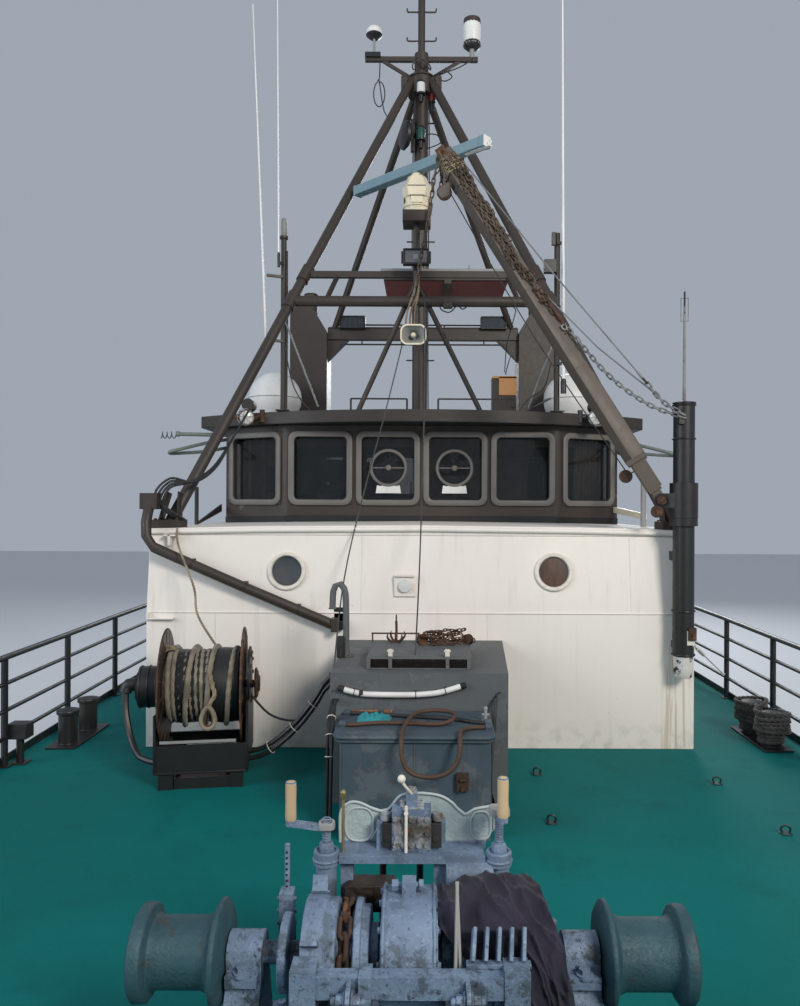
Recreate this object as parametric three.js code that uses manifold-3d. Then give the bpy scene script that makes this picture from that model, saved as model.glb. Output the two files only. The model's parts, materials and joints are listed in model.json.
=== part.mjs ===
// Steel fishing trawler, about 24.5 m long, afloat.
// Millimetres. Bow is -Y, stern +Y, port +X, up +Z. The origin lies on the centreline, amidships, at the waterline.
import * as THREE from 'three';
import { mergeVertices } from 'three/addons/utils/BufferGeometryUtils.js';
import Module from 'manifold-3d';

const wasm = await Module();
wasm.setup();

// Driving dimensions
const gap = 0.3;                 // between pieces that rest on each other
const deckZ = 2000;              // deck above the waterline from the deckhouse aft
const deckThick = 25;
const keelZ = -3000;
const houseFrontY = -3800;       // deckhouse front at the deck
const houseBackY = 4200;
const houseHalf = 2535;          // half width of the deckhouse
const houseTop = 1960;           // underside of the house top above the deck
const knuckleZ = 1250;           // crease in the front face above the deck
const wallThick = 50;
const bridgeFrontY = -1750;      // front windows of the wheelhouse
const bridgeFlatHalf = 1600;     // half width of the flat front
const bridgeHalf = 2420;         // half width over the side walls
const bridgeCornerY = -1300;
const bridgeBackY = 1200;
const bridgeFloorZ = 1150;       // wheelhouse floor above the deck
const soffitZ = 3190;            // underside of the wheelhouse roof above the deck
const roofZ = 3330;
const windowZ = [2250, 3110];
const mastX = -30;
const mastY = -400;
const apexZ = 7950;              // where the tripod legs meet, above the deck
const legFoot = [2400, -3560];   // tripod foot, x and y
const legRadius = 75;
const crossbarT = [0.418, 0.477]; // how far up the front legs the two crossbars sit
const radarAt = [-65, -2250];
const radarZ = 5960;             // underside of the scanner above the deck
const scannerLength = 1990;
const postAt = [2390, -3930];    // derrick post
const postRadius = 95;
const heelOut = 190;             // heel pin from the post's axis
const heelZ = 2300;              // heel pin above the deck
const boomYaw = 162.4;           // degrees, from port towards the stern
const boomRise = 58.6;           // degrees above level
const boomLength = 3970;
const boomWidth = 150;
const reelAt = [-1781, -4550];
const reelYaw = 9;               // degrees, its port end turned aft
const reelShaftZ = 2748;
const reelRadius = 465;
const windlassY = -8400;
const windlassShaftZ = 590;      // above the deck there
const propellerAt = [9480, -1760]; // y and z
const rudderY = 10350;           // stock axis
const shoeTop = keelZ + 130;     // top of the shoe that carries the rudder

const colours = {
  hull: ['#23262b', 0.6], deck: ['#00705f', 0.7], white: ['#e6e2da', 0.6], brown: ['#4a4038', 0.65],
  black: ['#1b1a19', 0.6], grey: ['#6d716c', 0.7], silver: ['#9aa0a2', 0.5], rubber: ['#161616', 0.9],
  pale: ['#8fb0ba', 0.5], cream: ['#e3d9bd', 0.5], glass: ['#5c6a70', 0.1], wood: ['#7a4a28', 0.6],
  drum: ['#6f7f78', 0.6], rope: ['#77705e', 0.95], bronze: ['#8a6a33', 0.4], hose: ['#4a3426', 0.8],
};

// Geometry helpers: every piece is made from three.js geometry, then joined and cut
function solidOf(geometry) {
  const bare = geometry.clone();
  for (const name of Object.keys(bare.attributes)) {
    if (name !== 'position') bare.deleteAttribute(name);
  }
  const merged = mergeVertices(bare, 0.001);
  const index = merged.index.array;
  const corners = [];
  let volume = 0;
  const point = (i) => new THREE.Vector3().fromBufferAttribute(merged.attributes.position, i);
  for (let i = 0; i < index.length; i += 3) {
    const [a, b, c] = [index[i], index[i + 1], index[i + 2]];
    if (a === b || b === c || c === a) continue;
    corners.push(a, b, c);
    volume += point(a).dot(point(b).cross(point(c)));
  }
  if (volume < 0) corners.reverse();
  const mesh = new wasm.Mesh({
    numProp: 3,
    vertProperties: Float32Array.from(merged.attributes.position.array),
    triVerts: Uint32Array.from(corners),
  });
  return new wasm.Manifold(mesh);
}

const join = (...solids) => solids.flat().reduce((whole, solid) => whole.add(solid));
const cut = (solid, ...tools) => tools.flat().reduce((rest, tool) => rest.subtract(tool), solid);

function geometryOf(solid) {
  const mesh = solid.getMesh();
  const geometry = new THREE.BufferGeometry();
  geometry.setAttribute('position', new THREE.BufferAttribute(mesh.vertProperties, mesh.numProp));
  geometry.setIndex(new THREE.BufferAttribute(mesh.triVerts, 1));
  const flat = geometry.toNonIndexed();
  flat.computeVertexNormals();
  return flat;
}

function box(x0, x1, y0, y1, z0, z1) {
  const geometry = new THREE.BoxGeometry(x1 - x0, y1 - y0, z1 - z0);
  geometry.translate((x0 + x1) / 2, (y0 + y1) / 2, (z0 + z1) / 2);
  return solidOf(geometry);
}

// Turns a geometry that runs along +Y, centred, so that it runs between two points with its Z side upmost
function between(geometry, from, to) {
  const a = new THREE.Vector3(...from);
  const b = new THREE.Vector3(...to);
  const along = b.clone().sub(a).normalize();
  const up = Math.abs(along.z) > 0.999 ? new THREE.Vector3(0, 1, 0) : new THREE.Vector3(0, 0, 1);
  const side = along.clone().cross(up).normalize();
  geometry.applyMatrix4(new THREE.Matrix4().makeBasis(side, along, side.clone().cross(along)));
  geometry.translate(...a.add(b).multiplyScalar(0.5).toArray());
  return solidOf(geometry);
}

const distance = (from, to) => new THREE.Vector3(...from).distanceTo(new THREE.Vector3(...to));
const rod = (from, to, radius, sides = 12, endRadius = radius) =>
  between(new THREE.CylinderGeometry(endRadius, radius, distance(from, to), sides), from, to);
const bar = (from, to, width, depth) => between(new THREE.BoxGeometry(width, distance(from, to), depth), from, to);

function shapeOf(points, holes = []) {
  const shape = new THREE.Shape(points.map(([x, y]) => new THREE.Vector2(x, y)));
  shape.holes.push(...holes.map((hole) => new THREE.Path(hole.map(([x, y]) => new THREE.Vector2(x, y)))));
  return shape;
}

function extrudeZ(points, z0, z1, holes) {
  const geometry = new THREE.ExtrudeGeometry(shapeOf(points, holes), { depth: z1 - z0, bevelEnabled: false });
  return solidOf(geometry.translate(0, 0, z0));
}

// Points are [y, z] pairs
function extrudeX(points, x0, x1, holes) {
  const geometry = new THREE.ExtrudeGeometry(shapeOf(points, holes), { depth: x1 - x0, bevelEnabled: false });
  const turn = new THREE.Matrix4().set(0, 0, 1, x0, 1, 0, 0, 0, 0, 1, 0, 0, 0, 0, 0, 1);
  return solidOf(geometry.applyMatrix4(turn));
}

// Points are [x, z] pairs
function extrudeY(points, y0, y1, holes) {
  const geometry = new THREE.ExtrudeGeometry(shapeOf(points, holes), { depth: y1 - y0, bevelEnabled: false });
  return solidOf(geometry.rotateX(Math.PI / 2).translate(0, y1, 0));
}

function ball(centre, radius, sides = 16, rows = 10, stretch = 1) {
  const geometry = new THREE.SphereGeometry(radius, sides, rows).rotateX(Math.PI / 2).scale(1, 1, stretch);
  return solidOf(geometry.translate(...centre));
}

// A turned piece: profile is [radius, along] pairs from axis to axis, the axis a unit direction from a point
function turned(profile, at, direction, sides = 24) {
  const geometry = new THREE.LatheGeometry(profile.map(([r, a]) => new THREE.Vector2(r, a)), sides);
  const turn = new THREE.Quaternion().setFromUnitVectors(new THREE.Vector3(0, 1, 0), new THREE.Vector3(...direction));
  geometry.applyQuaternion(turn);
  return solidOf(geometry.translate(...at));
}

function circle(x, y, radius, sides = 24) {
  const points = [];
  for (let i = 0; i < sides; i += 1) {
    const angle = (i / sides) * 2 * Math.PI;
    points.push([x + radius * Math.cos(angle), y + radius * Math.sin(angle)]);
  }
  return points;
}

// A tube along a smooth curve through the points
function pipe(points, radius, sides = 10, steps = 24, tension = 0.5) {
  const path = new THREE.CatmullRomCurve3(points.map((p) => new THREE.Vector3(...p)), false, 'catmullrom', tension);
  const section = shapeOf(circle(0, 0, radius, sides));
  return solidOf(new THREE.ExtrudeGeometry(section, { steps, extrudePath: path, bevelEnabled: false }));
}

// Skins a row of rings, each the same number of [x, y, z] points, and caps its ends
function loft(rings) {
  const size = rings[0].length;
  const points = rings.flat();
  const index = [];
  for (let r = 0; r + 1 < rings.length; r += 1) {
    for (let i = 0; i < size; i += 1) {
      const j = (i + 1) % size;
      const [a, b, c, d] = [r * size + i, r * size + j, (r + 1) * size + j, (r + 1) * size + i];
      index.push(a, b, c, a, c, d);
    }
  }
  const last = (rings.length - 1) * size;
  for (let i = 1; i + 1 < size; i += 1) index.push(0, i + 1, i, last, last + i, last + i + 1);
  const geometry = new THREE.BufferGeometry();
  geometry.setAttribute('position', new THREE.Float32BufferAttribute(points.flat(), 3));
  geometry.setIndex(index);
  return solidOf(geometry);
}

// Bore for a shaft of this radius, so that the faceted shaft can turn in it
const boreFor = (radius, sides = 24) => radius / Math.cos(Math.PI / sides) + gap;

const trawler = new THREE.Group();
function piece(name, colour, solid, parent = trawler) {
  const [paint, roughness] = colours[colour];
  const material = new THREE.MeshStandardMaterial({ color: paint, roughness, metalness: colour === 'silver' ? 0.4 : 0 });
  const mesh = new THREE.Mesh(geometryOf(solid), material);
  mesh.name = name;
  parent.add(mesh);
}

// Hull lines. Columns: y, bottom z, chine x, chine z, upper knuckle x, its z, deck edge x
const lines = [
  [-12300, 1750, 30, 1850, 50, 1980, 70],
  [-11900, 450, 60, 700, 330, 1250, 640],
  [-11300, -700, 120, -300, 760, 650, 1290],
  [-10300, -1800, 480, -800, 1500, 420, 2120],
  [-8800, -2300, 1250, -1050, 2380, 320, 2900],
  [-6800, -2480, 2100, -1250, 3020, 260, 3400],
  [-3600, -2560, 2700, -1400, 3440, 200, 3640],
  [0, -2580, 2900, -1480, 3530, 180, 3660],
  [4000, -2520, 2880, -1450, 3510, 200, 3650],
  [7200, -1900, 2700, -1200, 3420, 260, 3600],
  [9400, -760, 2450, -520, 3300, 360, 3500],
  [12150, -100, 2150, 70, 3050, 500, 3330],
];
const stationY = [-12300, -12150, -11900, -11600, -11300, -10900, -10400, -9800, -9100, -8300, -7400, -6400, -5200,
  houseFrontY, -1800, 200, 2200, 4000, 5600, 7200, 8400, 9400, 10600, 12150];

// Value of one column of the lines at y, on a smooth curve through the table
function line(y, column) {
  let i = 0;
  while (i < lines.length - 2 && y > lines[i + 1][0]) i += 1;
  const slope = (k) => {
    const before = lines[Math.max(k - 1, 0)];
    const after = lines[Math.min(k + 1, lines.length - 1)];
    return (after[column] - before[column]) / (after[0] - before[0]);
  };
  const span = lines[i + 1][0] - lines[i][0];
  const t = (y - lines[i][0]) / span;
  const [a, b] = [lines[i][column], lines[i + 1][column]];
  const [m, n] = [slope(i) * span, slope(i + 1) * span];
  return (2 * t ** 3 - 3 * t ** 2 + 1) * a + (t ** 3 - 2 * t ** 2 + t) * m + (3 * t ** 2 - 2 * t ** 3) * b
    + (t ** 3 - t ** 2) * n;
}

// Deck height: level aft of the deckhouse front, rising forward and curving up to the stem
const foreSlope = 0.02;
const sheerStart = -8300;
function sheer(y) {
  const rise = foreSlope * Math.max(0, houseFrontY - y);
  const curl = Math.max(0, sheerStart - y) / 4000;
  return deckZ + rise + 260 * curl ** 2;
}
// A value of the hull at any y, straight between the stations as the plates are
const plated = (value) => (y) => {
  let i = 0;
  while (i < stationY.length - 2 && y > stationY[i + 1]) i += 1;
  const t = (y - stationY[i]) / (stationY[i + 1] - stationY[i]);
  return value(stationY[i]) * (1 - t) + value(stationY[i + 1]) * t;
};
const deckAt = plated(sheer);
const halfBeam = plated((y) => line(y, 6));
const bottomAt = plated((y) => line(y, 1));
// A block whose underside follows the deck
const deckBlock = (x0, x1, y0, y1, z1) =>
  extrudeX([[y0, deckAt(y0) + gap], [y1, deckAt(y1) + gap], [y1, z1], [y0, z1]], x0, x1);

function hull() {
  const halfKeel = 130;
  const rings = stationY.map((y) => {
    const top = sheer(y) - deckThick - gap;
    const [bottom, chineX, chineZ, upperX, upperZ, deckX] = [1, 2, 3, 4, 5, 6].map((c) => line(y, c));
    const low = Math.min(halfKeel, chineX * 0.8);
    const side = [[low, bottom], [chineX, chineZ], [upperX, upperZ], [deckX, top]];
    const port = side.map(([x, z]) => [x, y, z]);
    const starboard = side.toReversed().map(([x, z]) => [-x, y, z]);
    return [...port, ...starboard];
  });
  // Bar keel, deadwood and the shoe under the propeller, seen from the side
  const keel = [[-10200, -1500], [-9000, -2450], [-7400, -2800], [-4000, keelZ + 40], [0, keelZ], [rudderY + 150, keelZ],
    [rudderY + 150, shoeTop], [rudderY - 150, shoeTop], [8750, shoeTop + 40], [8750, propellerAt[1] - 190],
    [9200, propellerAt[1] - 130], [9200, propellerAt[1] + 130], [8750, propellerAt[1] + 200], [8500, -900],
    [4000, -2200], [-9000, -2000]];
  const boss = rod([0, 7500, propellerAt[1]], [0, 9300, propellerAt[1]], 150, 20);
  return join(loft(rings), extrudeX(keel, -110, 110), boss);
}

const deckEdge = 4;
function deckPlate(lift = 0) {
  return loft(stationY.map((y) => {
    const [x, low, top] = [line(y, 6) - deckEdge, sheer(y) - deckThick - lift, sheer(y) + lift];
    return [[x, y, low], [x, y, top], [-x, y, top], [-x, y, low]];
  }));
}
// Trims what stands on the deck so that its feet follow the deck
const onDeck = (solid) => cut(solid, deckPlate(gap));

const strakeProud = 90;
const strakeTop = 30;            // below the deck edge
const strakeLow = 250;
function rubbingStrake() {
  const side = (sign) => loft(stationY.map((y) => {
    const [x, z] = [line(y, 6), sheer(y)];
    return [[x + gap, z - strakeTop], [x + strakeProud, z - strakeTop - 30], [x + strakeProud, z - strakeLow + 30],
      [x + gap, z - strakeLow]].map(([a, b]) => [sign * a, y, b]);
  }));
  const [stemY, stemX, stemZ] = [stationY[0], line(stationY[0], 6), sheer(stationY[0])];
  const stem = box(-stemX - 60, stemX + 60, stemY - strakeProud, stemY, stemZ - strakeLow + 30, stemZ - strakeTop - 30);
  const seat = box(-stemX - gap, stemX + gap, stemY - gap, stemY + 10, 0, 5000);
  return join(side(1), side(-1), cut(stem, seat));
}

// Open rails round the foredeck, back to the bulwarks
const railHeights = [925, 700, 470, 240];
const railEndY = houseBackY - 300;
const railRing = (x, y, z, radius, sides) => circle(x, z, radius, sides).map(([a, b]) => [a, y, b]);
const topRail = railHeights[0];
function bowRails() {
  const inset = 70;
  const foot = (y, sign) => [sign * (halfBeam(y) - inset), y];
  const postY = [-11750, -11000, -10000, -8700, -7200, -5700, -4400, -3100, -1800, -500, 900, 2400, railEndY];
  const solids = [];
  for (const sign of [1, -1]) {
    for (const y of postY) {
      const [x] = foot(y, sign);
      solids.push(bar([x, y, deckAt(y) - 10], [x, y, deckAt(y) + topRail], 58, 58));
    }
    for (const height of railHeights) {
      const [radius, sides] = height === topRail ? [26, 6] : [18, 4];
      solids.push(loft(postY.map((y) => railRing(...foot(y, sign), deckAt(y) + height, radius, sides))));
    }
  }
  const [bowX] = foot(postY[0], 1);
  for (const height of railHeights) {
    const z = deckAt(postY[0]) + height;
    solids.push(rod([-bowX, postY[0], z], [bowX, postY[0], z], height === topRail ? 26 : 18, 6));
  }
  return onDeck(join(solids));
}

const bulwarkHigh = 980;
function bulwark() {
  const [start, end, thick] = [railEndY + 60, 12100, 60];
  const ys = [start, 5600, 7200, 8400, 9400, 10600, end];
  const outer = ys.map((y) => [halfBeam(y) - 10, y]);
  const inner = ys.slice(0, -1).concat(end - thick).map((y) => [halfBeam(y) - 10 - thick, y]);
  const plan = [...outer, ...outer.toReversed().map(([x, y]) => [-x, y]), ...inner.map(([x, y]) => [-x, y]),
    ...inner.toReversed()];
  const walls = extrudeZ(plan, deckZ + gap, deckZ + bulwarkHigh);
  const capZ = deckZ + bulwarkHigh;
  const cap = (sign) => loft(ys.map((y) => [[-30, -5], [-30, 25], [110, 25], [110, -5]]
    .map(([x, z]) => [sign * (halfBeam(y) - x), y, capZ + z])));
  const aft = box(-halfBeam(end) - 20, halfBeam(end) + 20, end - 100, end + 30, capZ - 8, capZ + 28);
  return join(walls, cap(1), cap(-1), aft);
}

// Deckhouse
const portholeZ = 1630;
const portholeRadius = 140;
function porthole(solid, from, to, rimFrom, rimTo) {
  const rim = rod(rimFrom, rimTo, portholeRadius + 32, 24);
  return cut(join(solid, rim), rod(from, to, portholeRadius, 24));
}

const rake = (houseTop - knuckleZ) * (100 / 760);
const lean = Math.atan2(rake, houseTop - knuckleZ);
function houseFront() {
  const z = (v) => deckZ + v;
  const top = z(houseTop) - gap;
  const profile = [[houseFrontY, z(0) + gap], [houseFrontY + wallThick, z(0) + gap], [houseFrontY + wallThick, z(knuckleZ)],
    [houseFrontY + rake + wallThick, top], [houseFrontY + rake, top], [houseFrontY, z(knuckleZ)]];
  let wall = extrudeX(profile, -houseHalf, houseHalf);
  const faceY = houseFrontY + rake * (portholeZ - knuckleZ) / (houseTop - knuckleZ);
  for (const x of [-1245, 1240]) {
    const at = (s) => [x, faceY + s * Math.cos(lean), z(portholeZ) - s * Math.sin(lean)];
    wall = porthole(wall, at(-200), at(200), at(-14), at(20));
  }
  return wall;
}

const doorY = [2650, 3330];
const doorZ = [160, 1800];
const hingeZs = [350, 1450];
const sidePortholes = [-2700, -1200, 400];
function houseSide(sign) {
  const z = (v) => deckZ + v;
  const top = z(houseTop) - gap;
  const y0 = houseFrontY + wallThick + gap;
  const y1 = houseBackY - wallThick - gap;
  const profile = [[y0, z(0) + gap], [y1, z(0) + gap], [y1, top], [y0 + rake, top], [y0, z(knuckleZ)]];
  const [x0, x1] = sign > 0 ? [houseHalf - wallThick, houseHalf] : [-houseHalf, wallThick - houseHalf];
  let wall = extrudeX(profile, x0, x1);
  wall = cut(wall, box(x0 - 9, x1 + 9, ...doorY, ...doorZ.map(z)));
  for (const y of sidePortholes) {
    wall = cut(wall, rod([x0 - 90, y, z(portholeZ)], [x1 + 90, y, z(portholeZ)], portholeRadius, 16));
  }
  const knuckles = hingeZs.map((v) => sideKnuckle(sign, z(v), -1));
  return join(wall, knuckles);
}

// Half of a door hinge: a barrel beside the wall and its leaf, towards the hull (-1) or the door (1)
const hingeOut = 22;
function sideKnuckle(sign, z, towards) {
  const x = sign * (houseHalf + hingeOut);
  const barrel = rod([x, doorY[0], z], [x, doorY[0], z + 70], 16, 12);
  const xs = [sign * (houseHalf - 2), x].sort((a, b) => a - b);
  const ys = [doorY[0] + towards * 8, doorY[0] + towards * 60].sort((a, b) => a - b);
  const arm = [doorY[0], doorY[0] + towards * 20].sort((a, b) => a - b);
  return join(barrel, box(...xs, ...ys, z, z + 70),
    box(...[x - sign * 6, x + sign * 6].sort((a, b) => a - b), ...arm, z, z + 70));
}

function sideDoor(sign) {
  const z = (v) => deckZ + v;
  const play = 6;
  const xs = [sign * (houseHalf - 44), sign * houseHalf].sort((a, b) => a - b);
  const leaf = box(...xs, doorY[0] + play, doorY[1] - play, z(doorZ[0] + play), z(doorZ[1] - play));
  const knuckles = hingeZs.map((v) => sideKnuckle(sign, z(v) + 70 + gap, 1));
  const lever = join(rod([sign * houseHalf, doorY[1] - 90, z(950)], [sign * (houseHalf + 50), doorY[1] - 90, z(950)], 14),
    bar([sign * (houseHalf + 45), doorY[1] - 90, z(960)], [sign * (houseHalf + 45), doorY[1] - 90, z(790)], 26, 16));
  const hood = box(...[sign * (houseHalf - 2), sign * (houseHalf + 12)].sort((a, b) => a - b),
    doorY[0] + 120, doorY[1] - 120, z(1250), z(1620));
  return join(leaf, knuckles, lever, hood);
}

function houseBack() {
  const z = (v) => deckZ + v;
  const wall = box(-houseHalf, houseHalf, houseBackY - wallThick, houseBackY, z(0) + gap, z(houseTop) - gap);
  const window = (x) => box(x - 250, x + 250, houseBackY - 200, houseBackY + 200, z(1250), z(1650));
  return cut(wall, window(-1300), window(1300));
}

// Top profile across the boat: cambered above, flat below
const camber = [[-houseHalf, 2020], [-1500, 2046], [0, 2060], [1500, 2046], [houseHalf, 2020]];
const housePlan = [houseFrontY + rake, houseBackY];
const camberSolid = (lift, y0, y1) => extrudeY(
  [[-houseHalf, deckZ + houseTop - lift], [houseHalf, deckZ + houseTop - lift],
    ...camber.toReversed().map(([x, z]) => [x, deckZ + z + lift])], y0, y1);
function houseTopPlate() {
  const well = box(-bridgeHalf + 120, bridgeHalf - 120, bridgeCornerY + 60, bridgeBackY - 120, deckZ, deckZ + 3000);
  const wellFront = box(-bridgeFlatHalf + 60, bridgeFlatHalf - 60, bridgeFrontY + 120, bridgeCornerY + 80, deckZ, deckZ + 3000);
  return cut(camberSolid(0, ...housePlan), well, wellFront);
}

function bridgeFloor() {
  const inside = houseHalf - wallThick - gap;
  const z = deckZ + bridgeFloorZ;
  const floor = box(-inside, inside, bridgeFrontY, bridgeBackY, z - 50, z);
  const desk = extrudeX([[-1500, z - 5], [-1500, z + 1060], [-1250, z + 1060], [-1020, z + 960], [-1020, z - 5]], -1450, 1450);
  const seatPost = rod([300, -350, z - 5], [300, -350, z + 560], 45, 12);
  const seat = join(box(60, 540, -580, -100, z + 540, z + 640), box(60, 540, -160, -60, z + 600, z + 1250));
  return join(floor, desk, seatPost, seat);
}

// Wheelhouse walls stand on the cambered house top
const bridgeTopGap = deckZ + soffitZ - gap;
const onHouseTop = (solid) => cut(solid, camberSolid(gap, housePlan[0] - 500, housePlan[1] + 500));
const bridgeThick = 60;
const windowCentres = [-1195, -398, 398, 1195];
const windowWidth = 640;         // clear opening
const windowFrame = 50;
function bridgeFront() {
  const t = bridgeThick;
  const outer = [[-bridgeHalf, bridgeCornerY], [-bridgeFlatHalf, bridgeFrontY], [bridgeFlatHalf, bridgeFrontY],
    [bridgeHalf, bridgeCornerY]];
  const inner = [[bridgeHalf - t * 0.45, bridgeCornerY + t * 0.88], [bridgeFlatHalf - t * 0.25, bridgeFrontY + t],
    [-bridgeFlatHalf + t * 0.25, bridgeFrontY + t], [-bridgeHalf + t * 0.45, bridgeCornerY + t * 0.88]];
  let wall = extrudeZ([...outer, ...inner], deckZ + houseTop, bridgeTopGap);
  const frames = [];
  const holes = [];
  const windowAt = (centre, angle, width) => {
    const [z0, z1] = windowZ;
    const plate = (w, h, thick, out) => {
      const geometry = new THREE.BoxGeometry(w, thick, h).translate(0, out, 0).rotateZ(angle);
      return solidOf(geometry.translate(centre[0], centre[1], deckZ + (z0 + z1) / 2));
    };
    frames.push(plate(width + 2 * windowFrame, z1 - z0, 40, 6));
    holes.push(plate(width, z1 - z0 - 2 * windowFrame, 400, 0));
  };
  for (const x of windowCentres) windowAt([x, bridgeFrontY], 0, windowWidth);
  const cornerAngle = Math.atan2(bridgeCornerY - bridgeFrontY, bridgeHalf - bridgeFlatHalf);
  const mid = [(bridgeHalf + bridgeFlatHalf) / 2, (bridgeCornerY + bridgeFrontY) / 2];
  windowAt(mid, cornerAngle, 680);
  windowAt([-mid[0], mid[1]], -cornerAngle, 680);
  return onHouseTop(cut(join(wall, frames), holes));
}

function bridgeSide(sign) {
  const t = bridgeThick;
  const backY = bridgeBackY - t - gap;
  const plan = [[bridgeHalf, bridgeCornerY + 1], [bridgeHalf - t * 0.45, bridgeCornerY + t * 0.88 + 1],
    [bridgeHalf - t, bridgeCornerY + t * 0.88 + 30], [bridgeHalf - t, backY], [bridgeHalf, backY]].map(([x, y]) => [sign * x, y]);
  const wall = extrudeZ(plan, deckZ + houseTop, bridgeTopGap);
  const frames = [];
  const holes = [];
  for (const [from, to] of [[-1130, -330], [-180, 620]]) {
    frames.push(box(...[sign * (bridgeHalf - 20), sign * (bridgeHalf + 14)].sort((a, b) => a - b), from, to,
      ...windowZ.map((v) => deckZ + v)));
    holes.push(box(...[sign * (bridgeHalf - 200), sign * (bridgeHalf + 200)].sort((a, b) => a - b), from + windowFrame,
      to - windowFrame, deckZ + windowZ[0] + windowFrame, deckZ + windowZ[1] - windowFrame));
  }
  return onHouseTop(cut(join(wall, frames), holes));
}

function bridgeBack() {
  const wall = box(-bridgeHalf, bridgeHalf, bridgeBackY - bridgeThick, bridgeBackY, deckZ + houseTop, bridgeTopGap);
  const window = (x) => box(x - 380, x + 380, bridgeBackY - 200, bridgeBackY + 200, deckZ + 2400, deckZ + 3000);
  return onHouseTop(cut(wall, window(-1500), window(-500), window(500), window(1500)));
}

// Roof with a bowed front edge, a cabinet, lamp brackets and the two antenna posts
const roofHalf = 2730;
const roofEndY = -1300;
const roofNoseY = -2200;
const roofBackY = 1700;
const antennaPosts = [[-1620, -1850, 5350], [1573, -1850, 5430]];
function bridgeRoof() {
  const depth = roofEndY - roofNoseY;
  const radius = (roofHalf ** 2 + depth ** 2) / (2 * depth);
  const reach = Math.asin(roofHalf / radius);
  const plan = [];
  for (let i = 0; i <= 16; i += 1) {
    const angle = -reach + (2 * reach * i) / 16;
    plan.push([radius * Math.sin(angle), roofNoseY + radius * (1 - Math.cos(angle))]);
  }
  plan.push([roofHalf, roofBackY], [-roofHalf, roofBackY]);
  const top = deckZ + roofZ;
  const slab = extrudeZ(plan, deckZ + soffitZ, top);
  const cabinet = box(880, 1170, -1250, -1000, top - 5, top + 520);
  const posts = antennaPosts.map(([x, y, z]) => rod([x, y, top - 5], [x, y, deckZ + z], 34, 12));
  const lamps = [[-2080, -1540], [2080, -1540]].map(([x, y]) => join(rod([x, y, top - 5], [x, y, top + 60], 20),
    rod([x, y - 110, top + 110], [x, y + 60, top + 110], 75, 16)));
  const rail = [];
  const rz = [top + 330, top + 620];
  for (const x of [-1150, -250, 250, 1150]) rail.push(rod([x, roofBackY - 80, top - 5], [x, roofBackY - 80, rz[1]], 16, 8));
  for (const z of rz) {
    rail.push(rod([-1150, roofBackY - 80, z], [-250, roofBackY - 80, z], 14, 8));
    rail.push(rod([250, roofBackY - 80, z], [1150, roofBackY - 80, z], 14, 8));
  }
  return join(slab, cabinet, posts, lamps, rail);
}

function bridgeGlass() {
  const edge = (inset) => {
    const end = [bridgeHalf - 0.48 * inset - 39, bridgeCornerY + 0.88 * inset - 22];
    const knee = [bridgeFlatHalf - 0.257 * inset, bridgeFrontY + inset];
    return [[-end[0], end[1]], [-knee[0], knee[1]], knee, end];
  };
  const z = [deckZ + windowZ[0] + 20, deckZ + windowZ[1] - 20];
  return extrudeZ([...edge(bridgeThick + 2 * gap), ...edge(bridgeThick + 8).toReversed()], ...z);
}

// Trunk on the centreline ahead of the deckhouse: a louvred rear box and a lower companion with a lid
const trunkBackY = houseFrontY - gap;
const trunkMidY = -5260;
const trunkFrontY = -5960;
const trunkHalf = 662;
const rearTop = 1000;
const lidZ = 690;
function trunk() {
  const plan = (x0, x1, x2, x3, y0, y1) => [[x0, y0], [x1, y0], [x3, y1], [x2, y1]];
  const rear = extrudeZ(plan(-trunkHalf, trunkHalf, -trunkHalf, trunkHalf + 96, trunkMidY, trunkBackY), deckZ + 20, deckZ + rearTop);
  const vent = extrudeZ(plan(-393, 385, -420, 432, trunkMidY + 160, trunkMidY + 920), deckZ + rearTop - 5, deckZ + rearTop + 86);
  const front = box(-518, 478, trunkFrontY + 20, trunkMidY + 5, deckZ + 30, deckZ + lidZ);
  const hollow = box(-468, 428, trunkFrontY + 70, trunkMidY - 50, deckZ + 90, deckZ + lidZ + 200);
  const neckY = -4600;
  const neck = pipe([[-606, neckY, deckZ + rearTop - 20], [-610, neckY, deckZ + 1400], [-620, neckY, deckZ + 1540],
    [-666, neckY, deckZ + 1600], [-712, neckY, deckZ + 1550], [-722, neckY, deckZ + 1390]], 27, 10, 18);
  const hinge = [-300, 200].map((x) => join(rod([x, trunkMidY - 24, deckZ + lidZ + 24], [x + 60, trunkMidY - 24, deckZ + lidZ + 24], 14),
    box(x, x + 60, trunkMidY - 24, trunkMidY + 4, deckZ + lidZ + 10, deckZ + lidZ + 38)));
  return join(cut(join(rear, vent, front), hollow), neck, hinge);
}

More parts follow.
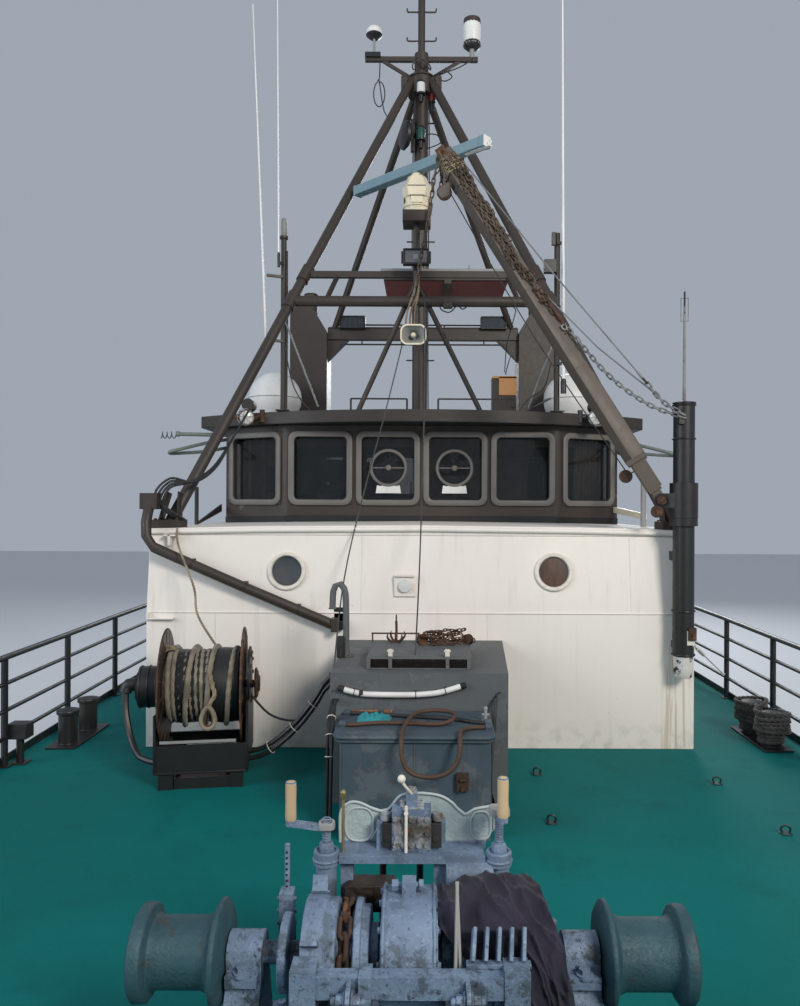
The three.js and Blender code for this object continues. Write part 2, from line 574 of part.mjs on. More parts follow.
// Two hoses lying on the lid, each held at both ends by a coupling on it.
// Columns of a route: x, y, height of the hose's middle over the lid's top
const lidTop = deckZ + lidZ + 45;
const couplingLong = 45;
const blackHoseRoute = [[-496, -5440, 14.3], [-430, -5440, 14.3], [-340, -5450, 14.3], [-240, -5474, 14.3],
  [-140, -5500, 14.3], [-40, -5522, 14.3], [60, -5542, 14.3], [160, -5562, 14.3], [250, -5590, 14.3],
  [330, -5628, 14.3], [380, -5660, 14.3], [420, -5675, 14.3], [455, -5675, 14.3]];
const brownHoseRoute = [[-496, -5742, 15.3], [-440, -5742, 15.3], [-380, -5722, 15.3], [-280, -5698, 15.3],
  [-160, -5696, 15.3], [-40, -5706, 15.3], [70, -5724, 15.3], [150, -5720, 17], [218, -5688, 28], [250, -5630, 44],
  [240, -5566, 50], [196, -5510, 50], [120, -5490, 50], [46, -5508, 50], [-8, -5556, 50], [-42, -5630, 50],
  [-64, -5712, 50], [-86, -5806, 40], [-102, -5880, 28], [-110, -5960, 22], [-110, -6042, -16], [-105, -6074, -100],
  [-70, -6080, -180], [0, -6083, -218], [90, -6084, -225], [175, -6083, -205], [235, -6080, -155], [262, -6072, -92],
  [270, -6040, -16], [272, -5960, 22], [285, -5895, 19], [322, -5830, 15.6], [385, -5800, 15.3], [450, -5800, 15.3]];
const lidHose = (route, radius, steps) => pipe(route.map(([x, y, up]) => [x, y, lidTop + up]), radius, 8, steps);

function hoseCouplings(route, radius) {
  const ends = [[route[0], -1], [route.at(-1), 1]];
  return ends.map(([[x, y, up], away]) => {
    const [from, to] = [x + away * gap, x + away * couplingLong];
    const sleeve = rod([from, y, lidTop + up + 5], [to, y, lidTop + up + 5], radius + 7, 10);
    return join(sleeve, box(Math.min(from, to), Math.max(from, to), y - radius, y + radius, lidTop - 4, lidTop + up));
  });
}

function trunkLid() {
  const [z0, z1] = [deckZ + lidZ + gap, lidTop];
  const plan = [];
  for (const [x, y, turn] of [[-555 + 60, trunkFrontY + 60, Math.PI], [500 - 60, trunkFrontY + 60, 1.5 * Math.PI],
    [500 - 60, trunkMidY - 110, 0], [-555 + 60, trunkMidY - 110, 0.5 * Math.PI]]) {
    for (let i = 0; i <= 4; i += 1) {
      const angle = turn + (i / 4) * 0.5 * Math.PI;
      plan.push([x + 60 * Math.cos(angle), y + 60 * Math.sin(angle)]);
    }
  }
  const hinge = [-300, 200].map((x) => join(
    rod([x + 60 + gap, trunkMidY - 24, deckZ + lidZ + 24], [x + 120, trunkMidY - 24, deckZ + lidZ + 24], 14),
    box(x + 60 + gap, x + 120, trunkMidY - 80, trunkMidY - 24, deckZ + lidZ + 14, deckZ + lidZ + 34)));
  return join(extrudeZ(plan, z0, z1), hinge, hoseCouplings(blackHoseRoute, 14), hoseCouplings(brownHoseRoute, 15));
}

function ventPipe() {
  const y = houseFrontY - 70;
  const z = (v) => deckZ + v;
  const run = pipe([[-2520, y + 150, z(2290)], [-2520, y + 40, z(2150)], [-2520, y, z(2030)], [-2500, y, z(1900)], [-2420, y, z(1840)],
    [-1640, y, z(1500)], [-800, y, z(1150)]], 48, 10, 18, 0.3);
  const head = box(-2600, -2440, y + 60, y + 200, z(2200), z(2350));
  const foot = box(-812, -752, y - 60, houseFrontY - gap, z(1090), z(1210));
  return cut(join(run, head, foot), camberSolid(gap, housePlan[0] - 0.3, housePlan[1]));
}

// Derrick post with its brackets on the deckhouse face, and the thin aerial on its head
function derrickPost() {
  const [x, y] = postAt;
  const z = (v) => deckZ + v;
  const post = rod([x, y, z(890)], [x, y, z(3180)], postRadius, 24);
  const bracket = (v) => box(x - 70, x + 70, y, houseFrontY - gap, z(v), z(v + 60));
  const upper = cut(box(x - 70, x + 70, y, houseFrontY + 200, z(1750), z(1830)), camberSolid(gap, -9000, 9000),
    extrudeX([[houseFrontY - gap, z(-10)], [houseFrontY - gap, z(knuckleZ)], [houseFrontY + rake - gap, z(houseTop + 5)],
      [houseFrontY + 400, z(houseTop + 5)], [houseFrontY + 400, z(-10)]], -3000, 3000));
  const stop = rod([x, y, z(heelZ - 230)], [x, y, z(heelZ - 160)], postRadius + 28, 24);
  const foot = rod([x, y, z(700)], [x, y, z(892)], 60, 12, 85);
  const aerial = join(rod([x, y, z(3170)], [x, y, z(3960)], 12, 8), rod([x, y, z(3950)], [x, y, z(4200)], 22, 8));
  return join(post, bracket(950), upper, stop, foot, aerial);
}

// The derrick turns round the post: local +X runs out along the boom
const derrick = new THREE.Group();
derrick.position.set(postAt[0], postAt[1], deckZ + heelZ);
derrick.rotation.z = THREE.MathUtils.degToRad(boomYaw);
trawler.add(derrick);
const earGap = boomWidth / 2 + 1;
function boomCollar() {
  const ring = rod([0, 0, -160 + gap], [0, 0, 160], postRadius + 30, 24);
  const bore = rod([0, 0, -200], [0, 0, 200], boreFor(postRadius), 24);
  const ears = [1, -1].map((sign) => {
    const ys = [sign * earGap, sign * (earGap + 24)].sort((a, b) => a - b);
    return join(box(30, heelOut, ...ys, -65, 65), rod([heelOut, ys[0], 0], [heelOut, ys[1], 0], 65, 20));
  });
  const pin = rod([heelOut, -earGap - 40, 0], [heelOut, earGap + 40, 0], 26, 16);
  return join(cut(join(ring, ears), bore), pin);
}

function boom() {
  const rise = THREE.MathUtils.degToRad(boomRise);
  const along = (s, up = 0) => [heelOut + s * Math.cos(rise) - up * Math.sin(rise), 0, s * Math.sin(rise) + up * Math.cos(rise)];
  const half = boomWidth / 2;
  const beam = bar(along(130), along(boomLength + 70), boomWidth, boomWidth);
  const heel = join(bar(along(0), along(140), boomWidth, 84), rod([heelOut, -half, 0], [heelOut, half, 0], 42, 20));
  const eye = bar(along(boomLength, -100), along(boomLength, 100), 30, 90);
  const bore = rod([heelOut, -200, 0], [heelOut, 200, 0], boreFor(26, 16), 16);
  const [headX, , headZ] = along(boomLength);
  const block = rod([headX + 20, -25, headZ - 330], [headX + 20, 25, headZ - 330], 70, 20);
  const hanger = bar([headX + 20, 0, headZ], [headX + 20, 0, headZ - 300], 22, 22);
  return cut(join(beam, heel, eye, hanger, block), bore);
}

// Tripod: front legs to the house top, the mast on the wheelhouse roof
const legTop = [130, mastY - 60];
const legPoint = (t, sign) => [sign * (legFoot[0] + (legTop[0] - legFoot[0]) * t) + (mastX * t),
  legFoot[1] + (legTop[1] - legFoot[1]) * t, deckZ + 2060 + (apexZ - 2060) * t];
const mastPole = (grow) => rod([mastX, mastY, deckZ + roofZ + gap], [mastX, mastY, deckZ + 8700], 95 + grow, 12);
const apexCollar = (grow) => rod([mastX, mastY, deckZ + apexZ - 190], [mastX, mastY, deckZ + apexZ + 60], 165 + grow, 12);
function mast() {
  const z = (v) => deckZ + v;
  const top = rod([mastX, mastY, z(8650)], [mastX, mastY, z(9900)], 48, 12);
  const tree = bar([mastX - 760, mastY, z(8260)], [mastX + 760, mastY, z(8260)], 60, 60);
  const braces = [1, -1].map((s) => bar([mastX + s * 520, mastY, z(8240)], [mastX + s * 60, mastY, z(7960)], 40, 40));
  const rungs = [4200, 5000, 5800, 6600, 7400, 8900, 9250, 9600].map((v) => bar([mastX - 190, mastY, z(v)], [mastX + 190, mastY, z(v)], 18, 18));
  const dome = join(rod([mastX - 640, mastY, z(8280)], [mastX - 640, mastY, z(8560)], 14, 8),
    ball([mastX - 640, mastY, z(8620)], 105, 16, 8, 0.75));
  const can = join(rod([mastX + 680, mastY, z(8280)], [mastX + 680, mastY, z(8480)], 26, 10),
    rod([mastX + 680, mastY, z(8470)], [mastX + 680, mastY, z(8800)], 115, 16));
  return join(mastPole(0), apexCollar(0), top, tree, braces, rungs, dome, can);
}

function tripodLeg(sign) {
  const tube = rod(legPoint(-0.008, sign), legPoint(1, sign), legRadius, 12);
  const foot = legPoint(0, sign);
  const gusset = box(foot[0] - 130, foot[0] + 130, foot[1] - 140, foot[1] + 140, deckZ + houseTop, deckZ + 2100);
  return cut(onHouseTop(join(tube, gusset)), apexCollar(gap), mastPole(gap));
}

// Crossbars between the legs, the platform, the struts and the post that carries the scanner
function mastFrame() {
  const z = (v) => deckZ + v;
  const [low, high] = crossbarT.map((t) => [legPoint(t, 1), legPoint(t, -1)]);
  const lower = rod(...low, 60, 12);
  const upper = bar(...high, 70, 70);
  const barY = low[0][1];
  const barZ = low[0][2];
  const braces = [-1, 1].map((s) => bar([s * 1080, barY, barZ], [s * 960, high[0][1], high[0][2]], 40, 40));
  const platform = join(box(-440, 980, high[0][1] - 20, high[0][1] + 720, high[0][2] - 60, high[0][2]),
    box(250, 330, high[0][1] - 20, high[0][1] + 720, high[0][2] - 100, high[0][2] - 10));
  const post = rod([radarAt[0], radarAt[1], z(4200)], [radarAt[0], radarAt[1], z(5440)], 42, 12);
  const stand = box(radarAt[0] - 155, radarAt[0] + 155, radarAt[1] - 155, radarAt[1] + 155, z(5380), z(5500));
  const footY = -2090;
  const roofTop = z(roofZ) + gap;
  const prop = rod([radarAt[0], footY, roofTop - 60], [radarAt[0], radarAt[1], z(4300)], 42, 12);
  const struts = [-745, 690].map((x) => rod([x, footY, roofTop - 60], [radarAt[0], radarAt[1], z(4750)], 30, 10));
  const floor = box(-3000, 3000, -4000, 3000, z(soffitZ), roofTop);
  const legs = [1, -1].map((s) => rod(legPoint(0.1, s), legPoint(0.9, s), legRadius + gap, 12));
  return cut(join(lower, upper, braces, platform, post, stand, prop, struts), floor, legs);
}

function radarPedestal() {
  const z = (v) => deckZ + v;
  const [x, y] = radarAt;
  const body = turned([[0, 0], [115, 0], [150, 60], [155, 200], [110, 400], [0, 400]], [x, y, z(5500) + gap], [0, 0, 1], 16);
  return join(body, rod([x, y, z(5890)], [x, y, z(radarZ) - 10], 60, 16));
}

const scanner = new THREE.Group();
scanner.position.set(radarAt[0], radarAt[1], deckZ + radarZ);
scanner.rotation.z = THREE.MathUtils.degToRad(-43);
trawler.add(scanner);
function scannerBar() {
  const half = scannerLength / 2;
  const hub = rod([0, 0, -10 + gap], [0, 0, 6], 70, 16);
  return join(hub, box(-half, half, -55, 55, 0, 105), box(half - 60, half - 5, -59, 59, -4, 109));
}

// Exhaust casings, the lamp beam between them and the aft legs
const casingX = [1560, 2160];
const casingY = [1800, 2400];
const casingTop = 5480;
function casing(sign) {
  const [x0, x1] = casingX;
  const profile = [[x0, houseTop], [x1, houseTop], [x1, casingTop], [x1 - 350, casingTop], [x0, casingTop - 420]]
    .map(([x, z]) => [sign * x, deckZ + z]);
  const pipes = rod([sign * 1860, 2100, deckZ + casingTop - 60], [sign * 1860, 2100, deckZ + casingTop + 260], 110, 16);
  return onHouseTop(join(extrudeY(profile, ...casingY), pipes));
}

function lampBeam() {
  const z = (v) => deckZ + v;
  const x = casingX[0] - gap;
  const [y0, y1] = [1900, 2060];
  const beam = box(-x, x, y0, y1, z(4960), z(5150));
  const gussets = [1, -1].map((s) => extrudeY([[s * x, z(4600)], [s * x, z(4970)], [s * (x - 360), z(4970)]], y0 + 20, y1 - 20));
  const rails = [z(5200), z(4880)].map((v) => rod([-x + 200, y0 + 30, v], [x - 200, y0 + 30, v], 14, 8));
  const stubs = [-1000, -350, 350, 1000].map((v) => rod([v, y0 + 30, z(4880)], [v, y0 + 30, z(5200)], 12, 8));
  const lamps = [-1150, 1150].map((v) => box(v - 210, v + 210, y0 - 60, y0 + 80, z(5120), z(5330)));
  const legs = [1, -1].map((s) => rod([s * (x - 90), y0 + 80, z(5100)], [mastX + s * 60, mastY + 60, z(apexZ - 80)], 52, 12));
  return cut(join(beam, rails, stubs, lamps, legs, gussets), apexCollar(gap), mastPole(gap));
}

function satelliteDome(sign) {
  const x = sign * 2290;
  const z0 = deckZ + roofZ + gap;
  const profile = [[0, 0], [150, 0], [150, 60], [300, 120]];
  for (let i = -3; i <= 6; i += 1) {
    const angle = (i / 12) * Math.PI;
    profile.push([Math.max(0, 410 * Math.cos(angle)), 560 + 410 * Math.sin(angle)]);
  }
  profile[profile.length - 1][0] = 0;
  return turned(profile, [x, 1250, z0], [0, 0, 1], 20);
}

// Rope reel on the starboard foredeck, drawn about its own middle and then turned
const reelAxis = [Math.cos(THREE.MathUtils.degToRad(reelYaw)), Math.sin(THREE.MathUtils.degToRad(reelYaw)), 0];
function reelFrame() {
  const z = reelShaftZ;
  const low = deckAt(reelAt[1]) - 12;
  const feet = [[-312, -200], [236, 332]].flatMap(([a, b]) => [-400, 320].map((y) => box(a, b, y, y + 80, low, 2170)));
  const sills = [-350, 330].map((x) => box(x, x + 42, -400, 400, 2150, 2230));
  const front = box(-350, 372, -405, -380, 2150, 2368);
  const back = box(-350, 372, 380, 405, 2150, 2260);
  const base = box(-195, 236, -385, 385, low, 2108);
  const cheek = (x, high) => join(extrudeX([[-400, 2160], [400, 2160], [400, high - 60], [-400, high]], x, x + 18),
    rod([x, 0, z + 60], [x + 18, 0, z + 60], 250, 24));
  const bore = rod([-800, 0, z], [800, 0, z], boreFor(30, 16), 16);
  const elbow = pipe([[-500, 0, z + 12], [-590, 0, z + 22], [-622, 0, z + 6], [-634, -10, z - 40]], 52, 10, 8);
  const motor = join(rod([-520, 0, z], [-348, 0, z], 168, 20), rod([-540, 0, z], [-515, 0, z], 120, 16), elbow);
  const hose = pipe([[-632, -6, z - 30], [-622, -40, z - 200], [-560, -130, z - 400], [-470, -260, z - 500], [-345, -340, z - 520]], 26, 8, 10);
  const whole = join(cut(join(feet, sills, front, back, base, cheek(-350, 2600), cheek(354, 2690)), bore), motor, hose);
  return onDeck(join(whole.rotate([0, 0, reelYaw]).translate([...reelAt, 0]), reelHoses()));
}

// Supply hoses from the reel's frame to the side of the trunk, and the thin drain between them
function reelHoses() {
  const end = -trunkHalf - gap;
  const pair = [0, 58].map((dz) => pipe([[-1450, -4700, 2185 + dz], [-1330, -4720, 2200 + dz], [-1200, -4740, 2260 + dz],
    [-1010, -4740, 2420 + dz], [-860, -4720, 2600 + dz], [-760, -4700, 2760 + dz], [end + 20, -4690, 2850 + dz]], 20, 8, 12));
  const drain = pipe([[-1418, -4560, 2700], [-1340, -4600, 2620], [-1230, -4650, 2535], [-1110, -4690, 2500], [-985, -4728, 2500]], 10, 6, 10);
  return cut(join(pair, drain), box(end, 0, -5300, -4000, 2000, 3200));
}

function reelDrum() {
  const [r, rope] = [reelRadius, 300];
  const profile = [[0, -338], [30, -338], [30, -322], [r, -322], [r, -306], [rope - 60, -302], [rope, -190], [rope - 8, 0], [rope + 8, 150],
    [rope, 280], [rope - 20, 302], [r, 306], [r, 322], [30, 322], [30, 396], [84, 400], [84, 428], [60, 446], [0, 448]];
  return turned(profile, [...reelAt, reelShaftZ], reelAxis, 24);
}

// Mooring bitts, one pair each side
function bitts(sign) {
  const solids = [deckBlock(...[sign * 3150, sign * 3420].sort((a, b) => a - b), -3900, -3080, deckAt(-3900) + 20)];
  for (const y of [-3730, -3280]) {
    solids.push(rod([sign * 3285, y, deckAt(y) + 10], [sign * 3285, y, deckZ + 300], 84, 16));
    solids.push(rod([sign * 3285, y, deckZ + 290], [sign * 3285, y, deckZ + 315], 100, 16));
  }
  return join(solids);
}

// Anchor windlass on the foredeck
const windlassZ = deckAt(windlassY) + windlassShaftZ;
const shaftRadius = 38;
function windlassFrame() {
  const y = windlassY;
  const base = deckAt(y);
  const bed = join(deckBlock(-640, -500, y - 420, y + 420, base + 160), deckBlock(500, 640, y - 420, y + 420, base + 160),
    box(-640, 640, y - 420, y - 300, base + 60, base + 160), box(-640, 640, y + 300, y + 420, base + 60, base + 160));
  const capped = [];
  for (let i = 0; i <= 8; i += 1) capped.push([y + 74 * Math.cos((i / 8) * Math.PI), windlassZ + 74 * Math.sin((i / 8) * Math.PI)]);
  const cheek = (x0, x1) => join(
    extrudeX([[y - 200, base + 150], [y + 200, base + 150], [y + 105, windlassZ - 130], [y + 66, windlassZ - 60], ...capped.slice(1, -1),
      [y - 66, windlassZ - 60], [y - 105, windlassZ - 130]], x0, x1),
    box(x0 + 6, x1 - 6, y - 112, y + 112, windlassZ - 62, windlassZ - 22));
  const gearbox = join(box(-108, 82, y - 215, y + 250, base + 70, windlassZ + 60), box(-108, 82, y - 350, y + 350, base + 70, base + 200), rod([-108, y, windlassZ], [82, y, windlassZ], 218, 20),
    box(-40, 8, y - 40, y + 20, windlassZ + 200, windlassZ + 262));
  const beam = box(-380, 366, y - 330, y - 278, windlassZ + 36, windlassZ + 106);
  const rib = box(-166, -126, y - 345, y - 262, base + 70, windlassZ + 112);
  const pads = [[-380, -300], [286, 366]].map(([a, b]) => box(a, b, y - 335, y - 245, base + 70, windlassZ + 124));
  const tableZ = 2904;
  const table = box(-290, 270, y + 257, y + 402, tableZ - 26, tableZ);
  const tableLegs = [-262, 98].map((x) => box(x - 24, x + 24, y + 290, y + 350, base + 70, tableZ - 10));
  const valves = join(box(-90, 62, y + 310, y + 398, tableZ - 5, tableZ + 158), box(-36, 8, y + 330, y + 390, tableZ + 150, tableZ + 212),
    box(-150, -80, y + 330, y + 390, tableZ - 5, tableZ + 104), box(56, 120, y + 330, y + 390, tableZ - 5, tableZ + 104));
  // Scalloped guard behind the valve block
  const guardLine = [[-298, 2880], [-298, 3020], [-285, 3045], [-265, 3061], [-224, 3061], [-175, 3040], [-138, 3028], [-105, 3036], [-85, 3061],
    [-64, 3086], [-23, 3098], [34, 3100], [100, 3090], [145, 3065], [169, 3040], [202, 3016], [235, 3036], [276, 3045], [317, 3045],
    [317, 2955], [285, 2925], [280, 2880]];
  const guard = extrudeY(guardLine, y + 396, y + 410);
  // Brake screws: columns with their crank handles, the starboard one turned outboard
  const screws = [-340, 324].map((x) => join(rod([x, y + 282, base + 100], [x, y + 282, tableZ - 30], 40, 12),
    rod([x, y + 282, tableZ - 35], [x, y + 282, tableZ + 12], 50, 12), rod([x, y + 282, tableZ], [x, y + 282, tableZ + 158], 15, 8)));
  const cranks = [[-340, -478, 0, 100], [324, 330, -90, 150]].map(([x, endX, dy, high]) => join(
    bar([x, y + 282, tableZ + high], [endX, y + 282 + dy, tableZ + high + 18], 38, 16),
    rod([endX, y + 282 + dy, tableZ + high + 10], [endX, y + 282 + dy, tableZ + high + 178], 20, 10)));
  const above = box(-360, -320, y + 262, y + 302, tableZ + 118, tableZ + 200);
  const bore = rod([-900, y, windlassZ], [900, y, windlassZ], boreFor(shaftRadius), 24);
  const wheelRoom = [[-390, -108 - gap, 226], [82 + gap, 392, 226], [410, 512, 190], [-480, -405, 150]].map(([a, b, r]) =>
    rod([a, y, windlassZ], [b, y, windlassZ], r, 24));
  return cut(join(bed, cheek(-640, -520), cheek(520, 640), gearbox, beam, rib, pads, table, tableLegs, valves, guard, screws, cranks),
    bore, wheelRoom, above);
}

function windlassShaft() {
  const [rim, lip, barrel, s] = [160, 176, 118, shaftRadius];
  const half = [[s, 645], [lip - 26, 650], [lip, 666], [lip, 680], [barrel + 12, 700], [barrel, 726], [barrel, 884], [barrel + 6, 900], [rim - 4, 912],
    [rim, 920], [rim, 952], [rim - 12, 960], [50, 960]];
  // Clutch disc, brake drum and chain wheel to starboard, clutch, brake drum and disc to port
  const wheel = [[s, -460], [128, -458], [128, -430], [s, -428], [s, -378], [186, -376], [186, -302], [178, -298], [178, -262], [112, -244],
    [112, -220], [170, -202], [176, -200], [176, -178], [155, -176], [155, -150], [96, -148], [96, -120], [s, -118]];
  const coupling = [[s, 95], [92, 97], [92, 150], [150, 152], [150, 176], [92, 178], [92, 240], [186, 244], [186, 262], [172, 266], [172, 330],
    [186, 334], [186, 352], [s, 356], [s, 440], [116, 442], [116, 490], [s, 492]];
  const profile = [[0, -960], ...half.toReversed().map(([r, a]) => [r, -a]), ...wheel, ...coupling, ...half, [0, 960]];
  return turned(profile, [0, windlassY, windlassZ], [1, 0, 0], 18);
}

// Aft working deck: trawl winch, fish hatch, net drum and stern gantry
const winchY = 5500;
const winchZ = 820;
function trawlWinchFrame() {
  const z = (v) => deckZ + v;
  const bed = box(-1750, 1750, winchY - 450, winchY + 450, z(0) + gap, z(120));
  const cheek = (x0, x1) => extrudeX([[winchY - 400, z(110)], [winchY + 400, z(110)], [winchY + 110, z(winchZ + 110)],
    [winchY - 110, z(winchZ + 110)]], x0, x1);
  const bore = rod([-1900, winchY, z(winchZ)], [1900, winchY, z(winchZ)], boreFor(60), 24);
  const box0 = box(-240, 240, winchY - 330, winchY + 330, z(110), z(winchZ + 260));
  return cut(join(bed, cheek(-1720, -1640), cheek(1640, 1720), box0), bore);
}

function trawlWinchDrums() {
  const half = [[60, 300], [470, 300], [470, 330], [330, 335], [340, 900], [330, 1465], [470, 1470], [470, 1500], [60, 1500], [60, 1800], [150, 1810],
    [120, 1900], [150, 2000], [150, 2020]];
  const profile = [[0, -2020], ...half.toReversed().map(([r, a]) => [r, -a]), ...half, [0, 2020]];
  return turned(profile, [0, winchY, deckZ + winchZ], [1, 0, 0], 16);
}

const hatchY = [7050, 8350];
function hatchCoaming() {
  const z = (v) => deckZ + v;
  const outer = box(-650, 650, ...hatchY, z(0) + gap, z(450));
  const hinge = [-400, 300].map((x) => join(rod([x, hatchY[0] - 24, z(474)], [x + 60, hatchY[0] - 24, z(474)], 14),
    box(x, x + 60, hatchY[0] - 30, hatchY[0] + 20, z(400), z(449)), box(x, x + 60, hatchY[0] - 38, hatchY[0] - 10, z(440), z(474))));
  return join(cut(outer, box(-600, 600, hatchY[0] + 50, hatchY[1] - 50, z(40), z(900))), hinge);
}

function hatchLid() {
  const z = (v) => deckZ + v;
  const plate = box(-680, 680, hatchY[0] + 24, hatchY[1] + 30, z(450) + gap, z(500));
  const hinge = [-400, 300].map((x) => join(
    rod([x + 60 + gap, hatchY[0] - 24, z(474)], [x + 120, hatchY[0] - 24, z(474)], 14),
    box(x + 60 + gap, x + 120, hatchY[0] - 24, hatchY[0] + 40, z(466), z(494))));
  return join(plate, hinge);
}

const netDrumY = 10400;
const netDrumZ = 900;
const gantryX = 2300;
function sternGantry() {
  const z = (v) => deckZ + v;
  const legs = [1, -1].map((s) => join(bar([s * gantryX, 11500, z(0) + gap], [s * (gantryX - 200), 11300, z(4200)], 220, 220),
    box(...[s * (gantryX - 160), s * (gantryX + 160)].sort((a, b) => a - b), 11340, 11660, z(0) + gap, z(30)),
    bar([s * (gantryX - 100), 11400, z(2200)], [s * (gantryX - 60), netDrumY - 700, z(0) + 20], 120, 120)));
  const top = bar([-gantryX + 120, 11300, z(4200)], [gantryX - 120, 11300, z(4200)], 240, 240);
  const lugs = [-1400, 0, 1400].map((x) => bar([x, 11300, z(3880)], [x, 11300, z(4150)], 30, 120));
  const clear = box(-3000, 3000, 6000, 12200, z(-400), z(0) + gap);
  return cut(join(legs, top, lugs), clear);
}

function netDrumStands() {
  const z = (v) => deckZ + v;
  const stand = (s) => {
    const xs = [s * 1720, s * 1800].sort((a, b) => a - b);
    return extrudeX([[netDrumY - 420, z(0) + gap], [netDrumY + 420, z(0) + gap], [netDrumY + 100, z(netDrumZ + 110)],
      [netDrumY - 100, z(netDrumZ + 110)]], ...xs);
  };
  const tie = box(-1800, 1800, netDrumY - 400, netDrumY - 300, z(0) + gap, z(110));
  return cut(join(stand(1), stand(-1), tie), rod([-1900, netDrumY, z(netDrumZ)], [1900, netDrumY, z(netDrumZ)], boreFor(60), 24));
}

function netDrum() {
  const half = [[640, 1600], [640, 1640], [60, 1640], [60, 1850]];
  const profile = [[0, -1850], ...half.toReversed().map(([r, a]) => [r, -a]), [300, -1595], [420, -1000], [440, 0], [420, 1000], [300, 1595],
    ...half, [0, 1850]];
  return turned(profile, [0, netDrumY, deckZ + netDrumZ], [1, 0, 0], 20);
}

// Running gear
function propeller() {
  const [y, z] = propellerAt;
  const hub = rod([0, 9300 + gap, z], [0, y + 180, z], 130, 20, 90);
  const cone = rod([0, y + 175, z], [0, y + 300, z], 90, 20, 30);
  const outline = [[-60, 60], [-250, 330], [-265, 560], [-120, 740], [120, 740], [265, 560], [230, 330], [60, 60]];
  const pitch = THREE.MathUtils.degToRad(28);
  const blades = [0, 1, 2, 3].map((i) => {
    const geometry = new THREE.ExtrudeGeometry(shapeOf(outline), { depth: 36, bevelEnabled: false }).translate(0, 0, -18);
    geometry.rotateX(Math.PI / 2).rotateZ(pitch).rotateY((i * Math.PI) / 2);
    return solidOf(geometry.translate(0, y, z));
  });
  return join(hub, cone, blades);
}

function rudder() {
  const profile = [];
  for (const [chord, half] of [[-230, 60], [-120, 95], [150, 100], [500, 60], [850, 12]]) profile.push([half, rudderY + chord]);
  const plan = [...profile, ...profile.toReversed().map(([x, y]) => [-x, y])];
  const blade = extrudeZ(plan, shoeTop + 60, -880);
  const pintle = rod([0, rudderY, shoeTop + gap], [0, rudderY, shoeTop + 90], 55, 16);
  const stock = rod([0, rudderY, -900], [0, rudderY, bottomAt(rudderY - 70) - gap], 70, 16);
  return join(blade, pintle, stock);
}

// Stockless anchor hanging at the stem on its roller
function anchor() {
  const [y, z] = [-12520, 1750];
  const shank = bar([0, y, z - 500], [0, y, z + 620], 90, 60);
  const crown = box(-330, 330, y - 70, y + 60, z - 560, z - 430);
  const flukes = [1, -1].map((s) => bar([s * 240, y - 20, z - 460], [s * 300, y - 60, z + 120], 130, 60));
  const bracket = box(-60, 60, y - 40, stationY[0] - strakeProud - gap, z + 480, z + 560);
  return join(shank, crown, flukes, bracket);
}

piece('hull', 'hull', hull());
piece('deck', 'deck', deckPlate());
piece('rubbing_strake', 'rubber', rubbingStrake());
piece('bow_rails', 'black', bowRails());
piece('bulwark', 'hull', bulwark());
piece('deckhouse_front', 'white', houseFront());
piece('deckhouse_side_port', 'white', houseSide(1));
piece('deckhouse_side_starboard', 'white', houseSide(-1));
piece('deckhouse_back', 'white', houseBack());
piece('deckhouse_top', 'white', houseTopPlate());
piece('side_door_port', 'white', sideDoor(1));
piece('side_door_starboard', 'white', sideDoor(-1));
piece('wheelhouse_floor', 'wood', bridgeFloor());
piece('wheelhouse_front', 'brown', bridgeFront());
piece('wheelhouse_side_port', 'brown', bridgeSide(1));
piece('wheelhouse_side_starboard', 'brown', bridgeSide(-1));
piece('wheelhouse_back', 'brown', bridgeBack());
piece('wheelhouse_glass', 'glass', bridgeGlass());
piece('wheelhouse_roof', 'brown', bridgeRoof());
piece('trunk', 'grey', onDeck(trunk()));
piece('trunk_lid', 'grey', trunkLid());
piece('black_hose', 'rubber', lidHose(blackHoseRoute, 14, 16));
piece('brown_hose', 'hose', lidHose(brownHoseRoute, 15, 42));
piece('vent_pipe', 'brown', ventPipe());
piece('derrick_post', 'black', derrickPost());
piece('derrick_collar', 'black', boomCollar(), derrick);
piece('derrick_boom', 'brown', boom(), derrick);
piece('mast', 'brown', mast());
piece('tripod_leg_port', 'brown', tripodLeg(1));
piece('tripod_leg_starboard', 'brown', tripodLeg(-1));
piece('mast_frame', 'brown', mastFrame());
piece('radar_pedestal', 'cream', radarPedestal());
piece('radar_scanner', 'pale', scannerBar(), scanner);
piece('exhaust_casing_port', 'brown', casing(1));
piece('exhaust_casing_starboard', 'brown', casing(-1));
piece('lamp_beam', 'brown', lampBeam());
piece('satellite_dome_port', 'cream', satelliteDome(1));
piece('satellite_dome_starboard', 'cream', satelliteDome(-1));
piece('reel_frame', 'black', reelFrame());
piece('reel_drum', 'rope', reelDrum());
piece('bitts_port', 'black', bitts(1));
piece('bitts_starboard', 'black', bitts(-1));
piece('windlass_frame', 'silver', windlassFrame());
piece('windlass_shaft', 'drum', windlassShaft());
piece('trawl_winch_frame', 'grey', trawlWinchFrame());
piece('trawl_winch_drums', 'rope', trawlWinchDrums());
piece('hatch_coaming', 'white', hatchCoaming());
piece('hatch_lid', 'grey', hatchLid());
piece('stern_gantry', 'brown', sternGantry());
piece('net_drum_stands', 'grey', netDrumStands());
piece('net_drum', 'rope', netDrum());
piece('rudder', 'hull', rudder());
piece('propeller', 'bronze', propeller());
piece('anchor', 'black', anchor());

export default trawler;
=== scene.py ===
# Steel fishing trawler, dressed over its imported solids. Metres: bow -Y, stern +Y, port +X, water at z = 0.
import json
import math

import bmesh
import bpy
from mathutils import Matrix, Vector, noise
from mathutils.bvhtree import BVHTree

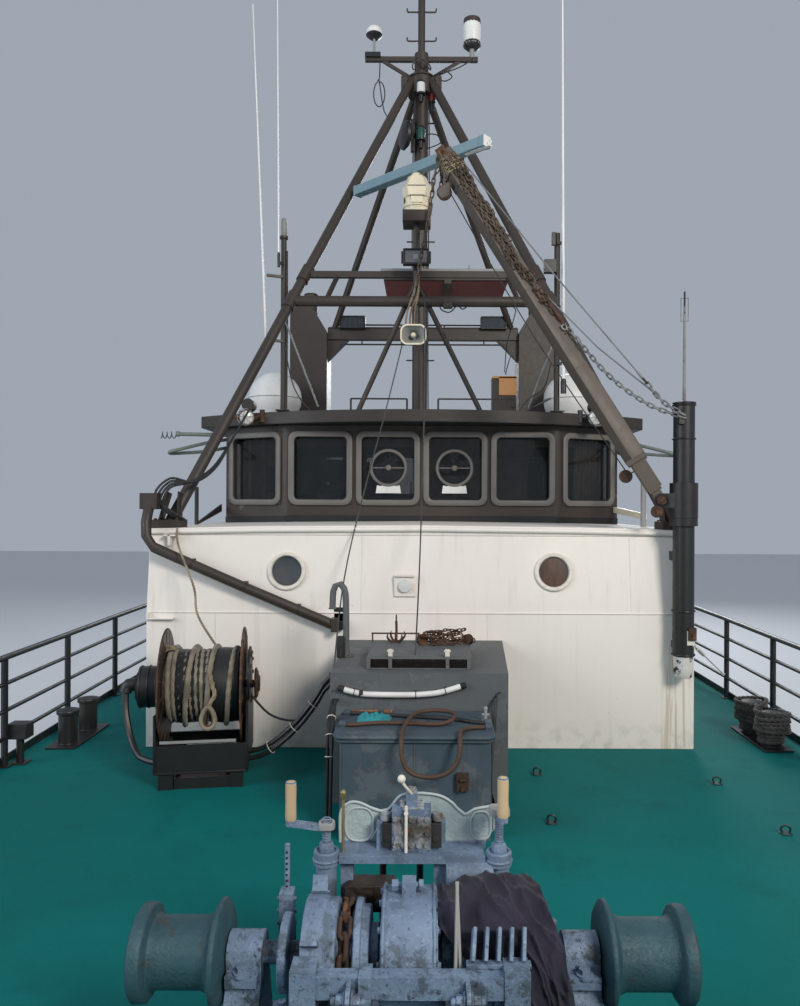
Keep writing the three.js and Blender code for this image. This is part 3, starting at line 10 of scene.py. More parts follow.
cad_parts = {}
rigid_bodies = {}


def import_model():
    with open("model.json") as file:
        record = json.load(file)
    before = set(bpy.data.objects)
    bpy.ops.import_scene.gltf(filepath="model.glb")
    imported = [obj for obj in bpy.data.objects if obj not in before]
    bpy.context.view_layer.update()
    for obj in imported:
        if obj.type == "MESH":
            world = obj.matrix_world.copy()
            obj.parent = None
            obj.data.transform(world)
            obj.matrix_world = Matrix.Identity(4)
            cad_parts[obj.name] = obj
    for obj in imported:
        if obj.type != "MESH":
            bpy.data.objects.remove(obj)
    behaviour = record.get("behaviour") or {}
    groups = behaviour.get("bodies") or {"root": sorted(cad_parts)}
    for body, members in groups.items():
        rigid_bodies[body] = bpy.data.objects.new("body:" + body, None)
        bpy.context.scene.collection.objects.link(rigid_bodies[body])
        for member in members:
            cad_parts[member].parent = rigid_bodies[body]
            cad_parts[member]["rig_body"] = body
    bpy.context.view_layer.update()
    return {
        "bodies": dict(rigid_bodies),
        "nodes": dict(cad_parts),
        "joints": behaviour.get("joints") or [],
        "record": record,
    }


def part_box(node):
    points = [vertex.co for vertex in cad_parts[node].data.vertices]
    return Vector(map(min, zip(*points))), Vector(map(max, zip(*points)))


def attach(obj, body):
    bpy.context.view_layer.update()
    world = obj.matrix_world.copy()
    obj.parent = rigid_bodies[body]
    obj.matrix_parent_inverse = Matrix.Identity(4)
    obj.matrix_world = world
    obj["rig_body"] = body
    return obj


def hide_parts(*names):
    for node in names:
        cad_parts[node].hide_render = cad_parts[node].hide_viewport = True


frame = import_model()
nodes = frame["nodes"]
print("frame loaded")

# Camera: stands at the stem, ahead of the windlass, and looks aft, level
cameraSet = {"at": (0.03, -11.2, 4.25), "lens": 28.63, "roll": 0.25, "shift": (-0.0239, 0.002)}
cameraData = bpy.data.cameras.new("deckCamera")
cameraData.lens = cameraSet["lens"]
cameraData.sensor_width = 36
cameraData.shift_x, cameraData.shift_y = cameraSet["shift"]
cameraData.clip_end = 200
camera = bpy.data.objects.new("deckCamera", cameraData)
place = Matrix.Translation(cameraSet["at"])
level = Matrix.Rotation(math.radians(90), 4, "X")
roll = Matrix.Rotation(math.radians(cameraSet["roll"]), 4, "Z")
camera.matrix_world = place @ level @ roll
bpy.context.scene.collection.objects.link(camera)
bpy.context.scene.camera = camera


# A socket that can be used in sums; what it is added to may be a number or another signal
class Signal:
    def __init__(self, graph, socket):
        self.graph, self.socket = graph, socket

    def sum(self, operation, first, second=None):
        values = {0: first} if second is None else {0: first, 1: second}
        return self.graph.node("ShaderNodeMath", {"operation": operation}, values)

    def __add__(self, other):
        return self.sum("ADD", self, other)

    def __radd__(self, other):
        return self.sum("ADD", other, self)

    def __sub__(self, other):
        return self.sum("SUBTRACT", self, other)

    def __rsub__(self, other):
        return self.sum("SUBTRACT", other, self)

    def __mul__(self, other):
        return self.sum("MULTIPLY", self, other)

    def __rmul__(self, other):
        return self.sum("MULTIPLY", other, self)

    def __truediv__(self, other):
        return self.sum("DIVIDE", self, other)

    def __rtruediv__(self, other):
        return self.sum("DIVIDE", other, self)

    def __gt__(self, other):
        return self.sum("GREATER_THAN", self, other)

    def __lt__(self, other):
        return self.sum("LESS_THAN", self, other)

    def __mod__(self, other):
        return self.sum("MODULO", self, other)

    def __abs__(self):
        return self.sum("ABSOLUTE", self)

    def clip(self):
        return self.graph.node("ShaderNodeClamp", {}, {0: self})


# Adds nodes to a shader or geometry tree: settings first, then values or links of the sockets
class Graph:
    def __init__(self, tree):
        self.tree = tree

    def node(self, kind, settings=None, values=None, out=0):
        made = self.tree.nodes.new(kind)
        for name, value in (settings or {}).items():
            if name == "stops":
                ramp = made.color_ramp
                while len(ramp.elements) < len(value):
                    ramp.elements.new(0.5)
                for element, (place, colour) in zip(ramp.elements, value):
                    element.position = place
                    element.color = (*colour, 1) if len(colour) == 3 else colour
            else:
                setattr(made, name, value)
        for key, value in (values or {}).items():
            if isinstance(value, Signal):
                self.tree.links.new(value.socket, made.inputs[key])
            elif value is not None:
                made.inputs[key].default_value = value
        return Signal(self, made.outputs[out])


# A material in the making: object coordinates, noises, masks and mixes
class Finish(Graph):
    def __init__(self, name):
        self.material = bpy.data.materials.new(name)
        self.material.use_nodes = True
        super().__init__(self.material.node_tree)
        self.tree.nodes.clear()
        self.place = self.node("ShaderNodeTexCoord", {}, {}, "Object")
        parts = self.tree.nodes.new("ShaderNodeSeparateXYZ")
        self.tree.links.new(self.place.socket, parts.inputs[0])
        self.x, self.y, self.z = [Signal(self, parts.outputs[i]) for i in range(3)]

    def noise(self, scale, detail=3, rough=0.55, stretch=(1, 1, 1), at=(0, 0, 0)):
        mapped = self.node("ShaderNodeMapping", {}, {"Vector": self.place, "Scale": stretch, "Location": at})
        return self.node("ShaderNodeTexNoise", {}, {"Vector": mapped, "Scale": scale, "Detail": detail,
            "Roughness": rough})

    def step(self, signal, low, high):
        return self.node("ShaderNodeMapRange", {"interpolation_type": "SMOOTHSTEP"},
                         {0: signal, 1: low, 2: high, 3: 0.0, 4: 1.0})

    def mix(self, amount, first, second):
        made = self.tree.nodes.new("ShaderNodeMix")
        made.data_type = "RGBA"
        for key, value in ((0, amount), (6, first), (7, second)):
            if isinstance(value, Signal):
                self.tree.links.new(value.socket, made.inputs[key])
            else:
                made.inputs[key].default_value = (*value, 1) if isinstance(value, tuple) else value
        return Signal(self, made.outputs[2])

    def shell(self, colour, rough, height=None, bump=0.3, reach=0.01, alpha=None, **fixed):
        made = self.tree.nodes.new("ShaderNodeBsdfPrincipled")
        for key, value in (("Base Color", colour), ("Roughness", rough), ("Alpha", alpha)):
            if isinstance(value, Signal):
                self.tree.links.new(value.socket, made.inputs[key])
            elif value is not None:
                made.inputs[key].default_value = (*value, 1) if isinstance(value, tuple) else value
        for key, value in fixed.items():
            key = key.replace("_", " ")
            if isinstance(value, Signal):
                self.tree.links.new(value.socket, made.inputs[key])
            else:
                made.inputs[key].default_value = (*value, 1) if isinstance(value, tuple) else value
        if height is not None:
            normal = self.node("ShaderNodeBump", {}, {"Strength": bump, "Distance": reach, "Height": height})
            self.tree.links.new(normal.socket, made.inputs["Normal"])
        end = self.tree.nodes.new("ShaderNodeOutputMaterial")
        self.tree.links.new(made.outputs[0], end.inputs[0])
        return self.material


# Marine paint: two tones, dirt, chips that show rust or primer, and a brushed on surface; given a height, it is
# near black below it as painted shade
def paint(name, tone, dark, chip=(0.12, 0.05, 0.025), chips=0.62, rough=0.55, grime=0.5, lumps=0.15,
    scale=1.0, shadeBelow=None):
    f = Finish(name)
    broad = f.noise(1.3 * scale, 4)
    fine = f.noise(14 * scale, 5)
    grain = f.noise(90 * scale, 3)
    worn = f.step(f.noise(5.5 * scale, 7, 0.62, at=(3, 1, 7)), chips, chips + 0.05)
    colour = f.mix(f.step(broad, 0.35, 0.7) * grime, tone, dark)
    colour = f.mix(f.step(fine, 0.55, 0.8) * 0.35 * grime, colour, dark)
    colour = f.mix(worn, colour, chip)
    # Near black below the given height: painted shade
    if shadeBelow:
        colour = f.mix(f.step(f.z, shadeBelow + 0.004, shadeBelow) * 0.9, colour, (0.004, 0.004, 0.004))
    return f.shell(colour, rough + fine * 0.2 - 0.1 + worn * 0.15, fine * 0.6 + grain * 0.15 - worn * 0.4,
        lumps, 0.012)


paints = {
    "brown": paint("brownPaint", (0.043, 0.032, 0.025), (0.018, 0.014, 0.011), (0.16, 0.12, 0.09), 0.67,
        0.5),
    # Roof paint, near black below z 5.197: painted shade under the roof's overhang
    "brownRoof": paint("brownRoofPaint", (0.033, 0.026, 0.021), (0.017, 0.014, 0.012), chips=0.72,
        rough=0.55, shadeBelow=5.197),
    # Boom paint: the brown paint made lighter, as painted sunlight on the boom
    "boom": paint("boomPaint", (0.108, 0.086, 0.069), (0.045, 0.035, 0.028), (0.12, 0.055, 0.03), 0.64,
        0.55),
    "black": paint("blackPaint", (0.012, 0.012, 0.013), (0.022, 0.020, 0.019), chips=0.70, rough=0.42),
    "rail": paint("railPaint", (0.010, 0.011, 0.013), (0.02, 0.02, 0.02), chips=0.74, rough=0.4),
    "rusty": paint("rustySteel", (0.085, 0.040, 0.022), (0.03, 0.017, 0.012), (0.16, 0.07, 0.03), 0.55,
        0.85, 0.9, 0.5, 3),
    "lightGrey": paint("lightGreyPaint", (0.28, 0.285, 0.275), (0.15, 0.15, 0.145), (0.1, 0.08, 0.06),
        0.73, 0.5),
    "green": paint("greenGreyPaint", (0.16, 0.20, 0.18), (0.09, 0.11, 0.10), (0.1, 0.06, 0.04), 0.68,
        0.55),
    "cream": paint("creamHousing", (0.78, 0.70, 0.52), (0.55, 0.48, 0.35), (0.35, 0.28, 0.2), 0.75, 0.4,
        0.5, 0.05),
    "warmWhite": paint("warmWhitePaint", (0.72, 0.68, 0.60), (0.5, 0.46, 0.4), (0.3, 0.18, 0.1), 0.70,
        0.5),
    "zinc": paint("galvanised", (0.21, 0.215, 0.22), (0.11, 0.11, 0.115), (0.10, 0.055, 0.03), 0.62, 0.5,
        0.8, 0.3, 3),
    "chain": paint("brownChain", (0.125, 0.095, 0.066), (0.045, 0.032, 0.023), (0.15, 0.085, 0.05), 0.58,
        0.8, 1.0, 0.5, 4),
    "orange": paint("orangePanel", (0.62, 0.30, 0.10), (0.42, 0.2, 0.08), (0.2, 0.15, 0.1), 0.74, 0.5),
}


def whitePaint():
    f = Finish("deckhouseWhite")
    broad = f.noise(0.8, 4)
    fine = f.noise(9, 6)
    # Runs of dirt below edges, and the rust below the post's bracket
    runs = f.step(f.noise(9, 5, 0.6, (1.6, 1.6, 0.06)), 0.52, 0.78)
    rustRuns = f.step(f.noise(26, 4, 0.6, (1, 1, 0.03)), 0.5, 0.62)
    underPost = f.step(abs(f.x - 2.36), 0.2, 0.05) * f.step(f.z, 3.02, 2.9) * f.step(f.y, -3.5, -3.75)
    specks = f.step(f.noise(46, 3, 0.5), 0.70, 0.76)
    colour = f.mix(f.step(broad, 0.3, 0.75) * 0.45, (0.80, 0.752, 0.695), (0.70, 0.655, 0.605))
    colour = f.mix(runs * 0.28, colour, (0.50, 0.46, 0.40))
    colour = f.mix(specks * 0.30, colour, (0.34, 0.22, 0.13))
    colour = f.mix((underPost * rustRuns).clip() * 0.5, colour, (0.40, 0.25, 0.10))
    scuffs = f.step(f.z, 2.35, 2.02) * f.step(fine, 0.45, 0.65)
    colour = f.mix(scuffs * 0.35, colour, (0.38, 0.38, 0.34))
    # Slight hollows between the frames behind the plate
    waves = f.node("ShaderNodeTexWave", {"bands_direction": "X"},
        {"Vector": f.place, "Scale": 0.42, "Distortion": 1.2, "Detail": 1.0}, 1)
    return f.shell(colour, 0.42 + fine * 0.2, broad * 1.2 + waves * 0.8 + fine * 0.05, 0.25, 0.03)


def deckPaint():
    f = Finish("deckTeal")
    broad = f.noise(0.55, 5, 0.6)
    blotch = f.noise(2.6, 6, 0.65, at=(4, 0, 2))
    fine = f.noise(30, 4)
    grit = f.noise(240, 2)
    colour = f.mix(f.step(broad, 0.35, 0.7) * 0.7, (0.0, 0.130, 0.125), (0.0, 0.160, 0.155))
    colour = f.mix(f.step(blotch, 0.5, 0.72) * 0.55, colour, (0.002, 0.100, 0.098))
    colour = f.mix(f.step(blotch, 0.66, 0.74) * 0.45, colour, (0.018, 0.085, 0.082))
    colour = f.mix(f.step(fine, 0.62, 0.8) * 0.25, colour, (0.004, 0.20, 0.19))
    return f.shell(colour, 0.66 + fine * 0.2, grit * 0.5 + fine * 0.4 + blotch * 0.4, 0.25, 0.006,
        Specular_IOR_Level=0.16)


def trunkPaint():
    f = Finish("trunkGrey")
    broad = f.noise(2.2, 5)
    fine = f.noise(18, 6, 0.6)
    peel = f.step(f.noise(3.2, 9, 0.7, at=(9, 2, 5)), 0.56, 0.58)
    edge = f.step(f.noise(3.2, 9, 0.7, at=(9, 2, 5)), 0.53, 0.56) - peel
    runs = f.step(f.noise(16, 5, 0.6, (1.2, 1.2, 0.05)), 0.55, 0.72)
    colour = f.mix(f.step(broad, 0.35, 0.7) * 0.6, (0.050, 0.078, 0.104), (0.030, 0.048, 0.066))
    # The vent box behind the hatch is weathered paler than the front
    rear = f.step(f.y, -5.30, -5.24)
    colour = f.mix(rear * 0.75, colour, (0.120, 0.123, 0.120))
    colour = f.mix(peel * 0.45, colour, (0.115, 0.140, 0.155))
    colour = f.mix(edge.clip() * 0.6, colour, (0.09, 0.085, 0.08))
    colour = f.mix(runs * 0.35, colour, (0.12, 0.07, 0.045))
    colour = f.mix(f.step(fine, 0.62, 0.78) * 0.4, colour, (0.11, 0.08, 0.06))
    return f.shell(colour, 0.6 + fine * 0.2, fine * 0.4 - peel * 0.5, 0.3, 0.008)


# Silver over old dark layers; its base and lump tones are darker and bluer than the white-silver paint, as
# painted blue shade. The guard behind the valves is paler.
# Of the shaft only the outer drums are bare cast steel
def windlassPaint(name="windlassSilver", shaft=False):
    f = Finish(name)
    broad = f.noise(4, 5)
    fine = f.noise(26, 7, 0.65)
    lumps = f.noise(60, 4)
    dark = f.step(f.noise(9, 8, 0.7, at=(2, 8, 1)), 0.50, 0.60)
    flakes = f.step(f.noise(42, 6, 0.7, at=(1, 4, 4)), 0.60, 0.64)
    # Darker, blue base and lump tones: painted blue shade over the white-silver paint
    colour = f.mix(f.step(broad, 0.3, 0.7) * 0.7, (0.195, 0.270, 0.385), (0.100, 0.148, 0.220))
    colour = f.mix(f.step(lumps, 0.58, 0.72) * 0.45, colour, (0.36, 0.44, 0.55))
    low = f.step(f.z, 2.88, 2.70)
    colour = f.mix(dark * (0.35 + low * 0.55), colour, (0.040, 0.052, 0.060))
    colour = f.mix(flakes * (0.45 + low * 0.4), colour, (0.030, 0.030, 0.033))
    chipped = f.step(f.noise(75, 5, 0.7, at=(7, 1, 2)), 0.56, 0.62)
    colour = f.mix(chipped * (0.15 + low * 0.45), colour, (0.07, 0.085, 0.095))
    colour = f.mix(f.step(fine, 0.67, 0.75) * 0.5, colour, (0.085, 0.05, 0.035))
    if shaft:
        rust = f.step(f.noise(11, 7, 0.65, at=(5, 5, 5)), 0.57, 0.66)
        bare = f.mix(f.step(broad, 0.35, 0.7) * 0.7, (0.030, 0.085, 0.105), (0.014, 0.045, 0.060))
        bare = f.mix(rust * 0.6, bare, (0.05, 0.035, 0.028))
        colour = f.mix(f.step(abs(f.x), 0.635, 0.645), colour, bare)
    else:
        guard = f.step(f.z, 2.905, 2.915) * f.step(f.y, -8.008, -8.005) * f.step(f.y, -7.98, -7.985)
        colour = f.mix(guard * 0.85, colour, f.mix(f.step(broad, 0.35, 0.7), (0.50, 0.60, 0.58),
            (0.36, 0.45, 0.45)))
    return f.shell(colour, 0.38 + fine * 0.35, fine + lumps * 0.4 - dark * 0.3 - flakes * 0.3, 0.55, 0.008,
        Metallic=0.15)


def hullPaint():
    f = Finish("hullPaint")
    broad = f.noise(0.7, 5)
    fine = f.noise(8, 6)
    runs = f.step(f.noise(5, 5, 0.6, (1, 1, 0.08)), 0.55, 0.75)
    scrapes = f.step(f.noise(7, 6, 0.6, (0.15, 0.15, 2.2), (1, 5, 0)), 0.66, 0.72)
    below = f.step(f.z + f.noise(3, 3) * 0.04, 0.13, 0.11)
    slime = f.step(f.z, 0.14, -0.5) * f.step(broad, 0.4, 0.6)
    topside = f.mix(broad * 0.6, (0.030, 0.040, 0.060), (0.05, 0.06, 0.08))
    topside = f.mix(runs * 0.3, topside, (0.13, 0.07, 0.04))
    topside = f.mix(scrapes * 0.6, topside, (0.16, 0.16, 0.16))
    bottom = f.mix(slime * 0.5, (0.16, 0.03, 0.022), (0.06, 0.05, 0.03))
    seams = f.step(abs((f.y + 20) % 2.4 - 1.2), 0.012, 0.0)
    return f.shell(f.mix(below, topside, bottom), 0.42 + fine * 0.2, broad + seams * 0.25 + fine * 0.1, 0.3,
        0.02)


def plastic(name, tone, dark, rough=0.35):
    f = Finish(name)
    broad = f.noise(3, 4)
    fine = f.noise(60, 3)
    grime = f.step(f.noise(8, 5, 0.6, (1, 1, 0.25)), 0.5, 0.75)
    colour = f.mix(f.step(broad, 0.35, 0.7) * 0.3, tone, dark)
    return f.shell(f.mix(grime * 0.35, colour, dark), rough + fine * 0.15, fine * 0.2 + broad * 0.2, 0.1,
        0.003)


def glass(name, tint, alpha):
    f = Finish(name)
    salt = f.step(f.noise(7, 6, 0.7), 0.45, 0.75)
    return f.shell(tint, 0.03 + salt * 0.12, f.noise(2.2, 2), 0.04, 0.01, alpha=alpha + salt * 0.05,
                   Specular_IOR_Level=0.6, Coat_Weight=0.25)


def wood(name, tone, dark):
    f = Finish(name)
    grain = f.noise(5, 6, 0.6, (9, 9, 0.7))
    fine = f.noise(40, 3, 0.5, (6, 6, 0.5))
    colour = f.mix(f.step(grain, 0.35, 0.65), tone, dark)
    return f.shell(colour, 0.34 + fine * 0.2, grain * 0.5 + fine * 0.4, 0.2, 0.004)


def ropeFibre(name, tone, dark, turns=260.0):
    f = Finish(name)
    broad = f.noise(5, 5)
    fine = f.noise(90, 4)
    fibres = f.noise(turns, 2, 0.5, (1, 1, 0.35))
    colour = f.mix(f.step(broad, 0.35, 0.68), tone, dark)
    colour = f.mix(f.step(fine, 0.5, 0.72) * 0.5, colour, dark)
    return f.shell(colour, 0.85 + fine * 0.1, fibres + fine * 0.5, 0.6, 0.003, Sheen_Weight=0.3)


def castSteel():
    f = Finish("drumSteel")
    broad = f.noise(4, 6)
    fine = f.noise(40, 5)
    rings = f.noise(30, 3, 0.5, (8, 0.6, 0.6))
    rust = f.step(f.noise(11, 7, 0.65, at=(5, 5, 5)), 0.57, 0.66)
    colour = f.mix(f.step(broad, 0.35, 0.7) * 0.7, (0.030, 0.080, 0.098), (0.014, 0.042, 0.056))
    colour = f.mix(rust * 0.65, colour, (0.06, 0.035, 0.022))
    colour = f.mix(f.step(rings, 0.6, 0.75) * 0.3, colour, (0.06, 0.12, 0.14))
    return f.shell(colour, 0.5 + fine * 0.2 + rust * 0.2, fine * 0.5 + rings * 0.3 - rust * 0.3, 0.3, 0.006,
        Metallic=0.2)


def cloth(name, tone, dark, weave=700.0):
    f = Finish(name)
    broad = f.noise(7, 5)
    threads = f.noise(weave, 2, 0.5)
    colour = f.mix(f.step(broad, 0.35, 0.7), tone, dark)
    return f.shell(colour, 0.85 + broad * 0.1, threads + broad * 0.4, 0.3, 0.002, Sheen_Weight=0.08)


def bronze():
    f = Finish("propellerBronze")
    broad = f.noise(5, 5)
    fine = f.noise(50, 4)
    colour = f.mix(f.step(broad, 0.4, 0.65), (0.48, 0.34, 0.13), (0.16, 0.2, 0.13))
    return f.shell(colour, 0.35 + fine * 0.25, fine, 0.15, 0.003, Metallic=0.85)


def lampLens(name, tone, glow=0.0):
    f = Finish(name)
    ribs = f.noise(60, 2, 0.4, (1, 1, 6))
    return f.shell(f.mix(ribs * 0.6, tone, tuple(0.55 * c for c in tone)), 0.12 + ribs * 0.15, ribs, 0.25,
        0.003, Coat_Weight=0.7, Emission_Color=tone, Emission_Strength=glow)


# Orange ring with four white bands, told apart by the angle round its own middle
def buoyRing(y, z):
    f = Finish("lifeRingPaint")
    angle = (f.z - z).sum("ARCTAN2", f.z - z, f.y - y)
    bands = f.step(abs((angle + 6.2832) % 1.5708 - 0.7854), 0.15, 0.13)
    fine = f.noise(50, 4)
    colour = f.mix(bands, (0.55, 0.06, 0.02), (0.72, 0.70, 0.64))
    return f.shell(f.mix(f.step(fine, 0.6, 0.8) * 0.3, colour, (0.3, 0.2, 0.15)), 0.5 + fine * 0.2, fine, 0.1,
        0.003)


whiteFinish, deckFinish, trunkFinish = whitePaint(), deckPaint(), trunkPaint()
silverFinish, hullFinish, drumFinish = windlassPaint(), hullPaint(), castSteel()
domeFinish = plastic("domeWhite", (0.80, 0.80, 0.78), (0.55, 0.54, 0.5))
scannerFinish = plastic("scannerBlue", (0.185, 0.285, 0.335), (0.13, 0.205, 0.245), 0.42)
shaftFinish = windlassPaint("windlassShaftPaint", True)
crustFinish = paint("valveCrust", (0.34, 0.37, 0.40), (0.07, 0.065, 0.06), (0.14, 0.07, 0.035), 0.60, 0.8,
    1.4, 0.8, 6)
pipeWhite = plastic("whitePipe", (0.74, 0.74, 0.72), (0.42, 0.42, 0.40), 0.4)
rubberFinish = plastic("fenderRubber", (0.013, 0.013, 0.013), (0.05, 0.05, 0.048), 0.75)
# Red primer of the platform's underside, made brighter as painted light
redPrimer = paint("redPrimer", (0.34, 0.085, 0.075), (0.22, 0.055, 0.05), chips=0.70, rough=0.6)
brownHose = plastic("brownHose", (0.075, 0.040, 0.024), (0.03, 0.018, 0.012), 0.6)
flangeFinish = paint("reelFlange", (0.16, 0.115, 0.075), (0.07, 0.048, 0.032), (0.10, 0.045, 0.02), 0.60, 0.7,
    0.8, 0.3, 2)
hoseBlack = plastic("blackHose", (0.012, 0.012, 0.014), (0.05, 0.05, 0.05), 0.5)
screenFinish = plastic("screenBlack", (0.010, 0.012, 0.014), (0.02, 0.02, 0.022), 0.18)
ceilingFinish = plastic("ceilingBeige", (0.52, 0.46, 0.36), (0.34, 0.3, 0.24), 0.6)
paneFinish = glass("windowGlass", (0.012, 0.016, 0.018), 0.42)
warmPane = glass("cabinPane", (0.055, 0.07, 0.085), 0.50)
lampGlass = plastic("lampGlass", (0.16, 0.165, 0.18), (0.09, 0.08, 0.08), 0.15)
ringFinish = buoyRing(-3.15, 2.80)
woodFinish = wood("cabinTeak", (0.34, 0.16, 0.07), (0.16, 0.07, 0.03))
hawserFinish = ropeFibre("hawser", (0.27, 0.235, 0.170), (0.13, 0.108, 0.075))
tanRope = ropeFibre("tanRope", (0.33, 0.26, 0.16), (0.15, 0.11, 0.07))
darkRope = ropeFibre("darkRope", (0.05, 0.046, 0.042), (0.02, 0.018, 0.017))
netFinish = ropeFibre("trawlNet", (0.05, 0.20, 0.13), (0.03, 0.08, 0.06), 120)
purpleCloth = cloth("purpleCloth", (0.024, 0.019, 0.040), (0.009, 0.008, 0.017))
tealSheet = cloth("tealSheet", (0.02, 0.24, 0.27), (0.01, 0.13, 0.16), 200)
bronzeFinish = bronze()
redLens = lampLens("redLens", (0.28, 0.025, 0.018))
greenLens = lampLens("greenLens", (0.005, 0.075, 0.06))
clearLens = lampLens("clearLens", (0.75, 0.76, 0.74))
print("finishes made")


# Mesh pieces: closed shells are gathered in one bmesh, then become one object on a body
class Shape:
    def __init__(self):
        self.mesh = bmesh.new()

    def ring(self, points):
        return [self.mesh.verts.new(p) for p in points]

    def skin(self, rings, closed=False):
        faces = []
        size = len(rings[0])
        pairs = list(zip(rings, rings[1:])) + ([(rings[-1], rings[0])] if closed else [])
        for low, high in pairs:
            for i in range(size):
                j = (i + 1) % size
                faces.append(self.mesh.faces.new((low[i], low[j], high[j], high[i])))
        if not closed:
            faces += [self.mesh.faces.new(rings[0][::-1]), self.mesh.faces.new(rings[-1])]
        bmesh.ops.recalc_face_normals(self.mesh, faces=faces)
        return self

    def block(self, low, high):
        (x0, y0, z0), (x1, y1, z1) = low, high
        return self.skin([self.ring([(x0, y0, z), (x1, y0, z), (x1, y1, z), (x0, y1, z)]) for z in (z0, z1)])

    # Square section between two points; up is the section's second direction
    def bar(self, a, b, width, depth, up=(0, 0, 1)):
        a, b = Vector(a), Vector(b)
        along = (b - a).normalized()
        side = along.cross(Vector(up))
        side = side.normalized() if side.length > 1e-4 else Vector((1, 0, 0))
        over = side.cross(along)
        corners = [side * (sx * width / 2) + over * (sz * depth / 2)
            for sx, sz in ((-1, -1), (1, -1), (1, 1), (-1, 1))]
        return self.skin([self.ring([p + c for c in corners]) for p in (a, b)])

    def tube(self, points, radius, sides=12, closed=False):
        points = [Vector(p) for p in points]
        radii = radius if isinstance(radius, (list, tuple)) else [radius] * len(points)
        rings = []
        up = None
        for i, p in enumerate(points):
            before = points[i - 1] if i or closed else p
            after = points[(i + 1) % len(points)] if i + 1 < len(points) or closed else p
            along = (after - before).normalized()
            if up is None:
                up = along.orthogonal().normalized()
            up = (up - along * up.dot(along)).normalized()
            side = along.cross(up)
            rings.append(self.ring([p + (up * math.cos(t) + side * math.sin(t)) * radii[i]
                                    for t in (2 * math.pi * k / sides for k in range(sides))]))
        return self.skin(rings, closed)

    def rod(self, a, b, radius, sides=20, end=None):
        return self.tube([a, b], [radius, radius if end is None else end], sides)

    # Turned piece: profile pairs of radius and distance along the axis; ends of radius 0 close it
    def turned(self, profile, at, axis=(0, 0, 1), sides=32):
        at, axis = Vector(at), Vector(axis).normalized()
        up = axis.orthogonal().normalized()
        side = axis.cross(up)
        rings = []
        for radius, along in profile:
            rings.append(self.ring([
                at + axis * along + (up * math.cos(t) + side * math.sin(t)) * max(radius, 0.0004)
                for t in (2 * math.pi * k / sides for k in range(sides))]))
        return self.skin(rings)

    # Flat outline of (a, b) pairs on two directions, given a thickness along their normal
    def slab(self, outline, at, first, second, thick):
        at, first, second = Vector(at), Vector(first), Vector(second)
        out = first.cross(second).normalized() * thick
        rings = [self.ring([at + first * a + second * b + out * s for a, b in outline]) for s in (0, 1)]
        return self.skin(rings)

    # Rounded rectangular frame standing on a plane: outer half sizes, bar width and thickness
    def frame(self, at, first, second, half, width, thick, corner=0.1, steps=6):
        at, first, second = Vector(at), Vector(first), Vector(second)
        out = first.cross(second).normalized()
        rings = [(0, 0), (0, thick * 0.7), (width * 0.2, thick), (width * 0.8, thick), (width, thick * 0.7),
            (width, 0)]
        made = []
        for inset, height in rings:
            outline = roundedOutline((half[0] - inset, half[1] - inset), max(corner - inset * 0.8, 0.01),
                steps)
            made.append(self.ring([at + first * a + second * b + out * height for a, b in outline]))
        return self.skin(made, closed=True)

    def ball(self, at, radius, stretch=(1, 1, 1), sides=24):
        made = bmesh.ops.create_uvsphere(self.mesh, u_segments=sides, v_segments=max(8, sides // 2),
            radius=radius)
        for v in made["verts"]:
            v.co = Vector(at) + Vector([c * s for c, s in zip(v.co, stretch)])
        return self

    def ringTube(self, at, axis, radius, thick, sides=36, section=10):
        axis = Vector(axis).normalized()
        up = axis.orthogonal().normalized()
        side = axis.cross(up)
        points = [Vector(at) + (up * math.cos(t) + side * math.sin(t)) * radius
                  for t in (2 * math.pi * k / sides for k in range(sides))]
        return self.tube(points, thick, section, closed=True)

    def piece(self, name, body, finish, bevel=0.0, swap=(), slotName=None, smoothAngle=38, segments=2):
        bmesh.ops.remove_doubles(self.mesh, verts=self.mesh.verts, dist=0.00002)
        data = bpy.data.meshes.new(name)
        self.mesh.to_mesh(data)
        self.mesh.free()
        return settle(name, data, body, finish, bevel, swap, smoothAngle, segments)


def roundedOutline(half, corner, steps=6):
    points = []
    corner = min(corner, half[0] * 0.99, half[1] * 0.99)
    for sx, sy, start in ((1, 1, 0), (-1, 1, 90), (-1, -1, 180), (1, -1, 270)):
        for k in range(steps + 1):
            t = math.radians(start + 90 * k / steps)
            points.append((sx * (half[0] - corner) + corner * math.cos(t),
                sy * (half[1] - corner) + corner * math.sin(t)))
    return points


def settle(name, data, body, finish, bevel=0.0, swap=(), smoothAngle=38, segments=2):
    made = bpy.data.objects.new(name, data)
    bpy.context.scene.collection.objects.link(made)
    work = bmesh.new()
    work.from_mesh(data)
    limit = math.radians(smoothAngle)
    for edge in work.edges:
        edge.smooth = edge.is_manifold and edge.calc_face_angle(0) < limit
    for face in work.faces:
        face.smooth = True
    work.to_mesh(data)
    work.free()
    data.materials.clear()
    data.materials.append(finish)
    if bevel:
        edgeRound = made.modifiers.new("edges", "BEVEL")
        edgeRound.width = bevel
        edgeRound.segments = segments
        edgeRound.limit_method = "ANGLE"
        edgeRound.angle_limit = math.radians(40)
        edgeRound.harden_normals = False
    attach(made, body)
    if swap:
        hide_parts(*swap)
    return made


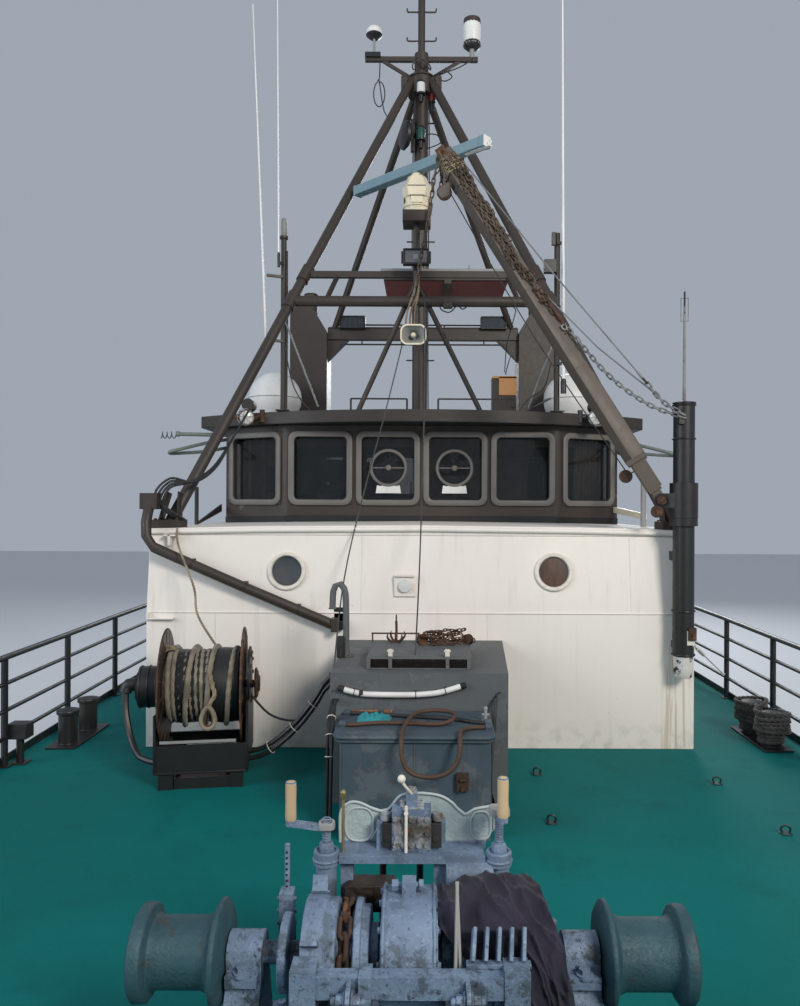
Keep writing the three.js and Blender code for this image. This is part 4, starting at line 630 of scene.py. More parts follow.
# A node's own solid with its loose triangles merged and its hard edges rounded
def refined(node, finish, bevel=0.004, smoothAngle=38):
    source = nodes[node]
    data = source.data.copy()
    work = bmesh.new()
    work.from_mesh(data)
    bmesh.ops.remove_doubles(work, verts=work.verts, dist=0.00005)
    bmesh.ops.dissolve_limit(work, angle_limit=math.radians(0.4), verts=work.verts, edges=work.edges)
    bmesh.ops.triangulate(work, faces=[face for face in work.faces if len(face.verts) > 4])
    bmesh.ops.recalc_face_normals(work, faces=work.faces)
    work.to_mesh(data)
    work.free()
    for layer in [a.name for a in data.attributes if a.domain == "CORNER" and a.name == "custom_normal"]:
        data.attributes.remove(data.attributes[layer])
    return settle(node + "_worked", data, source["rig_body"], finish, bevel, (node,), smoothAngle)


def sideName(side):
    return "port" if side > 0 else "starboard"


# Smooth curve through points, as a list of points
def curved(points, steps=8):
    p = [Vector(q) for q in points]
    out = []
    for i in range(len(p) - 1):
        a, b, c, d = p[max(i - 1, 0)], p[i], p[i + 1], p[min(i + 2, len(p) - 1)]
        for k in range(steps):
            t = k / steps
            out.append(0.5 * ((2 * b) + (c - a) * t + (2 * a - 5 * b + 4 * c - d) * t ** 2
                + (3 * b - a - 3 * c + d) * t ** 3))
    return out + [p[-1]]


# Point in the frame from a place in the picture: pixels across and down, and metres from the camera
def seen(x, y, depth):
    eyeX, eyeY, eyeZ = cameraSet["at"]
    return Vector((eyeX + (x - 424) * depth / 800, eyeY + depth, eyeZ - (y - 505) * depth / 800))


# Geometry trees. Each has named inputs and ends in Realize Instances and Set Material
def newTree(name, inputs):
    tree = bpy.data.node_groups.new(name, "GeometryNodeTree")
    tree.interface.new_socket("Geometry", in_out="INPUT", socket_type="NodeSocketGeometry")
    for label, kind, value in inputs:
        made = tree.interface.new_socket(label, in_out="INPUT", socket_type=kind)
        if value is not None:
            made.default_value = value
    tree.interface.new_socket("Geometry", in_out="OUTPUT", socket_type="NodeSocketGeometry")
    graph = Graph(tree)
    entry = tree.nodes.new("NodeGroupInput")
    return graph, {s.name: Signal(graph, s) for s in entry.outputs if s.name}


def closeTree(graph, geometry, finish, smooth=True):
    shaded = graph.node("GeometryNodeSetShadeSmooth", {}, {"Geometry": geometry, "Shade Smooth": smooth})
    real = graph.node("GeometryNodeRealizeInstances", {}, {0: shaded})
    coloured = graph.node("GeometryNodeSetMaterial", {}, {"Geometry": real, "Material": finish})
    end = graph.tree.nodes.new("NodeGroupOutput")
    graph.tree.links.new(coloured.socket, end.inputs[0])
    return graph.tree


# Round pipe along each run of edges
def pipeTree():
    graph, given = newTree("pipeAlong", [("Radius", "NodeSocketFloat", 0.02), ("Sides", "NodeSocketInt", 12),
                                         ("Finish", "NodeSocketMaterial", None)])
    path = graph.node("GeometryNodeMeshToCurve", {}, {"Mesh": given["Geometry"]})
    ring = graph.node("GeometryNodeCurvePrimitiveCircle", {},
        {"Resolution": given["Sides"], "Radius": given["Radius"]})
    pipe = graph.node("GeometryNodeCurveToMesh", {},
        {"Curve": path, "Profile Curve": ring, "Fill Caps": True})
    return closeTree(graph, pipe, given["Finish"])


# Laid rope: three strands twisted along each run of edges
def ropeTree():
    graph, given = newTree("laidRope", [("Radius", "NodeSocketFloat", 0.012),
        ("Lay", "NodeSocketFloat", 0.09), ("Groove", "NodeSocketFloat", 0.74),
        ("Step", "NodeSocketFloat", 0.012), ("Finish", "NodeSocketMaterial", None)])
    path = graph.node("GeometryNodeMeshToCurve", {}, {"Mesh": given["Geometry"]})
    even = graph.node("GeometryNodeResampleCurve", {}, {"Curve": path})
    sampler = even.socket.node
    if hasattr(sampler, "mode"):
        sampler.mode = "LENGTH"
    graph.tree.links.new(given["Step"].socket, sampler.inputs["Length"])
    along = graph.node("GeometryNodeSplineParameter", {}, {}, "Length")
    turned = graph.node("GeometryNodeSetCurveTilt", {},
        {"Curve": even, "Tilt": along / given["Lay"] * (2 * math.pi)})
    strands = graph.node("GeometryNodeCurveStar", {},
        {"Points": 3, "Inner Radius": given["Radius"] * given["Groove"],
        "Outer Radius": given["Radius"] * 1.05})
    soft = graph.node("GeometryNodeCurveSplineType", {"spline_type": "CATMULL_ROM"}, {"Curve": strands})
    fine = graph.node("GeometryNodeSetSplineResolution", {}, {"Geometry": soft, "Resolution": 2})
    rope = graph.node("GeometryNodeCurveToMesh", {},
        {"Curve": turned, "Profile Curve": fine, "Fill Caps": True})
    return closeTree(graph, rope, given["Finish"])


# Chain: rounded links along each run of edges, every second one on edge
def chainTree():
    graph, given = newTree("linkedChain", [("Pitch", "NodeSocketFloat", 0.05),
        ("Wire", "NodeSocketFloat", 0.008), ("Width", "NodeSocketFloat", 0.045),
        ("Length", "NodeSocketFloat", 0.07), ("Finish", "NodeSocketMaterial", None)])
    path = graph.node("GeometryNodeMeshToCurve", {}, {"Mesh": given["Geometry"]})
    points = graph.node("GeometryNodeCurveToPoints", {"mode": "LENGTH"},
        {"Curve": path, "Length": given["Pitch"]})
    tangent = Signal(graph, points.socket.node.outputs["Tangent"])
    outline = graph.node("GeometryNodeCurvePrimitiveQuadrilateral", {},
        {"Width": given["Length"], "Height": given["Width"]})
    rounded = graph.node("GeometryNodeFilletCurve", {}, {"Curve": outline, "Radius": given["Width"] * 0.49})
    fillet = rounded.socket.node
    if hasattr(fillet, "mode"):
        fillet.mode = "POLY"
    if "Count" in fillet.inputs:
        fillet.inputs["Count"].default_value = 4
    wire = graph.node("GeometryNodeCurvePrimitiveCircle", {}, {"Resolution": 6, "Radius": given["Wire"]})
    link = graph.node("GeometryNodeCurveToMesh", {}, {"Curve": rounded, "Profile Curve": wire})
    aligned = graph.node("FunctionNodeAlignRotationToVector", {"axis": "X"}, {"Vector": tangent})
    number = graph.node("GeometryNodeInputIndex")
    roll = (number % 2) * (math.pi / 2) + 0.4
    twist = graph.node("FunctionNodeAxisAngleToRotation", {}, {"Axis": (1, 0, 0), "Angle": roll})
    facing = graph.node("FunctionNodeRotateRotation", {"rotation_space": "LOCAL"}, {0: aligned, 1: twist})
    links = graph.node("GeometryNodeInstanceOnPoints", {},
        {"Points": points, "Instance": link, "Rotation": facing})
    return closeTree(graph, links, given["Finish"])


# Bolts: a head and its washer on every vertex, standing along the stored direction
def boltTree():
    graph, given = newTree("boltHeads", [("Radius", "NodeSocketFloat", 0.012),
        ("Height", "NodeSocketFloat", 0.01), ("Corners", "NodeSocketInt", 6),
        ("Finish", "NodeSocketMaterial", None)])
    head = graph.node("GeometryNodeMeshCylinder", {},
        {"Vertices": given["Corners"], "Radius": given["Radius"], "Depth": given["Height"] * 2})
    washer = graph.node("GeometryNodeMeshCylinder", {}, {"Vertices": 16, "Radius": given["Radius"] * 1.5,
                                                         "Depth": given["Height"] * 0.5})
    both = graph.node("GeometryNodeJoinGeometry")
    for part in (washer, head):
        graph.tree.links.new(part.socket, both.socket.node.inputs[0])
    facing = graph.node("GeometryNodeInputNamedAttribute", {"data_type": "FLOAT_VECTOR"}, {"Name": "facing"})
    turn = graph.node("FunctionNodeAlignRotationToVector", {"axis": "Z"}, {"Vector": facing})
    placed = graph.node("GeometryNodeInstanceOnPoints", {},
        {"Points": given["Geometry"], "Instance": both, "Rotation": turn})
    return closeTree(graph, placed, given["Finish"], False)


trees = {"pipe": pipeTree(), "rope": ropeTree(), "chain": chainTree(), "bolt": boltTree()}


# Runs a tree on a plain mesh and keeps the result as a plain mesh on one body
def grow(name, tree, verts, edges, body, finish, facing=None, swap=(), slotName=None, **values):
    seed = bpy.data.meshes.new(name + "_path")
    seed.from_pydata([tuple(v) for v in verts], edges, [])
    if facing is not None:
        stored = seed.attributes.new("facing", "FLOAT_VECTOR", "POINT")
        stored.data.foreach_set("vector", [c for v in facing for c in v])
    holder = bpy.data.objects.new(name + "_path", seed)
    bpy.context.scene.collection.objects.link(holder)
    step = holder.modifiers.new("tree", "NODES")
    step.node_group = trees[tree]
    given = {**values, "Finish": finish}
    for item in trees[tree].interface.items_tree:
        if item.item_type == "SOCKET" and item.in_out == "INPUT" and item.name in given:
            step[item.identifier] = given[item.name]
    view = bpy.context.evaluated_depsgraph_get()
    data = bpy.data.meshes.new_from_object(holder.evaluated_get(view), depsgraph=view)
    holder.modifiers.clear()
    bpy.data.objects.remove(holder)
    data.name = name
    made = bpy.data.objects.new(name, data)
    bpy.context.scene.collection.objects.link(made)
    if not data.materials:
        data.materials.append(finish)
    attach(made, body)
    if swap:
        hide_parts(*swap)
    return made


# Joins several runs of points into one set of vertices and edges
def runs(paths):
    verts, edges = [], []
    for path in paths:
        start = len(verts)
        verts += list(path)
        edges += [(start + i, start + i + 1) for i in range(len(path) - 1)]
    return verts, edges


def pipes(name, paths, radius, body, finish, sides=12, **more):
    return grow(name, "pipe", *runs(paths), body, finish, Radius=radius, Sides=sides, **more)


def ropes(name, paths, radius, body, finish, lay=None, step=None, **more):
    return grow(name, "rope", *runs(paths), body, finish, Radius=radius, Lay=lay or radius * 9,
                Step=step or radius * 0.9, **more)


def chains(name, paths, body, finish, pitch=0.05, wire=0.007, width=0.036, length=0.064):
    return grow(name, "chain", *runs(paths), body, finish, Pitch=pitch, Wire=wire, Width=width, Length=length)


def bolts(name, places, body, finish, radius=0.012, height=0.01, corners=6):
    points = [p for p, _ in places]
    return grow(name, "bolt", points, [], body, finish, facing=[d for _, d in places], Radius=radius,
        Height=height, Corners=corners)


print("trees built")

# The solids themselves, with merged faces, softened edges and their paint
plainNodes = {
    "hull": (hullFinish, 0.0),
    "deck": (deckFinish, 0.0),
    "rubbing_strake": (rubberFinish, 0.012),
    "bulwark": (hullFinish, 0.006),
    "deckhouse_front": (whiteFinish, 0.006),
    "deckhouse_side_port": (whiteFinish, 0.004),
    "deckhouse_side_starboard": (whiteFinish, 0.004),
    "deckhouse_back": (whiteFinish, 0.004),
    "deckhouse_top": (whiteFinish, 0.008),
    "side_door_port": (whiteFinish, 0.004),
    "side_door_starboard": (whiteFinish, 0.004),
    "wheelhouse_floor": (woodFinish, 0.006),
    "wheelhouse_front": (paints["brown"], 0.004),
    "wheelhouse_side_port": (paints["brown"], 0.004),
    "wheelhouse_side_starboard": (paints["brown"], 0.004),
    "wheelhouse_back": (paints["brown"], 0.004),
    "wheelhouse_roof": (paints["brownRoof"], 0.008),
    "trunk": (trunkFinish, 0.008),
    "trunk_lid": (trunkFinish, 0.008),
    "vent_pipe": (paints["brown"], 0.004),
    "derrick_post": (paints["black"], 0.004),
    "derrick_collar": (paints["black"], 0.004),
    "derrick_boom": (paints["boom"], 0.004),
    "mast": (paints["brown"], 0.003),
    "tripod_leg_port": (paints["brown"], 0.004),
    "tripod_leg_starboard": (paints["brown"], 0.004),
    "mast_frame": (paints["brown"], 0.004),
    "radar_pedestal": (paints["cream"], 0.01),
    "radar_scanner": (scannerFinish, 0.012),
    "exhaust_casing_port": (paints["brown"], 0.01),
    "exhaust_casing_starboard": (paints["brown"], 0.01),
    "lamp_beam": (paints["brown"], 0.004),
    "reel_frame": (paints["black"], 0.005),
    "windlass_frame": (silverFinish, 0.008),
    "trawl_winch_frame": (trunkFinish, 0.008),
    "hatch_coaming": (whiteFinish, 0.006),
    "hatch_lid": (trunkFinish, 0.006),
    "stern_gantry": (paints["brown"], 0.01),
    "net_drum_stands": (trunkFinish, 0.008),
    "rudder": (hullFinish, 0.01),
    "propeller": (bronzeFinish, 0.006),
    "anchor": (paints["rusty"], 0.012),
    "bitts_port": (paints["black"], 0.004),
    "bitts_starboard": (paints["black"], 0.004),
    "satellite_dome_port": (domeFinish, 0.0),
    "satellite_dome_starboard": (domeFinish, 0.0),
    "trawl_winch_drums": (drumFinish, 0.004),
    "net_drum": (paints["rusty"], 0.004),
    "windlass_shaft": (shaftFinish, 0.004),
    "reel_drum": (paints["black"], 0.004),
}
for name, (finish, softness) in plainNodes.items():
    refined(name, finish, softness, 50 if "dome" in name else 38)
nodes["wheelhouse_glass"].data.materials.clear()
nodes["wheelhouse_glass"].data.materials.append(paneFinish)


# Moves the points of a finished mesh: the callback takes a place and gives the new one
def nudge(name, move):
    data = bpy.data.objects[name].data
    for point in data.vertices:
        point.co = move(point.co.copy())
    data.update()


# The legs are thick in the solids and are drawn in here. The mast's shoulder is lowered, the aerial thinned
legs = {"foot": Vector((2.40, -3.56, 4.06)), "apex": Vector((0.10, -0.46, 9.95)), "ease": 0.76}


def legLine(side, z):
    foot, apex = legs["foot"], legs["apex"]
    t = (z - foot.z) / (apex.z - foot.z)
    low, high = side * foot.x, side * 0.13 - 0.03
    return Vector((low + (high - low) * t, foot.y + (apex.y - foot.y) * t, z))


def easedLeg(side):
    along = (legLine(side, 9.95) - legLine(side, 4.06)).normalized()
    start = legLine(side, 4.06)

    def move(p):
        axis = start + along * (p - start).dot(along)
        off = p - axis
        return axis + off * legs["ease"] if 0.05 < off.length < 0.082 else p
    return move


nudge("tripod_leg_port_worked", easedLeg(1))
nudge("tripod_leg_starboard_worked", easedLeg(-1))


def lowerShoulder(p):
    near = 10.6 < p.z < 10.76 and math.hypot(p.x + 0.03, p.y + 0.4) < 0.12
    return p - Vector((0, 0, 0.37)) if near else p


def thinAerial(p):
    near = p.z > 5.2 and math.hypot(p.x - 2.39, p.y + 3.93) < 0.03
    return Vector((2.39 + (p.x - 2.39) * 0.4, -3.93 + (p.y + 3.93) * 0.4, p.z)) if near else p


nudge("mast_worked", lowerShoulder)
nudge("derrick_post_worked", thinAerial)
print("solids dressed")

# Deckhouse face: it leans back above the crease
house = {"front": -3.80, "crease": 3.25, "top": 3.96, "back": 0.0934, "lean": 0.1308}


def onFace(x, z, off=0.0):
    up = max(0.0, (z - house["crease"]) / (house["top"] - house["crease"]))
    lean = house["lean"] if up > 0 else 0.0
    return Vector((x, house["front"] + house["back"] * up - off * math.cos(lean), z + off * math.sin(lean)))


darkTeak = wood("portholeTeak", (0.080, 0.034, 0.018), (0.035, 0.015, 0.009))
faceOut = Vector((0, -math.cos(house["lean"]), math.sin(house["lean"])))
portholes = {"at": (-1.245, 1.24), "z": 3.63, "ringOfBolts": 0.158, "bolts": 8}
for side, x in zip(("starboard", "port"), portholes["at"]):
    centre = onFace(x, portholes["z"])
    rim = Shape().turned([(0.138, -0.03), (0.138, 0.010), (0.146, 0.024), (0.170, 0.026), (0.180, 0.018),
        (0.180, -0.004), (0.160, -0.03)], centre, faceOut, 40)
    rim.piece("porthole_rim_" + side, "root", paints["warmWhite"], 0.0015)
    Shape().turned([(0, -0.012), (0.137, -0.012), (0.137, -0.002), (0, 0.003)], centre, faceOut, 40).piece(
        "porthole_pane_" + side, "root", warmPane if side == "starboard" else darkTeak)
    places = []
    for t in (k * math.pi / 4 + 0.2 for k in range(portholes["bolts"])):
        out = Vector((math.cos(t), math.sin(t) * math.sin(house["lean"]),
            math.sin(t) * math.cos(house["lean"])))
        places.append((centre + faceOut * 0.026 + out * portholes["ringOfBolts"], faceOut))
    bolts("porthole_bolts_" + side, places, "root", paints["warmWhite"], 0.007, 0.006)
# Curtain behind the port porthole; behind the other a black sheet, painted shade for the dark inside
curtain = Shape()
for k in range(9):
    x = 1.06 + 0.045 * k
    curtain.tube([(x, -3.66, 3.40), (x + 0.006 * math.sin(k), -3.66, 3.88)], 0.026, 8)
curtain.piece("porthole_curtain", "root", paints["orange"])
Shape().block((-1.5, -3.62, 3.35), (-0.99, -3.60, 3.9)).piece("porthole_backing", "root", paints["black"],
    0.002)

facePlates = Shape()
facePlates.block((-0.245, -3.80, 3.40), (-0.045, -3.752, 3.60))
facePlates.block((-0.235, -3.825, 3.585), (-0.055, -3.76, 3.60))
facePlates.piece("face_lamp_plate", "root", whiteFinish, 0.006)
Shape().turned([(0, 0), (0.055, 0), (0.062, 0.012), (0.055, 0.03), (0, 0.036)], (-0.145, -3.80, 3.50),
    (0, -1, 0), 24).piece("face_lamp_lens", "root", clearLens)
brackets = Shape()
brackets.block((-2.52, -3.845, 3.185), (-2.27, -3.79, 3.20))
brackets.block((-2.52, -3.845, 3.20), (-2.50, -3.79, 3.245))
brackets.block((-2.345, -3.80, 3.86), (-2.32, -3.70, 3.965))
brackets.block((-2.39, -3.80, 3.95), (-2.27, -3.70, 3.965))
brackets.block((-2.345, -3.765, 3.80), (-2.325, -3.72, 3.87))
brackets.piece("face_brackets", "root", whiteFinish, 0.004)
seams = Shape()
seams.rod((-2.53, -3.802, 3.25), (2.53, -3.802, 3.25), 0.007, 8)
for x in (-0.55, 1.95):
    seams.tube([onFace(x, z, 0.001) for z in (3.25, 3.4, 3.6, 3.8, 3.95)], 0.004, 6)
for x in (-1.9, 0.62):
    seams.rod((x, -3.801, 2.05), (x, -3.801, 3.24), 0.004, 6)
seams.piece("face_weld_seams", "root", whiteFinish)
# Rounded edge bar along the top of the face and down the sides of the house top
edgeBar = Shape()
edgeBar.tube([(-2.545, 4.15, 3.985), (-2.545, -3.70, 3.985)], 0.022, 10)
edgeBar.tube([(2.545, 4.15, 3.985), (2.545, -3.70, 3.985)], 0.022, 10)
edgeBar.tube([(x, -3.715, z) for x, z in ((-2.54, 3.985), (-1.5, 4.008), (0, 4.022), (1.5, 4.008),
    (2.54, 3.985))], 0.024, 10)
edgeBar.piece("house_top_edge", "root", whiteFinish)
# Skirt where the wheelhouse stands on the house top. It takes the roof paint and lies below its shade height,
# so it is painted near black as shade
skirt = Shape()
skirt.bar((-1.60, -1.758, 4.085), (1.60, -1.758, 4.085), 0.018, 0.07)
for s in (-1, 1):
    skirt.bar((s * 1.60, -1.758, 4.08), (s * 2.42, -1.308, 4.06), 0.018, 0.07)
skirt.piece("wheelhouse_skirt", "root", paints["brownRoof"], 0.004)
print("deckhouse face done")

# Wheelhouse windows: centre, direction across, and clear half width
wheelhouse = {"plane": -1.766, "z": 4.68, "frame": 0.064, "glassZ": 0.372}
windowRows = [
    ("w2", (-1.195, wheelhouse["plane"]), (1, 0), 0.312), ("w3", (-0.398, wheelhouse["plane"]), (1, 0), 0.312),
    ("w4", (0.398, wheelhouse["plane"]), (1, 0), 0.312), ("w5", (1.195, wheelhouse["plane"]), (1, 0), 0.312),
    ("w1", (-2.018, -1.5393), (0.8767, -0.4810), 0.332), ("w6", (2.018, -1.5393), (0.8767, 0.4810), 0.332)]
frameLit = paint("windowFrame", (0.155, 0.145, 0.132), (0.10, 0.094, 0.085), (0.10, 0.08, 0.06), 0.74, 0.5,
    0.5, 0.2, 2)
for name, (x, y), (ux, uy), half in windowRows:
    across, centre = Vector((ux, uy, 0)), Vector((x, y, wheelhouse["z"]))
    outer = (half + wheelhouse["frame"], wheelhouse["glassZ"] + wheelhouse["frame"])
    rim = Shape().frame(centre, across, (0, 0, 1), outer, wheelhouse["frame"], 0.022, 0.105, 7)
    rim.piece("window_frame_" + name, "root", frameLit, 0.0)
    Shape().frame(centre - Vector((uy, -ux, 0)) * 0.022, across, (0, 0, 1), (half + 0.006, 0.378), 0.016,
        0.018, 0.06, 6).piece("window_seal_" + name, "root", rubberFinish)


# Adds an upright pane 8 mm thick: half its width and height, its middle and the direction across it
def pane(shape, half, at, across):
    wide, high = half
    outline = [(-wide, -high), (wide, -high), (wide, high), (-wide, high)]
    return shape.slab(outline, at, across, (0, 0, 1), 0.008)


for side in (-1, 1):
    for k, y in enumerate((-0.73, 0.22)):
        end = "%s_%d" % (sideName(side), k)
        rim = Shape().frame((side * 2.436, y, wheelhouse["z"]), (0, side, 0), (0, 0, 1), (0.40, 0.43), 0.06,
            0.02, 0.10, 6)
        rim.piece("side_window_frame_" + end, "root", frameLit)
        sheet = pane(Shape(), (0.36, 0.39), (side * 2.385, y, wheelhouse["z"]), (0, side, 0))
        sheet.piece("side_window_pane_" + end, "root", paneFinish)
for k, x in enumerate((-1.5, -0.5, 0.5, 1.5)):
    rim = Shape().frame((x, 1.202, 4.70), (-1, 0, 0), (0, 0, 1), (0.41, 0.33), 0.05, 0.016, 0.08, 5)
    rim.piece("back_window_frame_%d" % k, "root", frameLit)
    sheet = pane(Shape(), (0.375, 0.295), (x, 1.17, 4.70), (-1, 0, 0))
    sheet.piece("back_window_pane_%d" % k, "root", paneFinish)

# Clear view screens in the two middle windows
for name, x in (("starboard", -0.392), ("port", 0.388)):
    centre = Vector((x, -1.735, 4.687))
    screen = Shape()
    screen.turned([(0.186, 0.0), (0.186, 0.022), (0.194, 0.034), (0.214, 0.034), (0.224, 0.022),
        (0.224, 0.0)], centre, (0, -1, 0), 48)
    screen.turned([(0, 0.004), (0.03, 0.004), (0.036, 0.016), (0.036, 0.040), (0.024, 0.054), (0, 0.058)],
        centre, (0, -1, 0), 24)
    screen.bar(centre + Vector((-0.186, -0.012, 0)), centre + Vector((0.186, -0.012, 0)), 0.010, 0.014)
    screen.piece("clear_view_screen_" + name, "root", frameLit, 0.002)
    mount = Shape().slab([(-0.15, -0.30), (0.15, -0.30), (0.135, -0.205), (0.095, -0.215), (0.04, -0.20),
        (-0.04, -0.20), (-0.095, -0.215), (-0.135, -0.205)], centre + Vector((0, -0.004, 0)), (1, 0, 0),
        (0, 0, 1), 0.02)
    mount.piece("clear_view_mount_" + name, "root", pipeWhite, 0.003)
    Shape().slab([(-0.18, -0.02), (-0.06, -0.055), (-0.05, 0.03), (-0.17, 0.028)],
        centre + Vector((0, 0.004, -0.005)), (1, 0, 0), (0, 0, 1), 0.006).piece("clear_view_motor_" + name,
        "root", purpleCloth)
    Shape().turned([(0, 0), (0.187, 0), (0.187, 0.006), (0, 0.006)], centre, (0, -1, 0), 40).piece(
        "clear_view_pane_" + name, "root", paneFinish)

# Inside of the wheelhouse: linings, console instruments, chair, wheel and curtains
inside = Shape()
inside.block((-2.33, 1.08, 3.16), (-0.62, 1.12, 4.36)).block((-2.33, -1.2, 5.14), (2.33, 1.1, 5.17))
inside.block((-0.55, 1.08, 3.16), (2.33, 1.12, 4.36))
inside.piece("wheelhouse_lining", "root", ceilingFinish, 0.003)
hood = Shape().slab([(-1.62, 5.15), (-1.05, 5.15), (-0.72, 4.90), (-0.66, 4.90), (-1.0, 5.165),
    (-1.62, 5.17)], (-0.05, 0, 0), (0, 1, 0), (0, 0, 1), 1.5)
hood.piece("overhead_console", "root", ceilingFinish, 0.004)
creamPanel = Shape()
creamPanel.block((0.02, 0.55, 4.30), (1.55, 0.60, 5.10)).block((0.05, 0.50, 4.66), (1.50, 0.56, 4.69))
creamPanel.block((0.62, 0.52, 4.32), (0.64, 0.56, 5.08))
creamPanel.piece("chart_room_panel", "root", paints["cream"], 0.004)
woodwork = Shape()
woodwork.block((-2.30, -0.6, 4.2), (-2.26, 1.0, 5.1)).block((-2.05, -0.95, 4.15), (-2.0, -0.80, 5.1))
woodwork.block((-1.44, -1.60, 4.205), (1.44, -1.05, 4.225)).block((-1.4, 0.9, 4.2), (-0.7, 1.05, 4.9))
woodwork.block((-1.95, -0.55, 4.20), (-1.70, -0.50, 4.50))
woodwork.piece("wheelhouse_woodwork", "root", woodFinish, 0.004)
Shape().block((-2.02, -0.72, 4.15), (-1.86, -0.70, 5.05)).piece("mustard_chart", "root", paints["orange"],
    0.003)
equipment = Shape()
equipment.block((-1.42, -0.35, 4.30), (-1.12, -0.05, 4.52)).block((-1.42, -0.35, 4.56), (-1.1, -0.05, 4.86))
equipment.block((-1.06, -0.35, 4.36), (-0.80, -0.05, 4.80))
equipment.block((-1.30, -1.42, 4.22), (-0.98, -1.20, 4.40))
equipment.block((-0.93, -1.42, 4.22), (-0.62, -1.20, 4.42)).block((0.42, -1.35, 4.22), (0.60, -1.2, 4.36))
equipment.block((-2.0, -1.0, 4.40), (-1.72, -0.8, 4.72)).block((-1.70, -0.9, 3.9), (-1.62, -0.82, 4.4))
equipment.piece("wheelhouse_instruments", "root", screenFinish, 0.008)
faces = Shape()
faces.block((-1.40, -0.356, 4.32), (-1.14, -0.35, 4.50)).block((-1.40, -0.356, 4.58), (-1.12, -0.35, 4.84))
faces.block((-1.28, -1.426, 4.235), (-1.0, -1.42, 4.385))
faces.piece("wheelhouse_screens", "root", plastic("screenFace", (0.03, 0.05, 0.06), (0.02, 0.03, 0.035),
    0.12), 0.001)
chair = Shape()
chair.slab(roundedOutline((0.24, 0.34), 0.1, 5), (-0.62, -0.20, 4.42), (1, 0, 0), (0, 0.2, 0.98), 0.10)
chair.slab(roundedOutline((0.24, 0.24), 0.08, 5), (-0.62, -0.46, 4.02), (1, 0, 0), (0, 1, 0), 0.10)
chair.rod((-0.62, -0.44, 3.16), (-0.62, -0.44, 4.05), 0.04, 12)
chair.piece("helmsman_chair", "root", rubberFinish, 0.02)
Shape().ringTube((0.30, -0.98, 4.18), (0, -0.9, 0.42), 0.22, 0.016, 36, 10).piece("steering_wheel", "root",
    woodFinish)
drape = Shape()
for k in range(7):
    drape.tube([(2.16 - 0.045 * k, -1.18 - 0.03 * k, 4.26), (2.165 - 0.045 * k, -1.17 - 0.03 * k, 5.12)],
        0.028, 8)
drape.piece("wheelhouse_curtain", "root", cloth("curtainBrown", (0.20, 0.135, 0.09), (0.11, 0.07, 0.05), 500))
print("wheelhouse windows and inside done")

# Searchlights on the roof edge, with a clamp and guard wires
for side, x, z in ((-1, -2.045, 5.262), (1, 2.03, 5.272)):
    name = sideName(side)
    lamp = Shape()
    lamp.turned([(0, 0.10), (0.035, 0.10), (0.075, 0.05), (0.088, -0.02), (0.092, -0.06), (0.086, -0.07),
        (0.07, -0.055), (0, -0.05)], (x, -1.86, z), (0.25 * side, 1, 0.1), 28)
    lamp.bar((x + 0.10 * side, -1.79, z + 0.06), (x - 0.02 * side, -1.80, z + 0.10), 0.03, 0.03)
    lamp.bar((x - side * 0.12, -1.83, z), (x + side * 0.16, -1.83, z), 0.02, 0.035)
    lamp.rod((x - side * 0.17, -1.80, z - 0.05), (x - side * 0.17, -1.80, z + 0.10), 0.03, 12)
    lamp.rod((x - side * 0.24, -1.80, z + 0.02), (x - side * 0.10, -1.80, z + 0.02), 0.022, 12)
    lamp.piece("searchlight_" + name, "root", paints["rusty"] if side < 0 else paints["black"], 0.004)
    Shape().turned([(0, -0.062), (0.082, -0.062), (0.07, -0.085), (0.035, -0.10), (0, -0.104)], (x, -1.86, z),
                   (0.25 * side, 1, 0.1), 28).piece("searchlight_lens_" + name, "root", clearLens)
    guard = Shape()
    for k in range(4):
        t = k * math.pi / 4
        arc = []
        for a in (j * math.pi / 8 for j in range(9)):
            off = (math.cos(t) * 0.095 * math.cos(a), -0.065 * math.sin(a), math.sin(t) * 0.095 * math.cos(a))
            arc.append(Vector((x, -1.93, z)) + Vector(off))
        guard.tube(arc, 0.0035, 6)
    guard.ringTube((x, -1.93, z), (0, 1, 0), 0.095, 0.004, 28, 6)
    guard.piece("searchlight_guard_" + name, "root", paints["lightGrey"])

# Side hoops and rod holder at the corners of the wheelhouse, posts and rail on the house top
for side in (-1, 1):
    name = sideName(side)
    hoop = curved([(side * 2.40, -1.20, 5.06), (side * 2.60, -1.45, 5.00), (side * 2.86, -1.72, 4.90),
        (side * 2.95, -1.78, 4.87), (side * 2.98, -1.72, 4.85), (side * 2.90, -1.60, 4.86),
        (side * 2.65, -1.35, 4.90), (side * 2.40, -1.05, 4.98)], 6)
    Shape().tube(hoop, 0.021, 10).piece("side_hoop_" + name, "root", paints["green"])
rodHolder = Shape().rod((-2.40, -1.22, 5.11), (-2.98, -1.42, 5.105), 0.024, 12)
rodHolder.rod((-2.96, -1.42, 5.105), (-3.0, -1.43, 5.105), 0.034, 12)
rodHolder.piece("rod_holder", "root", paints["green"], 0.002)
coil = [Vector((-3.0 - 0.008 * k, -1.43, 5.09)) + Vector((0, 0.035 * math.sin(k * 0.9),
    0.04 * math.cos(k * 0.9))) for k in range(25)]
Shape().tube(coil, 0.006, 6).piece("holder_spring", "root", paints["black"])
stanchion = Shape().rod((2.47, -2.30, 4.02), (2.47, -2.30, 4.78), 0.030, 14)
stanchion.ball((2.47, -2.30, 4.79), 0.042, (1, 1, 0.8), 16)
stanchion.turned([(0.03, 0), (0.07, 0), (0.07, 0.012), (0.03, 0.02)], (2.47, -2.30, 4.005), (0, 0, 1), 16)
stanchion.piece("house_top_stanchion", "root", paints["lightGrey"])
